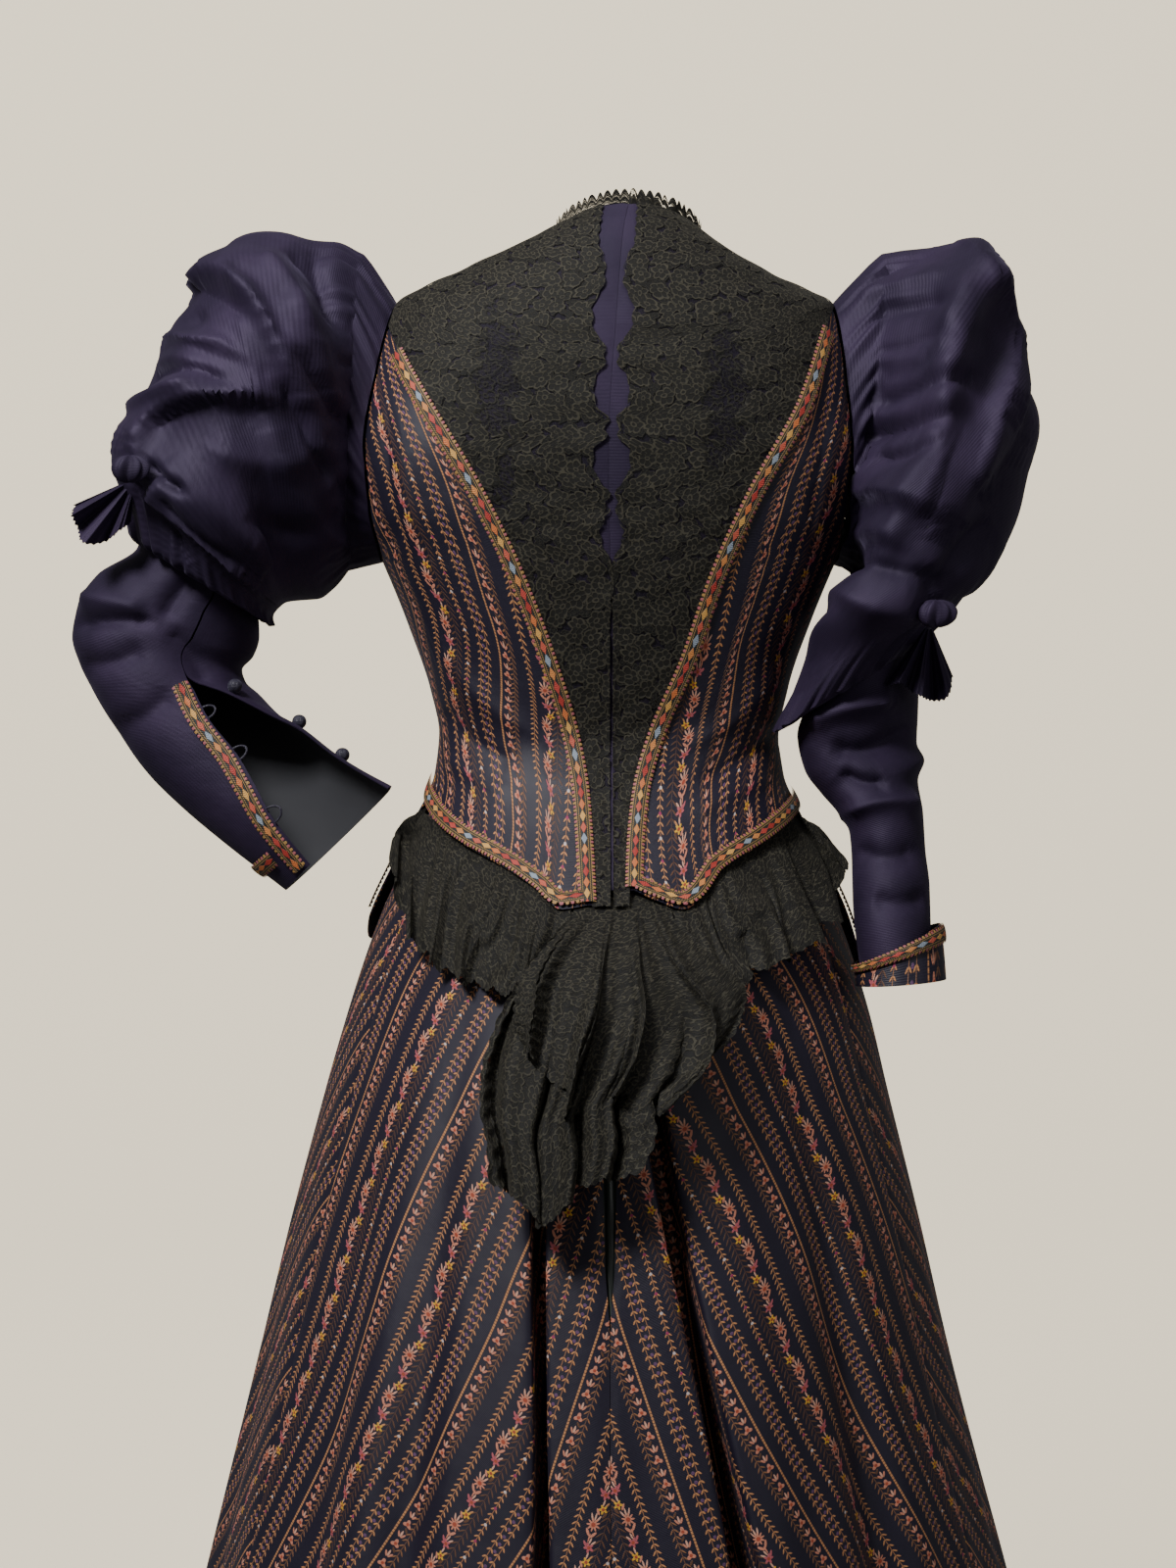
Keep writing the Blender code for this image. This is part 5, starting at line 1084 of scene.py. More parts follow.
def lace_material(name="black_guipure_lace", with_patches=False, dense=False):
    s = Shade(name)
    vector, u, v = s.place()
    sway = s.noise(vector, 60.0, 2.0, 0.5)
    moved = s.nodes.new("ShaderNodeVectorMath")
    moved.operation = "ADD"
    s.links.new(vector, moved.inputs[0])
    join = s.nodes.new("ShaderNodeCombineXYZ")
    s.put(join.inputs[0], s.times(sway, 0.010))
    s.put(join.inputs[1], s.times(s.noise(vector, 47.0, 2.0, 0.5), 0.010))
    s.links.new(join.outputs[0], moved.inputs[1])
    bent = moved.outputs[0]
    cord, inside = lace_flowers(s, bent, LACE_FLOWER, PETALS, 0.45)
    small, small_inside = lace_flowers(s, bent, 0.47 * LACE_FLOWER, 4.0, 0.9)
    between = s.take(1.0, inside)
    leafy = s.times(s.most(small, s.times(small_inside, 0.45)), between)
    flowers = 1.0
    if with_patches:
        spot = s.nodes.new("ShaderNodeSeparateXYZ")
        s.links.new(s.room(), spot.inputs[0])
        wander = s.times(s.take(sway, 0.5), 4.5)
        for at_x, at_z, half_x, half_z in NET_PATCHES:
            first = s.times(s.take(spot.outputs[0], at_x), 1.0 / half_x)
            second = s.times(s.take(spot.outputs[2], at_z), 1.0 / half_z)
            far = s.add(s.add(s.times(first, first), s.times(second, second)), wander)
            flowers = s.least(flowers, s.add(0.30, s.times(s.edge(far, 0.55, 1.10), 0.70)))
    raised = s.times(s.least(s.add(cord, s.add(s.times(inside, 0.35), leafy)), 1.0), flowers)
    mesh = s.most(s.edge(s.size(s.cell(s.add(u, v), NET)), 0.00052, 0.00070),
                  s.edge(s.size(s.cell(s.take(u, v), NET)), 0.00052, 0.00070))
    threads = s.most(s.edge(raised, 0.10, 0.25), mesh)
    fuzz = s.noise(vector, 1400.0, 2.0, 0.6)
    lines = s.times(s.least(s.add(cord, s.times(s.times(small, between), 0.55)), 1.0), flowers)
    lines = s.least(s.add(lines, s.times(inside, 0.10)), 1.0)
    # Painted highlight: the raised cords and small flowers are coloured lighter than the net, more in some
    # places than others
    painted_cord_highlight = s.add(0.45, s.times(s.noise(vector, 90.0, 2.0, 0.5), 0.8))
    colour = s.mix(s.times(lines, painted_cord_highlight), LACE_COLOUR, LACE_CORD_HIGHLIGHT)
    colour = s.shade(colour, s.add(0.55, s.times(fuzz, 0.85)))
    if dense:
        threads = s.most(threads, 0.97)
    normal = s.bump(raised, 0.0012, 0.9)
    normal = s.bump(fuzz, 0.0004, 0.6, normal)
    return s.finish(colour, 0.68, normal, 0.05, (0.9, 0.85, 0.7), 0.5, alpha=threads, specular=0.22)


# Braid: picots, cords and a chain of coloured links. Places across half its width
BRAID_LINK = 0.0100
LINKS = ((0.40, 0.035, 0.022), (0.55, 0.150, 0.040), (0.62, 0.330, 0.080), (0.50, 0.090, 0.050),
         (0.25, 0.300, 0.360), (0.58, 0.220, 0.060), (0.44, 0.050, 0.035))


def braid_material():
    s = Shade("woven_braid")
    vector, along, across = s.place()
    side = s.size(across)
    number = s.number(along, BRAID_LINK)
    tint = (0.36, 0.030, 0.020)
    phase = s.sum("FRACT", s.times(number, 1.0 / len(LINKS)))
    for k in range(1, len(LINKS)):
        tint = s.mix(s.edge(phase, (k - 0.5) / len(LINKS), (k - 0.4) / len(LINKS)), tint, LINKS[k])
    middle = s.cell(along, BRAID_LINK)
    lens = s.add(s.times(side, 1.0 / 0.0021), s.times(s.size(middle), 1.0 / (0.52 * BRAID_LINK)))
    link = s.edge(lens, 1.15, 0.95)
    colour = s.mix(link, (0.012, 0.012, 0.010), tint)
    inner = s.edge(s.size(s.take(side, 0.0027)), 0.00050, 0.00025)
    outer = s.edge(s.size(s.take(side, 0.0042)), 0.00060, 0.00030)
    cord_turns = s.add(s.times(along, 2 * math.pi / 0.0016), s.times(side, 2600.0))
    twist = s.add(0.5, s.times(s.wave(cord_turns), 0.5))
    # Painted shade and highlight: each cord is darker in the grooves of its twist and lighter on its crests,
    # following the same wave as its bump
    cord_colour_painted_shade = s.mix(twist, (0.070, 0.050, 0.016), (0.400, 0.230, 0.070))
    colour = s.mix(s.most(inner, outer), colour, cord_colour_painted_shade)
    picot_at = s.cell(along, 0.0032)
    picot = dot(s, s.take(side, 0.0053), picot_at, 0.0013)
    pick = s.edge(s.cell(along, 0.0064), -0.0001, 0.0001)
    colour = s.mix(picot, colour, s.mix(pick, (0.360, 0.095, 0.110), (0.360, 0.200, 0.055)))
    fuzz = s.noise(vector, 1600.0, 2.0, 0.6)
    colour = s.shade(colour, s.add(0.60, s.times(fuzz, 0.8)))
    raised = s.add(s.most(s.most(inner, outer), picot), s.times(link, 0.8))
    normal = s.bump(raised, 0.0006, 0.9)
    normal = s.bump(s.add(fuzz, twist), 0.00025, 0.6, normal)
    alpha = s.most(s.edge(side, 0.0050, 0.0048), picot)
    return s.finish(colour, 0.58, normal, 0.06, (1.0, 0.9, 0.8), 0.4, alpha=alpha)


def thread_material(name, colour):
    s = Shade(name)
    twist = s.noise(s.room(), 900.0, 2.0, 0.6)
    rings = s.spots(s.room(), 900.0, "F1", 0.6)
    shade = s.shade(colour, s.add(0.6, s.times(twist, 0.9)))
    return s.finish(shade, 0.55, s.bump(rings, 0.0005, 0.7), 0.15, (0.8, 0.8, 1.0), 0.4)


def stage_material(name, colour, rough):
    s = Shade(name)
    grain = s.noise(s.room(), 3.0, 3.0)
    return s.finish(s.shade(colour, s.add(0.98, s.times(grain, 0.04))), rough, specular=0.2)


SHADES = {}


def flat_places(grid, start=0.0):
    """Flat coordinates of a grid: length along each row and length down the middle column."""
    across = np.linalg.norm(np.diff(grid, axis=1), axis=2)
    across = np.concatenate([np.zeros((len(grid), 1)), np.cumsum(across, axis=1)], axis=1)
    middle = grid[:, grid.shape[1] // 2]
    down = np.concatenate([[0], np.cumsum(np.linalg.norm(np.diff(middle, axis=0), axis=1))])
    return np.stack([across + start, np.repeat(down[:, None], grid.shape[1], axis=1)], axis=-1)


def grid_area(grid):
    one = np.cross(grid[1:, :-1] - grid[:-1, :-1], grid[:-1, 1:] - grid[:-1, :-1])
    two = np.cross(grid[1:, :-1] - grid[1:, 1:], grid[:-1, 1:] - grid[1:, 1:])
    return 0.5 * float(np.linalg.norm(one, axis=2).sum() + np.linalg.norm(two, axis=2).sum())


def mesh_piece(name, points, faces, places, materials, nodes):
    """Object from points, faces and a flat coordinate for each point or each corner."""
    mesh = bpy.data.meshes.new(name)
    mesh.from_pydata(np.asarray(points, dtype=float).tolist(), [], faces)
    layer = mesh.uv_layers.new(name="Cloth")
    places = np.asarray(places, dtype=float)
    if len(places) == len(points):
        corners = np.zeros(len(mesh.loops), dtype=np.int32)
        mesh.loops.foreach_get("vertex_index", corners)
        places = places[corners]
    layer.data.foreach_set("uv", places.reshape(-1))
    mesh.shade_smooth()
    for word in materials:
        mesh.materials.append(SHADES[word])
    made = bpy.data.objects.new(name, mesh)
    bpy.context.scene.collection.objects.link(made)
    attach(made, "root")
    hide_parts(*nodes)
    return made


def grid_corners(rows, columns, closed, flip):
    """Corner numbers of the quads of a grid, and of its flat coordinates with a seam where it closes."""
    last = columns if closed else columns - 1
    r, c = np.meshgrid(np.arange(rows - 1), np.arange(last), indexing="ij")
    nxt = (c + 1) % columns
    quads = np.stack([r * columns + c, r * columns + nxt,
                      (r + 1) * columns + nxt, (r + 1) * columns + c], axis=-1)
    wide = columns + 1 if closed else columns
    flats = np.stack([r * wide + c, r * wide + c + 1, (r + 1) * wide + c + 1, (r + 1) * wide + c], axis=-1)
    quads, flats = quads.reshape(-1, 4), flats.reshape(-1, 4)
    if flip:
        quads, flats = quads[:, ::-1], flats[:, ::-1]
    return quads, flats


def add_wall(made, shell, lined, rim=True):
    """Thin wall behind the cloth, with crisp cut edges."""
    wall = made.modifiers.new("wall", "SOLIDIFY")
    wall.thickness = shell
    wall.offset = -1.0
    wall.use_rim = rim
    if lined:
        wall.material_offset = 1
    crisp = made.modifiers.new("cut edges", "EDGE_SPLIT")
    crisp.split_angle = math.radians(62.0)


def cloth(name, grid, material, nodes, closed=False, away=None, places=None, inner="lining",
          shell=SHELL, declare=True, rim=True):
    """Sheet of cloth from a grid of points, with a thin wall behind it."""
    rows, columns = grid.shape[:2]
    if away is None:
        away = outward(grid, closed)
    flip = float((normals_of(grid, closed) * away).sum()) < 0
    quads, flats = grid_corners(rows, columns, closed, flip)
    whole = np.concatenate([grid, grid[:, :1]], axis=1) if closed else grid
    if places is None:
        places = flat_places(whole)
    corner_places = places.reshape(-1, 2)[flats.reshape(-1)]
    words = [material] + ([inner] if shell and inner else [])
    made = mesh_piece(name, grid.reshape(-1, 3), quads.tolist(), corner_places, words, nodes)
    if shell:
        add_wall(made, shell, bool(inner), rim)
    if declare:
        across = float(np.linalg.norm(np.diff(whole, axis=1), axis=2).sum(axis=1).max())
        down = float(np.linalg.norm(np.diff(whole, axis=0), axis=2).sum(axis=0).max())
        area = min(max(grid_area(whole), 0.31 * across * down), across * down)
    return made


UNDERLAP = 0.0030
UNDERLAP_DEEP = 0.0011


def underlapped(grid):
    """Grid with a narrow strip that runs behind its first edge."""
    back = -unit(grid[:, 1] - grid[:, 0])
    sunk = outward(grid)[:, 0] * UNDERLAP_DEEP
    strip = [grid[:, 0] + back * UNDERLAP * share - sunk for share in (1.0, 0.15)]
    return np.concatenate([np.stack(strip, axis=1), grid], axis=1)


def seam_groove(grid, left=True, right=True, deep=0.0008, wide=0.0035):
    """The cloth sinks a little beside its seams."""
    across = np.linalg.norm(np.diff(grid, axis=1), axis=2)
    run = np.concatenate([np.zeros((len(grid), 1)), np.cumsum(across, axis=1)], axis=1)
    back = run[:, -1:] - run
    sink = np.zeros(grid.shape[:2])
    if left:
        sink += np.exp(-(run / wide) ** 2)
    if right:
        sink += np.exp(-(back / wide) ** 2)
    return grid - outward(grid) * (deep * sink)[..., None]


# Creases seen from behind: a bent line from one end through a middle to the other, in the X-Z plane,
# with the width to each side of the line and the height there. A narrow width on one side makes an
# overhanging edge
CREASE_COLUMNS = ("x0", "z0", "x1", "z1", "x2", "z2", "wide_up", "wide_down", "height")
CREASES_PUFF_LEFT = (
    (-0.312, -0.027, -0.258, -0.044, -0.230, -0.112, 0.030, 0.0055, 0.0100),
    (-0.340, -0.058, -0.318, -0.064, -0.290, -0.050, 0.010, 0.012, -0.005),
    (-0.360, -0.105, -0.345, -0.108, -0.325, -0.092, 0.009, 0.012, -0.005),
    (-0.336, -0.156, -0.304, -0.122, -0.230, -0.118, 0.026, 0.0055, 0.0095),
    (-0.246, -0.120, -0.226, -0.180, -0.190, -0.222, 0.012, 0.018, 0.006),
    (-0.332, -0.180, -0.304, -0.204, -0.256, -0.246, 0.020, 0.0055, 0.0080),
    (-0.330, -0.020, -0.290, 0.004, -0.235, -0.004, 0.012, 0.016, -0.003),
    (-0.352, -0.165, -0.330, -0.185, -0.300, -0.232, 0.007, 0.009, -0.004),
    (-0.230, -0.040, -0.215, -0.080, -0.200, -0.120, 0.010, 0.014, 0.005),
    (-0.218, 0.002, -0.208, -0.030, -0.200, -0.060, 0.007, 0.008, -0.004),
    (-0.206, -0.140, -0.240, -0.160, -0.290, -0.150, 0.012, 0.016, 0.004),
    (-0.196, -0.190, -0.225, -0.205, -0.262, -0.200, 0.008, 0.010, -0.003),
)
CREASES_PUFF_RIGHT = (
    (0.258, -0.010, 0.274, -0.070, 0.262, -0.130, 0.034, 0.005, 0.010),
    (0.276, -0.056, 0.286, -0.100, 0.280, -0.160, 0.016, 0.010, 0.0045),
    (0.288, -0.060, 0.290, -0.130, 0.252, -0.188, 0.013, 0.012, -0.009),
    (0.185, -0.049, 0.210, -0.044, 0.236, -0.040, 0.006, 0.007, -0.005),
    (0.180, -0.094, 0.214, -0.092, 0.236, -0.076, 0.007, 0.006, -0.003),
    (0.182, -0.116, 0.212, -0.108, 0.250, -0.102, 0.007, 0.006, -0.006),
    (0.178, -0.136, 0.205, -0.134, 0.232, -0.130, 0.007, 0.008, -0.007),
    (0.165, -0.165, 0.196, -0.185, 0.218, -0.196, 0.030, 0.006, 0.008),
    (0.160, -0.200, 0.190, -0.215, 0.222, -0.250, 0.016, 0.010, 0.005),
    (0.222, -0.262, 0.205, -0.230, 0.170, -0.218, 0.010, 0.008, -0.004),
    (0.150, -0.240, 0.175, -0.262, 0.214, -0.268, 0.014, 0.008, 0.005),
    (0.222, -0.258, 0.238, -0.225, 0.262, -0.200, 0.008, 0.012, -0.005),
    (0.190, -0.020, 0.206, -0.006, 0.232, 0.000, 0.006, 0.008, -0.003),
)
# Small sharp folds over the large ones
SMALL_PUFF_LEFT = (
    (-0.276, -0.016, -0.250, -0.032, -0.226, -0.084, 0.007, 0.006, -0.0040),
    (-0.252, -0.008, -0.232, -0.028, -0.212, -0.070, 0.009, 0.005, 0.0034),
    (-0.236, -0.004, -0.216, -0.022, -0.202, -0.058, 0.005, 0.006, -0.0034),
    (-0.310, -0.026, -0.282, -0.034, -0.256, -0.060, 0.004, 0.008, -0.0040),
    (-0.338, -0.072, -0.306, -0.070, -0.262, -0.088, 0.008, 0.003, 0.0044),
    (-0.345, -0.088, -0.310, -0.090, -0.268, -0.104, 0.003, 0.007, -0.0040),
    (-0.350, -0.118, -0.325, -0.112, -0.296, -0.104, 0.007, 0.003, 0.0040),
    (-0.330, -0.135, -0.306, -0.122, -0.270, -0.116, 0.003, 0.006, -0.0036),
    (-0.234, -0.100, -0.214, -0.140, -0.196, -0.172, 0.004, 0.007, -0.0040),
    (-0.222, -0.078, -0.206, -0.104, -0.192, -0.128, 0.003, 0.006, -0.0036),
    (-0.330, -0.158, -0.318, -0.172, -0.300, -0.182, 0.004, 0.005, -0.0040),
    (-0.322, -0.182, -0.296, -0.212, -0.262, -0.232, 0.004, 0.007, -0.0034),
)
SMALL_PUFF_RIGHT = (
    (0.176, -0.032, 0.206, -0.026, 0.236, -0.020, 0.006, 0.004, 0.0018),
    (0.182, -0.074, 0.212, -0.074, 0.240, -0.060, 0.005, 0.005, -0.0016),
    (0.230, -0.070, 0.228, -0.140, 0.216, -0.218, 0.020, 0.016, 0.0046),
    (0.182, -0.152, 0.200, -0.155, 0.224, -0.146, 0.006, 0.007, -0.0038),
    (0.248, -0.180, 0.262, -0.150, 0.270, -0.110, 0.012, 0.010, 0.0030),
    (0.160, -0.222, 0.194, -0.238, 0.226, -0.240, 0.005, 0.007, -0.0030),
)
PUFF_SMALL = {"left": SMALL_PUFF_LEFT, "right": SMALL_PUFF_RIGHT}
CREASES_UNDER_LEFT = (
    (-0.328, -0.270, -0.360, -0.268, -0.392, -0.272, 0.006, 0.007, -0.004),
    (-0.322, -0.268, -0.312, -0.250, -0.300, -0.234, 0.007, 0.008, -0.004),
    (-0.318, -0.276, -0.302, -0.292, -0.290, -0.314, 0.007, 0.008, -0.003),
    (-0.386, -0.250, -0.360, -0.256, -0.335, -0.262, 0.008, 0.010, 0.004),
    (-0.386, -0.300, -0.360, -0.298, -0.335, -0.288, 0.008, 0.009, -0.003),
    (-0.360, -0.345, -0.335, -0.336, -0.315, -0.318, 0.008, 0.010, -0.003),
)
CREASES_UNDER_RIGHT = (
    (0.152, -0.358, 0.178, -0.360, 0.210, -0.344, 0.006, 0.008, -0.004),
    (0.158, -0.376, 0.175, -0.384, 0.192, -0.382, 0.006, 0.008, -0.004),
    (0.180, -0.466, 0.200, -0.468, 0.220, -0.464, 0.006, 0.008, -0.003),
    (0.140, -0.345, 0.165, -0.332, 0.200, -0.328, 0.010, 0.006, 0.005),
    (0.165, -0.405, 0.190, -0.398, 0.218, -0.402, 0.008, 0.006, 0.004),
    (0.170, -0.430, 0.190, -0.436, 0.215, -0.430, 0.007, 0.009, -0.003),
)
CREASE_STEPS = 25
CREASE_POWER = 1.45


def crease_height(table, x, z):
    """Height of all creases at places in the X-Z plane."""
    total = np.zeros_like(x)
    for row in table:
        value = dict(zip(CREASE_COLUMNS, row))
        part = np.linspace(0, 1, CREASE_STEPS)
        bend_x = 2 * value["x1"] - 0.5 * (value["x0"] + value["x2"])
        bend_z = 2 * value["z1"] - 0.5 * (value["z0"] + value["z2"])
        line_x = (1 - part) ** 2 * value["x0"] + 2 * part * (1 - part) * bend_x + part ** 2 * value["x2"]
        line_z = (1 - part) ** 2 * value["z0"] + 2 * part * (1 - part) * bend_z + part ** 2 * value["z2"]
        far = (x[..., None] - line_x) ** 2 + (z[..., None] - line_z) ** 2
        near = np.argmin(far, axis=-1)
        away = np.sqrt(np.take_along_axis(far, near[..., None], axis=-1)[..., 0])
        along_x = np.gradient(line_x)[near]
        along_z = np.gradient(line_z)[near]
        side = along_x * (z - line_z[near]) - along_z * (x - line_x[near])
        width = np.where(side > 0, value["wide_up"], value["wide_down"])
        share = part[near]
        taper = np.clip(np.minimum(share, 1 - share) * 5.0 + 0.25, 0, 1)
        total += value["height"] * taper * np.exp(-(away / width) ** CREASE_POWER)
    return total


def creased(grid, table, away, back=0.7, strength=1.0):
    """Grid with the creases on the side that faces the viewer, and like ones on the far side."""
    middle = grid[..., 1].mean(axis=1, keepdims=True)
    toward = np.clip((middle - grid[..., 1]) / 0.02, -1, 1)
    seen = crease_height(table, grid[..., 0], grid[..., 2]) * np.clip(toward, 0, 1)
    hidden = crease_height(table, grid[..., 0] + 0.012, grid[..., 2] + 0.009) * np.clip(-toward, 0, 1) * back
    return grid + away * strength * (seen + hidden)[..., None]


# Fine gathers at the armhole: waves round the puff, shift and share
ARMHOLE_GATHERS = ((31, 0.4, 0.40), (43, 1.9, 0.35), (19, 0.9, 0.45), (57, 2.2, 0.20))
GATHER_HEIGHT = 0.0034
GATHER_RUN = 2.3
ELBOW_GATHERS = ((23, 1.1, 0.5), (37, 0.2, 0.4))
ELBOW_HEIGHT = 0.0022
PUFF_FOLD_SHARE = 0.85
PUFF_CREASES = 1.65
PUFF_EXTRA = 2.30


def fine_puff(word, side, table, folds, creases):
    columns, rows = PUFF_GRID
    angles = np.linspace(0, 360, columns, endpoint=False)
    spots = np.linspace(-1.0, len(table) - 1.0, rows)
    body = section_rings(table, np.maximum(spots, 0.0), angles)
    start = armhole_ring(side, angles, 0.0012)
    blend = np.clip(-spots, 0, 1)[:, None, None]
    blend = blend * blend * (3 - 2 * blend)
    grid = start[None] * blend + body * (1 - blend)
    away = outward(grid, True)
    fade = np.clip(spots + 1.0, 0, 1) * np.clip((len(table) - 1.0 - spots) / 1.5, 0, 1)
    lift = puff_folds(folds, angles, spots) * PUFF_FOLD_SHARE * fade[:, None]
    turn = np.radians(angles)[None, :]
    top_share = 0.35 + 0.65 * (0.5 + 0.5 * np.cos(turn))
    rise = np.clip((spots + 1.0) / 0.7, 0, 1)[:, None]
    run = np.clip((GATHER_RUN - spots) / (GATHER_RUN + 1.0), 0, 1)[:, None]
    sway = 0.10 * np.sin(3.0 * spots[:, None] + 2.0 * turn)
    gather = sum(share * np.cos(n * (turn + 0.05 * sway) + shift) for n, shift, share in ARMHOLE_GATHERS)
    lift = lift + GATHER_HEIGHT * gather * top_share * rise * run
    end = np.clip((spots - (len(table) - 3.2)) / 2.0, 0, 1)[:, None]
    gather = sum(share * np.cos(n * turn + shift) for n, shift, share in ELBOW_GATHERS)
    lift = lift + ELBOW_HEIGHT * gather * end
    grid = grid + away * lift[..., None]
    grid = creased(grid, creases, away, strength=PUFF_CREASES)
    grid = creased(grid, PUFF_SMALL[word], away, 0.8, PUFF_EXTRA)
    hem_table, outer_spot, inner_spot = PUFF_ENDS[word]
    high, low = (section_rings(hem_table, np.array([spot]), angles)[0] for spot in (outer_spot, inner_spot))
    share = (0.5 + 0.5 * np.cos(np.radians(angles)))[:, None]
    hem = high * share + low * (1 - share)
    out = hem - hem.mean(axis=0, keepdims=True)
    hem = hem + out / np.linalg.norm(out, axis=1, keepdims=True) * 0.0012
    steps = np.linspace(0, 1, 9)[1:, None, None]
    droop = np.sin(np.pi * steps) * 0.35
    last = grid[-1][None]
    turned = last * (1 - steps) + hem[None] * steps + (last - grid[-6][None]) * droop
    return np.concatenate([grid, turned])


UNDER_STRENGTH = 1.9


def make_sleeves():
    for side, word, table, folds, creases in ((-1, "left", PUFF_LEFT, PUFF_FOLDS_LEFT, CREASES_PUFF_LEFT),
                                              (1, "right", PUFF_RIGHT, PUFF_FOLDS_RIGHT, CREASES_PUFF_RIGHT)):
        grid = fine_puff(word, side, table, folds, creases)
        cloth(f"puff_{word}", grid, "silk", [f"sleeve_puff_{word}"], closed=True)
    spots = np.linspace(0, len(UNDER_LEFT) - 1.0, UNDER_ROWS)
    grid = section_rings(UNDER_LEFT, spots, open_angles(spots, UNDER_COLUMNS_LEFT))
    middle = grid.mean(axis=1, keepdims=True)
    away = outward(grid, True)
    grid = creased(grid, CREASES_UNDER_LEFT, away, 0.9, UNDER_STRENGTH)
    edge = np.linspace(0, 1, UNDER_COLUMNS_LEFT)[None, :]
    roll = 0.004 * np.exp(-(edge / 0.05) ** 2) * np.clip((spots - 5.2) / 1.5, 0, 1)[:, None]
    grid = grid + away * roll[..., None]
    cloth("undersleeve_cloth_left", grid, "silk", ["undersleeve_left"], away=grid - middle)
    spots = np.linspace(0, len(UNDER_RIGHT) - 1.0, UNDER_ROWS)
    angles = np.linspace(0, 360, UNDER_COLUMNS_RIGHT, endpoint=False)
    grid = section_rings(UNDER_RIGHT, spots, angles)
    grid = creased(grid, CREASES_UNDER_RIGHT, outward(grid, True), 0.9, UNDER_STRENGTH)
    cloth("undersleeve_cloth_right", grid, "silk", ["undersleeve_right"], closed=True)
    grid = section_rings(CUFF_RIGHT, np.linspace(0, 2, 16), angles)
    whole = np.concatenate([grid, grid[:, :1]], axis=1)
    flat = flat_places(whole)
    places = np.stack([flat[..., 0] + 0.004, flat[..., 1]], axis=-1)
    cloth("turned_cuff_right", grid, "brocade", ["cuff_right"], closed=True, places=places)


def turned_places(grid, lean, start):
    """Flat coordinates whose stripes lean away from the inner seam of a panel, in degrees."""
    flat = flat_places(grid)
    u, v = flat[..., 0], flat[..., 1]
    turn = math.radians(lean)
    across = u * math.cos(turn) - v * math.sin(turn) + start
    return np.stack([across, u * math.sin(turn) + v * math.cos(turn)], axis=-1)


SIDES = ((-1, "left"), (1, "right"))
BACK_STRIPE_LEAN = 11.0
BACK_STRIPE_START = 0.041
FRONT_STRIPE_LEAN = 4.0
FRONT_STRIPE_START = 0.010
FINE_ROWS = 82


def make_bodice():
    down = np.linspace(0, 1, FINE_ROWS)
    for side, word in SIDES:
        apex = apex_level(side)
        point = hem_level(side, 0.0)
        plain = bodice_panel(lambda levels: 0 * levels, lambda levels: v_line(levels, side),
                             lambda q: 0.0, lambda q: point, down, side)
        plain = seam_groove(plain, True, False, 0.0003, 0.0020)
        if side > 0:
            plain = underlapped(plain)
        cloth(f"plastron_{word}", plain, "silk", [f"bodice_plain_back_{word}"], rim=False)
        striped = bodice_panel(lambda levels: v_line(levels, side), outer_angle,
                               lambda q: apex, lambda q: hem_level(side, q), down, side)
        flat = turned_places(striped, BACK_STRIPE_LEAN, BACK_STRIPE_START)
        striped = seam_groove(back_puckers(striped, side), False, True)
        cloth(f"side_back_{word}", striped, "brocade", [f"bodice_striped_back_{word}"],
              places=flat)
        front = bodice_panel(lambda levels: 180.0 - outer_angle(levels), lambda levels: 180.0 + 0 * levels,
                             lambda q: 0.0, lambda q: front_hem_level(side, q), down, side)
        flat = turned_places(front, FRONT_STRIPE_LEAN, FRONT_STRIPE_START)
        front = seam_groove(front, True, True)
        cloth(f"front_{word}", front, "brocade", [f"bodice_front_{word}"], places=flat)


# Slight puckers of the striped backs: a bent line, its widths and its height
CREASES_BACK_LEFT = (
    (-0.150, -0.150, -0.142, -0.230, -0.120, -0.300, 0.010, 0.012, 0.0016),
    (-0.122, -0.285, -0.100, -0.320, -0.052, -0.352, 0.008, 0.010, 0.0022),
    (-0.124, -0.330, -0.104, -0.352, -0.066, -0.372, 0.006, 0.008, -0.0020),
    (-0.120, -0.365, -0.100, -0.380, -0.070, -0.392, 0.006, 0.007, 0.0016),
    (-0.165, -0.120, -0.158, -0.180, -0.150, -0.215, 0.007, 0.009, -0.0016),
)
CREASES_BACK_RIGHT = (
    (0.150, -0.140, 0.140, -0.220, 0.112, -0.290, 0.010, 0.012, 0.0016),
    (0.118, -0.300, 0.094, -0.332, 0.048, -0.360, 0.008, 0.010, 0.0020),
    (0.120, -0.345, 0.100, -0.362, 0.060, -0.384, 0.006, 0.008, -0.0020),
    (0.110, -0.380, 0.086, -0.392, 0.050, -0.408, 0.006, 0.007, 0.0016),
    (0.152, -0.110, 0.146, -0.160, 0.140, -0.205, 0.007, 0.009, -0.0016),
)


PUCKERS = 1.7


def back_puckers(grid, side):
    table = CREASES_BACK_LEFT if side < 0 else CREASES_BACK_RIGHT
    return grid + outward(grid) * PUCKERS * crease_height(table, grid[..., 0], grid[..., 2])[..., None]


# Small scallops along the free edges of the lace
YOKE_SCALLOP = 0.0018
YOKE_SCALLOPS = 46
YOKE_UNDER_BRAID = 0.0030


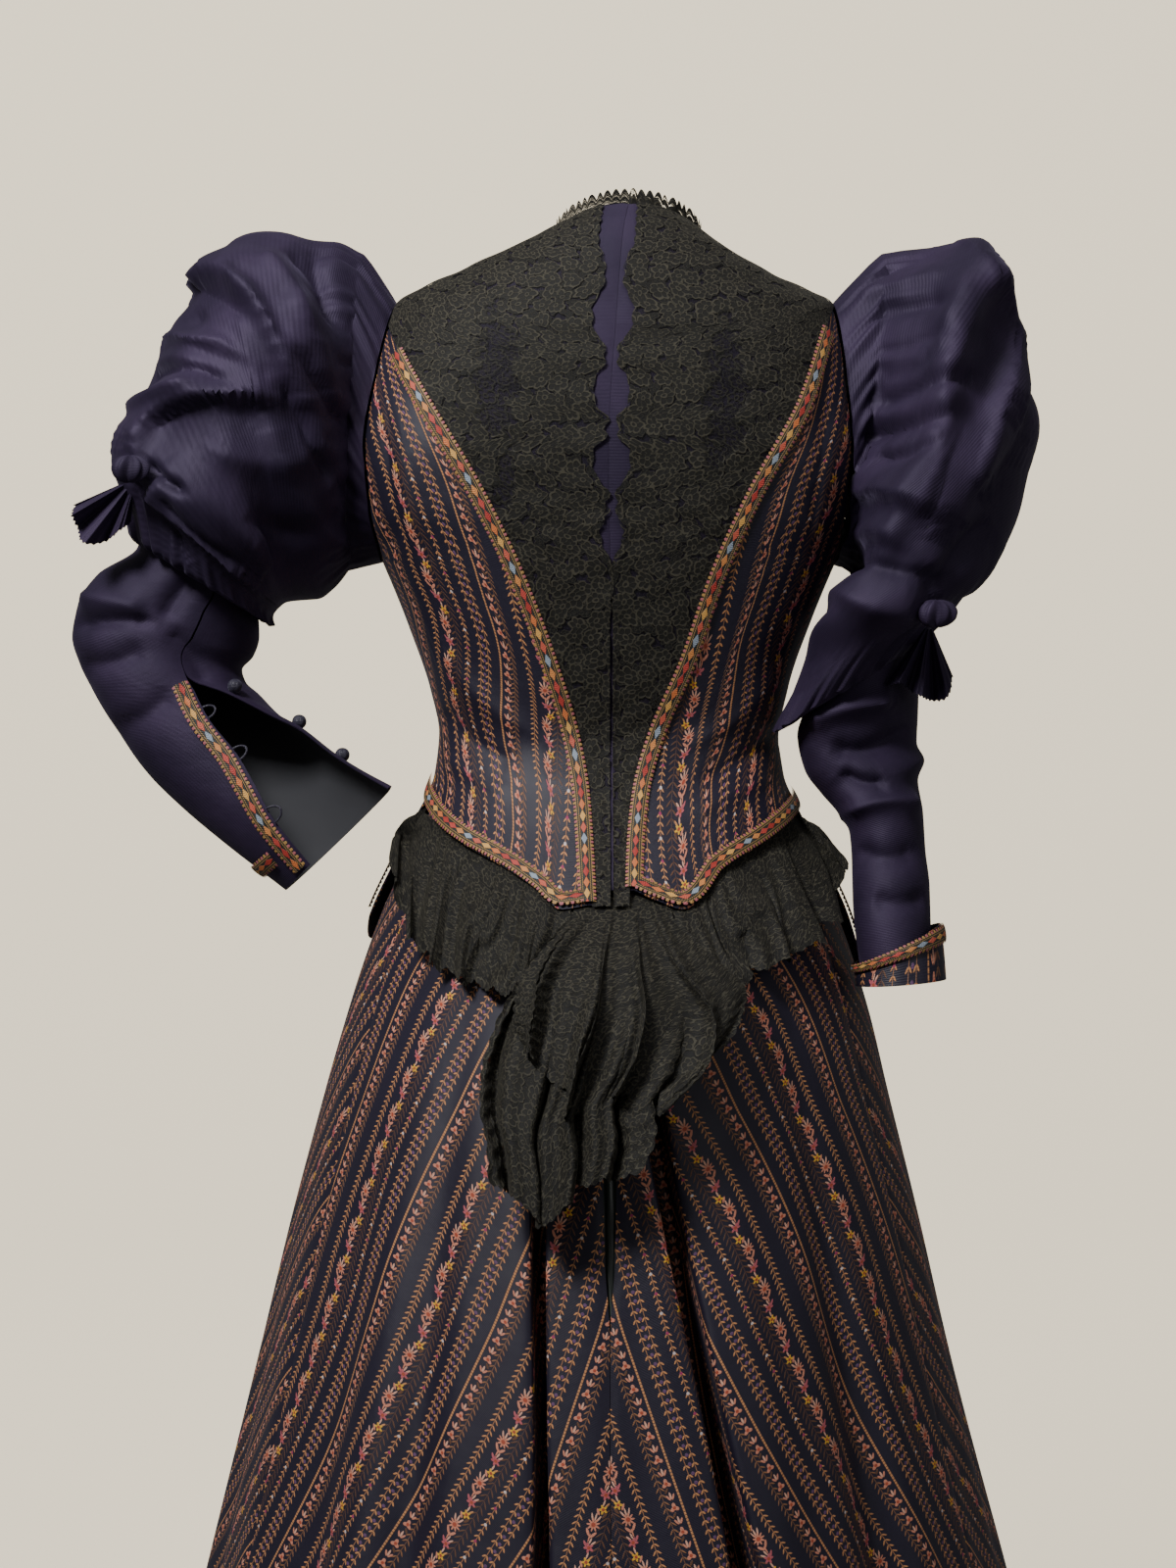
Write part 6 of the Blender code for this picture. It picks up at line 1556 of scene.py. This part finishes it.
def make_yoke():
    for side, word in SIDES:
        bottom = level_for(PLAIN_BACK_HEM, 0.0) + 0.1
        levels = np.linspace(0.05, bottom, 190)
        first, _ = yoke_angles(side, levels)
        edge = v_line(levels, side) - YOKE_UNDER_BRAID / arc_per_degree(side * v_line(levels, side), levels)
        last = side * np.maximum(edge, np.abs(first) + NARROWEST_YOKE)
        scallop = YOKE_SCALLOP * np.abs(np.sin(np.linspace(0, np.pi * YOKE_SCALLOPS, len(levels))))
        scallop = scallop * np.clip((len(levels) * 0.58 - np.arange(len(levels))) / 6.0, 0, 1)
        first = first - side * scallop / arc_per_degree(side * np.abs(first) + side, levels)
        part = np.linspace(0, 1, 40)
        angles = first[:, None] + (last - first)[:, None] * part[None, :]
        grid = torso(angles, np.repeat(levels[:, None], 40, axis=1))
        ripples = 0.0005 * np.sin(levels * 9.0)[:, None] * np.cos(part * 7.0)[None, :]
        edge_roll = 0.0007 * np.exp(-(part / 0.06) ** 2)[None, :]
        grid = grid + outward(grid) * (LACE_RISE + ripples + edge_roll)[..., None]
        cloth(f"yoke_{word}", grid, "yoke_lace", [f"yoke_lace_{word}"], shell=0.0)


NECK_SCALLOPS = 54


def make_neck_lace():
    columns = 540
    angles = np.linspace(0, 360, columns, endpoint=False)
    base = torso(angles, np.zeros(columns))
    away = unit((base - NECK_MIDDLE) * LEVEL)
    scallop = np.abs(np.sin(np.radians(angles) * NECK_SCALLOPS / 2))
    wave = 0.0009 * np.sin(np.radians(angles) * 19 + 0.5) + 0.0006 * np.sin(np.radians(angles) * 31)
    rows = 9
    lines = []
    for share in np.linspace(0, 1, rows):
        rise = -0.0030 + share * (0.0085 + 0.0045 * scallop)
        out = 0.0012 - 0.0010 * share + wave * share
        lines.append(base + away * out[:, None] + np.stack([0 * rise, 0 * rise, rise], axis=-1))
    cloth("neck_edging", np.array(lines), "lace", ["neck_lace"], closed=True, shell=0.0)


def band(name, path, normal, width, nodes):
    """Braid with a rounded face along a path that lies on the cloth."""
    tangent = np.gradient(path, axis=0)
    tangent /= np.linalg.norm(tangent, axis=1, keepdims=True)
    side = np.cross(normal, tangent)
    side /= np.linalg.norm(side, axis=1, keepdims=True)
    up = np.cross(tangent, side)
    across = np.linspace(-0.5, 0.5, BRAID_COLUMNS)
    dome = BRAID_DOME * (1 - (2 * np.abs(across)) ** 3)
    grid = path[:, None] + side[:, None] * (across * width)[None, :, None] + up[:, None] * dome[None, :, None]
    run = np.concatenate([[0], np.cumsum(np.linalg.norm(np.diff(path, axis=0), axis=1))])
    runs = np.repeat(run[:, None], BRAID_COLUMNS, axis=1)
    places = np.stack([runs, np.repeat((across * width)[None, :], len(path), axis=0)], axis=-1)
    away = np.repeat(up[:, None], BRAID_COLUMNS, axis=1)
    return cloth(name, grid, "braid", nodes, away=away, places=places, shell=0.0)


BRAID_VISUAL_WIDTH = 0.0132


def laid_braid(name, angles, levels, count, nodes, more_rise=0.0):
    fine = torso(angles, levels)
    spots = evened(fine, count)
    places = np.arange(len(angles))
    angle = np.interp(spots, places, angles)
    level = np.interp(spots, places, levels)
    path = torso(angle, level)
    normal = torso_normal(angle, level)
    normal *= np.sign((normal * path * LEVEL).sum())
    path = path + normal * (BRAID_RISE + more_rise)
    return band(name, path, normal, BRAID_VISUAL_WIDTH, nodes)


def make_bodice_braids():
    for side, word in SIDES:
        levels = np.linspace(apex_level(side) + 0.30, hem_level(side, 0.0) - 0.02, 200)
        laid_braid(f"v_trim_{word}", side * v_line(levels, side), levels, 170, [f"v_braid_{word}"])
        across = np.linspace(0.012, 1.0, 120)
        hem_levels = np.array([hem_level(side, q) for q in across])
        angles = side * spread(v_line(hem_levels, side), SIDE_SEAM, across)
        laid_braid(f"hem_trim_{word}", angles, hem_levels - 0.17, 110, [f"hem_braid_{word}"],
                   0.0005)
        basque_top = level_for(BASQUE_BRAID_TOP + 0.004, SIDE_SEAM)
        levels = np.linspace(basque_top, front_hem_level(side, 0.0) - 0.03, 40)
        laid_braid(f"basque_trim_{word}", side * (SIDE_SEAM + BASQUE_BRAID_ANGLE + 0 * levels), levels, 50,
                   [f"basque_braid_{word}"])


TRIM_OPENING_INSET = 8.5
TRIM_OPENING_SECTIONS = (5.65, 10.95)
TRIM_WRIST_SECTION = 10.58
TRIM_WRIST_INSET = 16.0


def make_sleeve_braids():
    spots = np.linspace(*TRIM_OPENING_SECTIONS, 150)
    edge = open_angles(spots, 2)[:, 1] - 360.0
    angles = edge - TRIM_OPENING_INSET
    line = section_rings(UNDER_LEFT, spots, angles[:, None])[:, 0]
    beside = section_rings(UNDER_LEFT, spots, (angles - BESIDE_ANGLE)[:, None])[:, 0]
    normal = np.cross(np.gradient(line, axis=0), beside - line)
    normal = unit(normal * np.sign(-normal[:, 1:2]))
    band("opening_trim_left", line + normal * BRAID_RISE, normal, BRAID_VISUAL_WIDTH, ["opening_braid_left"])
    angles = np.linspace(edge[-1] - TRIM_WRIST_INSET, WRIST_BRAID_LAST, 90)[:, None]
    line = section_rings(UNDER_LEFT, np.full(90, TRIM_WRIST_SECTION), angles)[:, 0]
    beside = section_rings(UNDER_LEFT, np.full(90, WRIST_BESIDE_SECTION), angles)[:, 0]
    normal = np.cross(np.gradient(line, axis=0), beside - line)
    way = line - under_left_centre(TRIM_WRIST_SECTION)
    normal = unit(normal * np.sign((normal * way).sum(axis=1, keepdims=True)))
    band("wrist_trim_left", line + normal * BRAID_RISE, normal, BRAID_VISUAL_WIDTH, ["wrist_braid_left"])
    angles = np.linspace(0, 360, 200, endpoint=False)
    rows = 11
    grid = section_rings(CUFF_RIGHT, np.linspace(0.0, 0.70, rows), angles)
    dome = BRAID_DOME * (1 - (2 * np.abs(np.linspace(-0.5, 0.5, rows))) ** 3)
    grid = grid + outward(grid, True) * (BRAID_RISE + dome)[:, None, None]
    whole = np.concatenate([grid, grid[:, :1]], axis=1)
    run = flat_places(whole)[..., 0]
    across = np.repeat(np.linspace(-0.5, 0.5, rows)[:, None] * BRAID_WIDTH * 1.05, 201, axis=1)
    cloth("cuff_trim_right", grid, "braid", ["cuff_braid_right"], closed=True, shell=0.0,
          places=np.stack([run, across], axis=-1))


# Skirt pieces: angles of their seams from the centre back, and columns
SKIRT_GORES = (
    ("gore_back_left", "skirt_back_left", -62.0, 0.0, 210),
    ("gore_back_right", "skirt_back_right", 0.0, 62.0, 210),
    ("gore_side_left", "skirt_side_left", -128.0, -62.0, 96),
    ("gore_side_right", "skirt_side_right", 62.0, 128.0, 96),
    ("gore_front", "skirt_front", 128.0, 232.0, 110),
)
# Slope of the stripes from level, beside the placket and beyond the deep folds
INNER_SLOPE = 71.0
OUTER_SLOPE = 52.0
SIDE_SLOPE = 48.0
FRONT_SLOPE = 62.0
INNER_PHASE = 0.012
OUTER_PHASE = {-1: 0.030, 1: 0.046}


def slanted(u, v, slope, phase):
    """Flat coordinates of stripes that slope away from the centre back."""
    turn = math.radians(slope)
    across = u * math.sin(turn) - v * math.cos(turn) + phase
    return np.stack([across, u * math.cos(turn) + v * math.sin(turn)], axis=-1)


# The cloth leans over the mouth of each deep fold: place in fold widths, its reach and how far in metres
LIP_AT = 1.30
LIP_REACH = 0.38
LIP = 0.0085
DEEP_FOLDS = 2
DEEP_ENOUGH = 0.045


def leaned(angle, z):
    """Angles moved toward the deep folds beside their mouths."""
    moved = angle.copy()
    for fold in FOLDS[:DEEP_FOLDS]:
        centre, width, depth, _ = fold_state(fold, z)
        place = (angle - centre) / width
        lip = np.degrees(LIP / float(skirt_value("half", z))) * min(1.0, float(depth) / DEEP_ENOUGH)
        moved -= np.sign(place) * lip * np.exp(-((np.abs(place) - LIP_AT) / LIP_REACH) ** 2)
    return moved


def soft_skirt(angle, z):
    """Slight drape between the folds."""
    turn = np.radians(angle)
    low = np.clip((-0.50 - z) / 0.6, 0, 1)
    one = 0.0040 * np.sin(7 * turn + 1.0 + 2.2 * z) + 0.0028 * np.sin(13 * turn - 0.6 + 3.1 * z)
    two = 0.0016 * np.sin(29 * turn + 0.4 + 5.0 * z) + 0.0010 * np.sin(9.0 * z + 3.0 * turn)
    return (one + two) * low


def make_skirt():
    heights = np.linspace(-0.362, -1.438, SKIRT_ROWS)
    for name, node, first, last, columns in SKIRT_GORES:
        lines = []
        for z in heights:
            half = float(skirt_value("half", z))
            slit = np.degrees(max(float(slit_half(z)) - 0.0004, 0.0001) / half)
            start = first + (slit if first == 0.0 else 0.004)
            end = last - (slit if last == 0.0 else 0.004)
            angles = gathered_angles(start, end, columns, z)
            deep = skirt_depth(angles, np.full(columns, z))
            base = skirt_plain(leaned(angles, z), np.full(columns, z))
            out = unit((base - BODY_CENTRE) * LEVEL)
            lines.append(base + out * (soft_skirt(angles, z) - deep)[:, None])
        grid = seam_groove(np.array(lines))
        side = -1 if first < 0 else 1
        flat = flat_places(grid)
        u, v = flat[..., 0], flat[..., 1]
        if side < 0:
            u = u[:, -1:] - u
        if node.startswith("skirt_back"):
            inner = slanted(u, v, INNER_SLOPE, INNER_PHASE)
            outer = slanted(u, v, OUTER_SLOPE, OUTER_PHASE[side])
            edge = FOLDS[0] if side < 0 else FOLDS[1]
            valley = np.array([abs(float(fold_state(edge, z)[0])) for z in heights])
            part_across = (grid[..., 0] + 0.004) / skirt_value("half", heights)[:, None]
            room = np.abs(np.degrees(np.arcsin(np.clip(part_across, -1, 1))))
            make_back_gore(name, node, grid, inner, outer, room, valley)
            continue
        if node == "skirt_front":
            middle = flat[:, grid.shape[1] // 2, 0][:, None]
            places = slanted(np.abs(flat[..., 0] - middle), v, FRONT_SLOPE, 0.0)
        else:
            places = slanted(u, v, SIDE_SLOPE, 0.020)
        cloth(name, grid, "brocade", [node], places=places)


def make_back_gore(name, node, grid, inner, outer, room, valley):
    """Back gore whose stripes change direction in its deep fold."""
    rows, columns = grid.shape[:2]
    away = outward(grid)
    flip = float((normals_of(grid) * away).sum()) < 0
    quads, flats = grid_corners(rows, columns, False, flip)
    first = inner.reshape(-1, 2)[flats]
    second = outer.reshape(-1, 2)[flats]
    angle = room.reshape(-1)[flats].mean(axis=1)
    limit = np.repeat(valley[:, None], columns, axis=1).reshape(-1)[flats].mean(axis=1)
    places = np.where((angle < limit)[:, None, None], first, second)
    made = mesh_piece(name, grid.reshape(-1, 3), quads.tolist(), places.reshape(-1, 2), ["brocade", "lining"],
                      [node])
    add_wall(made, SHELL, True)
    across = float(np.linalg.norm(np.diff(grid, axis=1), axis=2).sum(axis=1).max())
    down = float(np.linalg.norm(np.diff(grid, axis=0), axis=2).sum(axis=0).max())
    min(grid_area(grid), across * down)


def make_placket():
    part = np.linspace(-1, 1, 24)
    lines = []
    for z in np.linspace(PLACKET_TOP, PLACKET_BOTTOM, 120):
        half = float(slit_half(z)) + PLACKET_OVERLAP
        points = skirt(np.degrees(part * half / float(skirt_value("half", z))), np.full(24, z))
        points[:, 1] += 0.0046 + 0.0010 * np.sin(part * 9.0 + 12.0 * z)
        lines.append(points)
    cloth("placket_lining", np.array(lines), "placket", ["placket_facing"], inner=None)


# Lace ruffles: waves across, their shift and share
RUFFLE_WAVES = ((1.0, 0.0, 0.72), (2.3, 0.8, 0.24), (3.7, 2.1, 0.12))
PEPLUM_FINE_WAVES = 5
PEPLUM_SWAY = 0.055
LACE_SCALLOP = 0.0055


def ruffle(part, turns):
    """Uneven frill: waves of the gathered edge at a place across it."""
    return sum(share * np.cos(part * 2 * np.pi * turns * times + shift)
               for times, shift, share in RUFFLE_WAVES)


def make_peplum(side, word, table):
    columns, rows = PEPLUM_GRID
    across = np.linspace(0.0, 1.0, columns)
    value = {n: looked_up(table, PEPLUM_COLUMNS, "across", n, across) for n in PEPLUM_COLUMNS}
    v_bottom = float(v_angle(np.array([hem_level(side, 0.0)]), side)[0])
    angles = np.abs(angle_for(value["top_x"], PEPLUM_LEVEL + 0 * across))
    share_across = np.clip((angles - v_bottom) / (SIDE_SEAM - v_bottom), 0, 1)
    levels = np.array([hem_level(side, q) for q in share_across])
    top = torso(angle_for(value["top_x"], levels), levels)
    scallop = LACE_SCALLOP * np.abs(np.sin(across * np.pi * 13 + 0.4))
    scallop = scallop + 0.0016 * np.abs(np.sin(across * np.pi * 61))
    lines = []
    for share in np.linspace(0, 1, rows):
        z = spread(top[:, 2] + 0.004, value["edge_z"] + 0.003 - scallop, share)
        grow = share ** 0.8
        swayed = across + PEPLUM_SWAY * np.sin(5.0 * across + 2.6 * share)
        swayed = swayed + 0.02 * np.sin(17 * across + 5 * share)
        wave = ruffle(swayed, PEPLUM_FINE_WAVES) + 0.16 * np.cos(swayed * 2 * np.pi * 19 + 3.0 * share)
        aside = 0.004 * grow * np.sin(swayed * 2 * np.pi * PEPLUM_FINE_WAVES + 1.0)
        x = spread(top[:, 0], value["edge_x"], share) + aside
        lines.append(off_skirt(x, z, 0.0062 + 1.15 * value["flare"] * grow + 0.0085 * grow * wave))
    cloth(f"peplum_{word}", np.array(lines), "ruffle_lace", [f"peplum_lace_{word}"], shell=0.0)


# Lace tail: a long fall and a shorter, wider one over it. Left and right edge and lift at shares of
# the length
FALL_COLUMNS = ("share", "left_x", "right_x", "lift")
LONG_FALL = (
    (0.00, -0.030, 0.034, 0.0080),
    (0.14, -0.050, 0.040, 0.019),
    (0.28, -0.064, 0.036, 0.025),
    (0.42, -0.076, 0.032, 0.028),
    (0.60, -0.084, 0.024, 0.031),
    (0.72, -0.084, 0.013, 0.033),
    (0.84, -0.080, 0.015, 0.035),
    (1.00, -0.075, 0.008, 0.036),
)
SHORT_FALL = (
    (0.00, -0.028, 0.036, 0.0110),
    (0.25, -0.046, 0.054, 0.031),
    (0.50, -0.060, 0.073, 0.039),
    (0.75, -0.062, 0.064, 0.041),
    (1.00, -0.056, 0.034, 0.041),
)
UNDER_HEM = -0.452
UNDER_HEM_ROWS = 7
UNDER_HEM_LIFT = 0.0012


def long_bottom(part):
    return -0.642 - 0.028 * np.exp(-((part - 0.38) / 0.15) ** 2) + 0.006 * part


def short_bottom(part):
    return -0.560 - 0.024 * np.sin(np.pi * part) - 0.016 * part + 0.010 * np.sin(part * 13.0)


def make_fall(name, table, bottom, waves, deep_most, shift, scallops):
    """Gathered lace that fans out from below the bodice point."""
    columns, rows = FALL_GRID
    part = np.linspace(0, 1, columns)
    scallop = LACE_SCALLOP * np.abs(np.sin(part * np.pi * scallops + 0.3))
    scallop = scallop + 0.0018 * np.abs(np.sin(part * np.pi * scallops * 6.5))
    start = {n: float(looked_up(table, FALL_COLUMNS, "share", n, 0.0)) for n in FALL_COLUMNS}
    lines = []
    for share in np.linspace(0, 1, UNDER_HEM_ROWS)[:-1]:
        x = spread(start["left_x"], start["right_x"], part)
        z = spread(UNDER_HEM, TAIL_TOP, share) + 0 * part
        lines.append(off_skirt(x, z, spread(UNDER_HEM_LIFT, start["lift"], share ** 2) + 0 * part))
    for share in np.linspace(0, 1, rows):
        value = {n: float(looked_up(table, FALL_COLUMNS, "share", n, share)) for n in FALL_COLUMNS}
        z = spread(TAIL_TOP, bottom(part) - scallop, share)
        swayed = part + 0.030 * np.sin(7.0 * part + 3.4 * share + shift)
        swayed = swayed + 0.012 * np.sin(19.0 * part - 6.0 * share)
        wave = ruffle(swayed + 0.1 * shift, waves)
        wave = wave + 0.20 * np.cos(swayed * 2 * np.pi * 3.4 * waves + 2.0 * share)
        edge = 0.0014 * np.abs(np.sin(share * np.pi * 14))
        grow = min(1.0, 2 * share)
        x = spread(value["left_x"] - edge, value["right_x"] + edge, part)
        x = x + 0.006 * grow * np.sin(swayed * 2 * np.pi * waves + 0.9)
        lift = value["lift"] + spread(0.0012, deep_most, min(1.0, 1.8 * share)) * wave
        lines.append(off_skirt(x, z, np.maximum(lift, 0.004)))
    cloth(name, np.array(lines), "ruffle_lace", ["lace_tail"], shell=0.0)


def make_tail():
    make_fall("jabot_tail", LONG_FALL, long_bottom, 4, 0.0115, 0.0, 8)
    make_fall("jabot_upper_fall", SHORT_FALL, short_bottom, 4, 0.0105, 1.7, 7)


def round_piece(name, at, radii, material, nodes, turn=None, dents=(), rows=40, columns=64):
    """Soft ball with named dents."""
    tall = np.linspace(0.0, np.pi, rows)[:, None]
    round_ = np.linspace(0, 2 * np.pi, columns, endpoint=False)[None, :]
    unit = np.stack([np.sin(tall) * np.cos(round_), np.sin(tall) * np.sin(round_),
                     np.cos(tall) + 0 * round_], axis=-1)
    swell = np.ones((rows, columns))
    for waves, shift, deep in dents:
        swell += deep * np.sin(waves * round_ + shift + 1.5 * tall) * np.sin(tall)
    points = unit * swell[..., None] * np.array(radii)
    if turn is not None:
        points = points @ np.array(turn).T
    grid = points + np.array(at)
    places = np.stack([np.repeat(round_, rows, axis=0) * radii[0],
                       np.repeat(tall, columns, axis=1) * radii[2]], axis=-1)
    quads, _ = grid_corners(rows, columns, True, False)
    flip = float((normals_of(grid, True) * (grid - np.array(at))).sum()) < 0
    if flip:
        quads = quads[:, ::-1]
    return mesh_piece(name, grid.reshape(-1, 3), quads.tolist(), places.reshape(-1, 2), [material],
                      nodes)


def middle_of(node):
    low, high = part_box(node)
    return np.array([(a + b) / 2 for a, b in zip(low, high)])


def make_buttons():
    for number in range(1, len(BUTTON_AT) + 1):
        node = f"sleeve_button_{number}"
        round_piece(f"ball_button_{number}", middle_of(node), (0.0052, 0.0052, 0.0052), "thread", [node],
                    dents=((8, 0.3, 0.035), (8, 1.9, 0.02)), rows=18, columns=30)


def tube(points, radius, sides=8):
    """Rings round a path."""
    tangent = np.gradient(points, axis=0)
    tangent /= np.linalg.norm(tangent, axis=1, keepdims=True)
    aside = np.cross(tangent, np.array([0.1, 0.2, 1.0]))
    aside /= np.linalg.norm(aside, axis=1, keepdims=True)
    other = np.cross(tangent, aside)
    turn = np.linspace(0, 2 * np.pi, sides, endpoint=False)
    ring = aside[:, None] * np.cos(turn)[None, :, None] + other[:, None] * np.sin(turn)[None, :, None]
    return points[:, None] + radius * ring


# Thread loops on the braid edge: section along the sleeve and reach
LOOPS = ((6.75, 0.0075), (8.15, 0.0080), (9.95, 0.0090))
LOOP_RADIUS = 0.0008


def make_loops():
    points, faces, places = [], [], []
    for section, reach in LOOPS:
        spots = np.array([section - 0.17, section + 0.17])
        edge = open_angles(spots, 2)[:, 1]
        ends = section_rings(UNDER_LEFT, spots, edge[:, None])[:, 0]
        _, normal = under_left_normal(section, float(edge.mean()) - 8.0)
        along = ends[1] - ends[0]
        aside = np.cross(normal, along)
        aside /= np.linalg.norm(aside)
        inside = section_rings(UNDER_LEFT, np.array([section]), np.array([[float(edge.mean()) - 6.0]]))[0, 0]
        if np.dot(aside, ends.mean(axis=0) - inside) < 0:
            aside = -aside
        turn = np.linspace(0, np.pi, 18)
        path = ends.mean(axis=0) - np.outer(np.cos(turn), along / 2) + np.outer(np.sin(turn), aside * reach)
        path = path + normal * 0.0016
        rings = tube(path, LOOP_RADIUS)
        base = len(points)
        quads, _ = grid_corners(len(path), rings.shape[1], True, False)
        points += rings.reshape(-1, 3).tolist()
        faces += (quads + base).tolist()
        places += np.zeros((rings.shape[0] * rings.shape[1], 2)).tolist()
    made = mesh_piece("thread_loops", points, faces, places, ["thread"], [])
    return made


FLOUNCE_SHARE = 0.88


def make_flounce(word):
    root, first_ray, last_ray, lengths = (np.array(item) for item in FLOUNCES[word])
    low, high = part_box(f"elbow_flounce_{word}")
    knot = middle_of(f"elbow_knot_{word}")
    columns, rows = FLOUNCE_GRID
    part = np.linspace(0, 1, columns)
    rays = spread(first_ray[None, :], last_ray[None, :], part[:, None])
    rays = rays / np.linalg.norm(rays, axis=1, keepdims=True)
    reach = smooth(np.linspace(0, 1, len(lengths)), lengths, part)
    reach = FLOUNCE_SHARE * reach - 0.0016 * np.abs(np.sin(part * np.pi * 22))
    toward = np.array([0.0, -1.0, 0.0])
    lines = []
    for share in np.linspace(0, 1, rows):
        wave = -np.cos(part * 2 * np.pi * FLOUNCE_PLEATS) * (0.0004 + 0.13 * reach * share)
        wave = wave + 0.0012 * share * np.cos(part * 2 * np.pi * 11 + 0.6)
        run = spread(0.006, reach, share)
        lines.append(root + rays * run[:, None] + np.outer(wave, toward))
    grid = np.array(lines)
    grid[..., 1] += 0.5 * (low[1] + high[1]) - 0.5 * (grid[..., 1].min() + grid[..., 1].max())
    away = np.broadcast_to(toward, grid.shape).copy()
    cloth(f"flounce_{word}", grid, "silk", [f"elbow_flounce_{word}"], away=away, shell=0.0005)
    size = (0.95 * KNOT_SIZE[0], 0.80 * KNOT_SIZE[1], 0.95 * KNOT_SIZE[2])
    round_piece(f"knot_{word}", knot, size, "silk", [f"elbow_knot_{word}"],
                dents=((7, 0.4, 0.13), (4, 1.0, 0.10), (11, 2.2, 0.06)))


def make_light(name, kind, place, toward, energy, size=1.0, colour=(1, 1, 1)):
    data = bpy.data.lights.new(name, kind)
    data.energy = energy
    data.color = colour
    if kind == "AREA":
        data.shape = "RECTANGLE"
        data.size, data.size_y = size if isinstance(size, tuple) else (size, size)
    made = bpy.data.objects.new(name, data)
    bpy.context.scene.collection.objects.link(made)
    made.location = place
    aim = np.array(toward, dtype=float) - np.array(place, dtype=float)
    made.rotation_euler = direction_turn(aim)
    return made


def direction_turn(aim):
    """Turn that points an object's -Z along a direction, with its Y up."""
    return Vector(aim).to_track_quat("-Z", "Y").to_euler()


# Studio: places and strengths of the lamps
KEY = ((-1.15, -1.50, 1.30), (0.0, 0.0, -0.18), 72.0, (0.6, 0.6))
FILL = ((2.2, -2.4, 0.5), (0.0, 0.0, -0.4), 10.0, (1.6, 2.0))
TOP = ((0.0, -0.6, 1.9), (0.0, 0.0, -0.3), 14.0, (1.2, 1.2))
BACK_SWEEP = 1.70
SWEEP_RADIUS = 0.5
SWEEP_HALF = 4.0
SWEEP_TOP = 2.6
BACKDROP_COLOUR = (0.67, 0.590, 0.440)
BACKDROP_GLOW = 1.55
WORLD_STRENGTH = 0.14


def make_stage():
    """Floor that curves up into a backdrop."""
    flat = np.array([[-6.0, FLOOR_Z], [BACK_SWEEP - SWEEP_RADIUS, FLOOR_Z]])
    turn = np.linspace(0, np.pi / 2, 24)[1:]
    curve = np.stack([BACK_SWEEP - SWEEP_RADIUS + SWEEP_RADIUS * np.sin(turn),
                      FLOOR_Z + SWEEP_RADIUS * (1 - np.cos(turn))], axis=-1)
    profile = np.concatenate([flat, curve, [[BACK_SWEEP, SWEEP_TOP]]])
    points = [(x, y, z) for x in (-SWEEP_HALF, SWEEP_HALF) for y, z in profile]
    count = len(profile)
    faces = [(i, i + 1, count + i + 1, count + i) for i in range(count - 1)]
    mesh = bpy.data.meshes.new("backdrop")
    mesh.from_pydata([tuple(map(float, p)) for p in points], [], faces)
    mesh.shade_smooth()
    pale = stage_material("pale_backdrop", BACKDROP_COLOUR, 0.9)
    shader = pale.node_tree.nodes["Principled BSDF"]
    shader.inputs["Emission Color"].default_value = (*BACKDROP_COLOUR, 1.0)
    shader.inputs["Emission Strength"].default_value = BACKDROP_GLOW
    mesh.materials.append(pale)
    made = bpy.data.objects.new("backdrop", mesh)
    bpy.context.scene.collection.objects.link(made)
    made.visible_diffuse = False
    made.visible_glossy = False
    world = bpy.data.worlds.new("studio")
    world.use_nodes = True
    world.node_tree.nodes["Background"].inputs[0].default_value = (1.0, 0.97, 0.95, 1.0)
    world.node_tree.nodes["Background"].inputs[1].default_value = WORLD_STRENGTH
    bpy.context.scene.world = world


def make_camera():
    data = bpy.data.cameras.new("camera")
    data.lens = LENS
    data.sensor_fit = "VERTICAL"
    data.sensor_height = LONG_SIDE
    data.sensor_width = LONG_SIDE
    data.dof.use_dof = False
    made = bpy.data.objects.new("camera", data)
    bpy.context.scene.collection.objects.link(made)
    made.location = (AIM[0], AIM[1] - CAMERA_DISTANCE, AIM[2])
    made.rotation_euler = (math.pi / 2, 0.0, 0.0)
    bpy.context.scene.camera = made


SHADES.update(
    silk=silk_material(), lining=lining_material(), placket=placket_material(), brocade=brocade_material(),
    lace=lace_material(), yoke_lace=lace_material("yoke_guipure_lace", True),
    ruffle_lace=lace_material("gathered_guipure_lace", dense=True), braid=braid_material(),
    thread=thread_material("button_thread", (0.018, 0.015, 0.030)),
)
make_bodice()
make_yoke()
make_neck_lace()
make_bodice_braids()
make_skirt()
make_placket()
make_sleeves()
make_sleeve_braids()
make_buttons()
make_loops()
make_flounce("left")
make_flounce("right")
make_peplum(-1, "left", PEPLUM_LEFT)
make_peplum(1, "right", PEPLUM_RIGHT)
make_tail()
make_stage()
make_camera()
make_light("key", "AREA", KEY[0], KEY[1], KEY[2], KEY[3])
make_light("fill", "AREA", FILL[0], FILL[1], FILL[2], FILL[3])
make_light("top", "AREA", TOP[0], TOP[1], TOP[2], TOP[3])
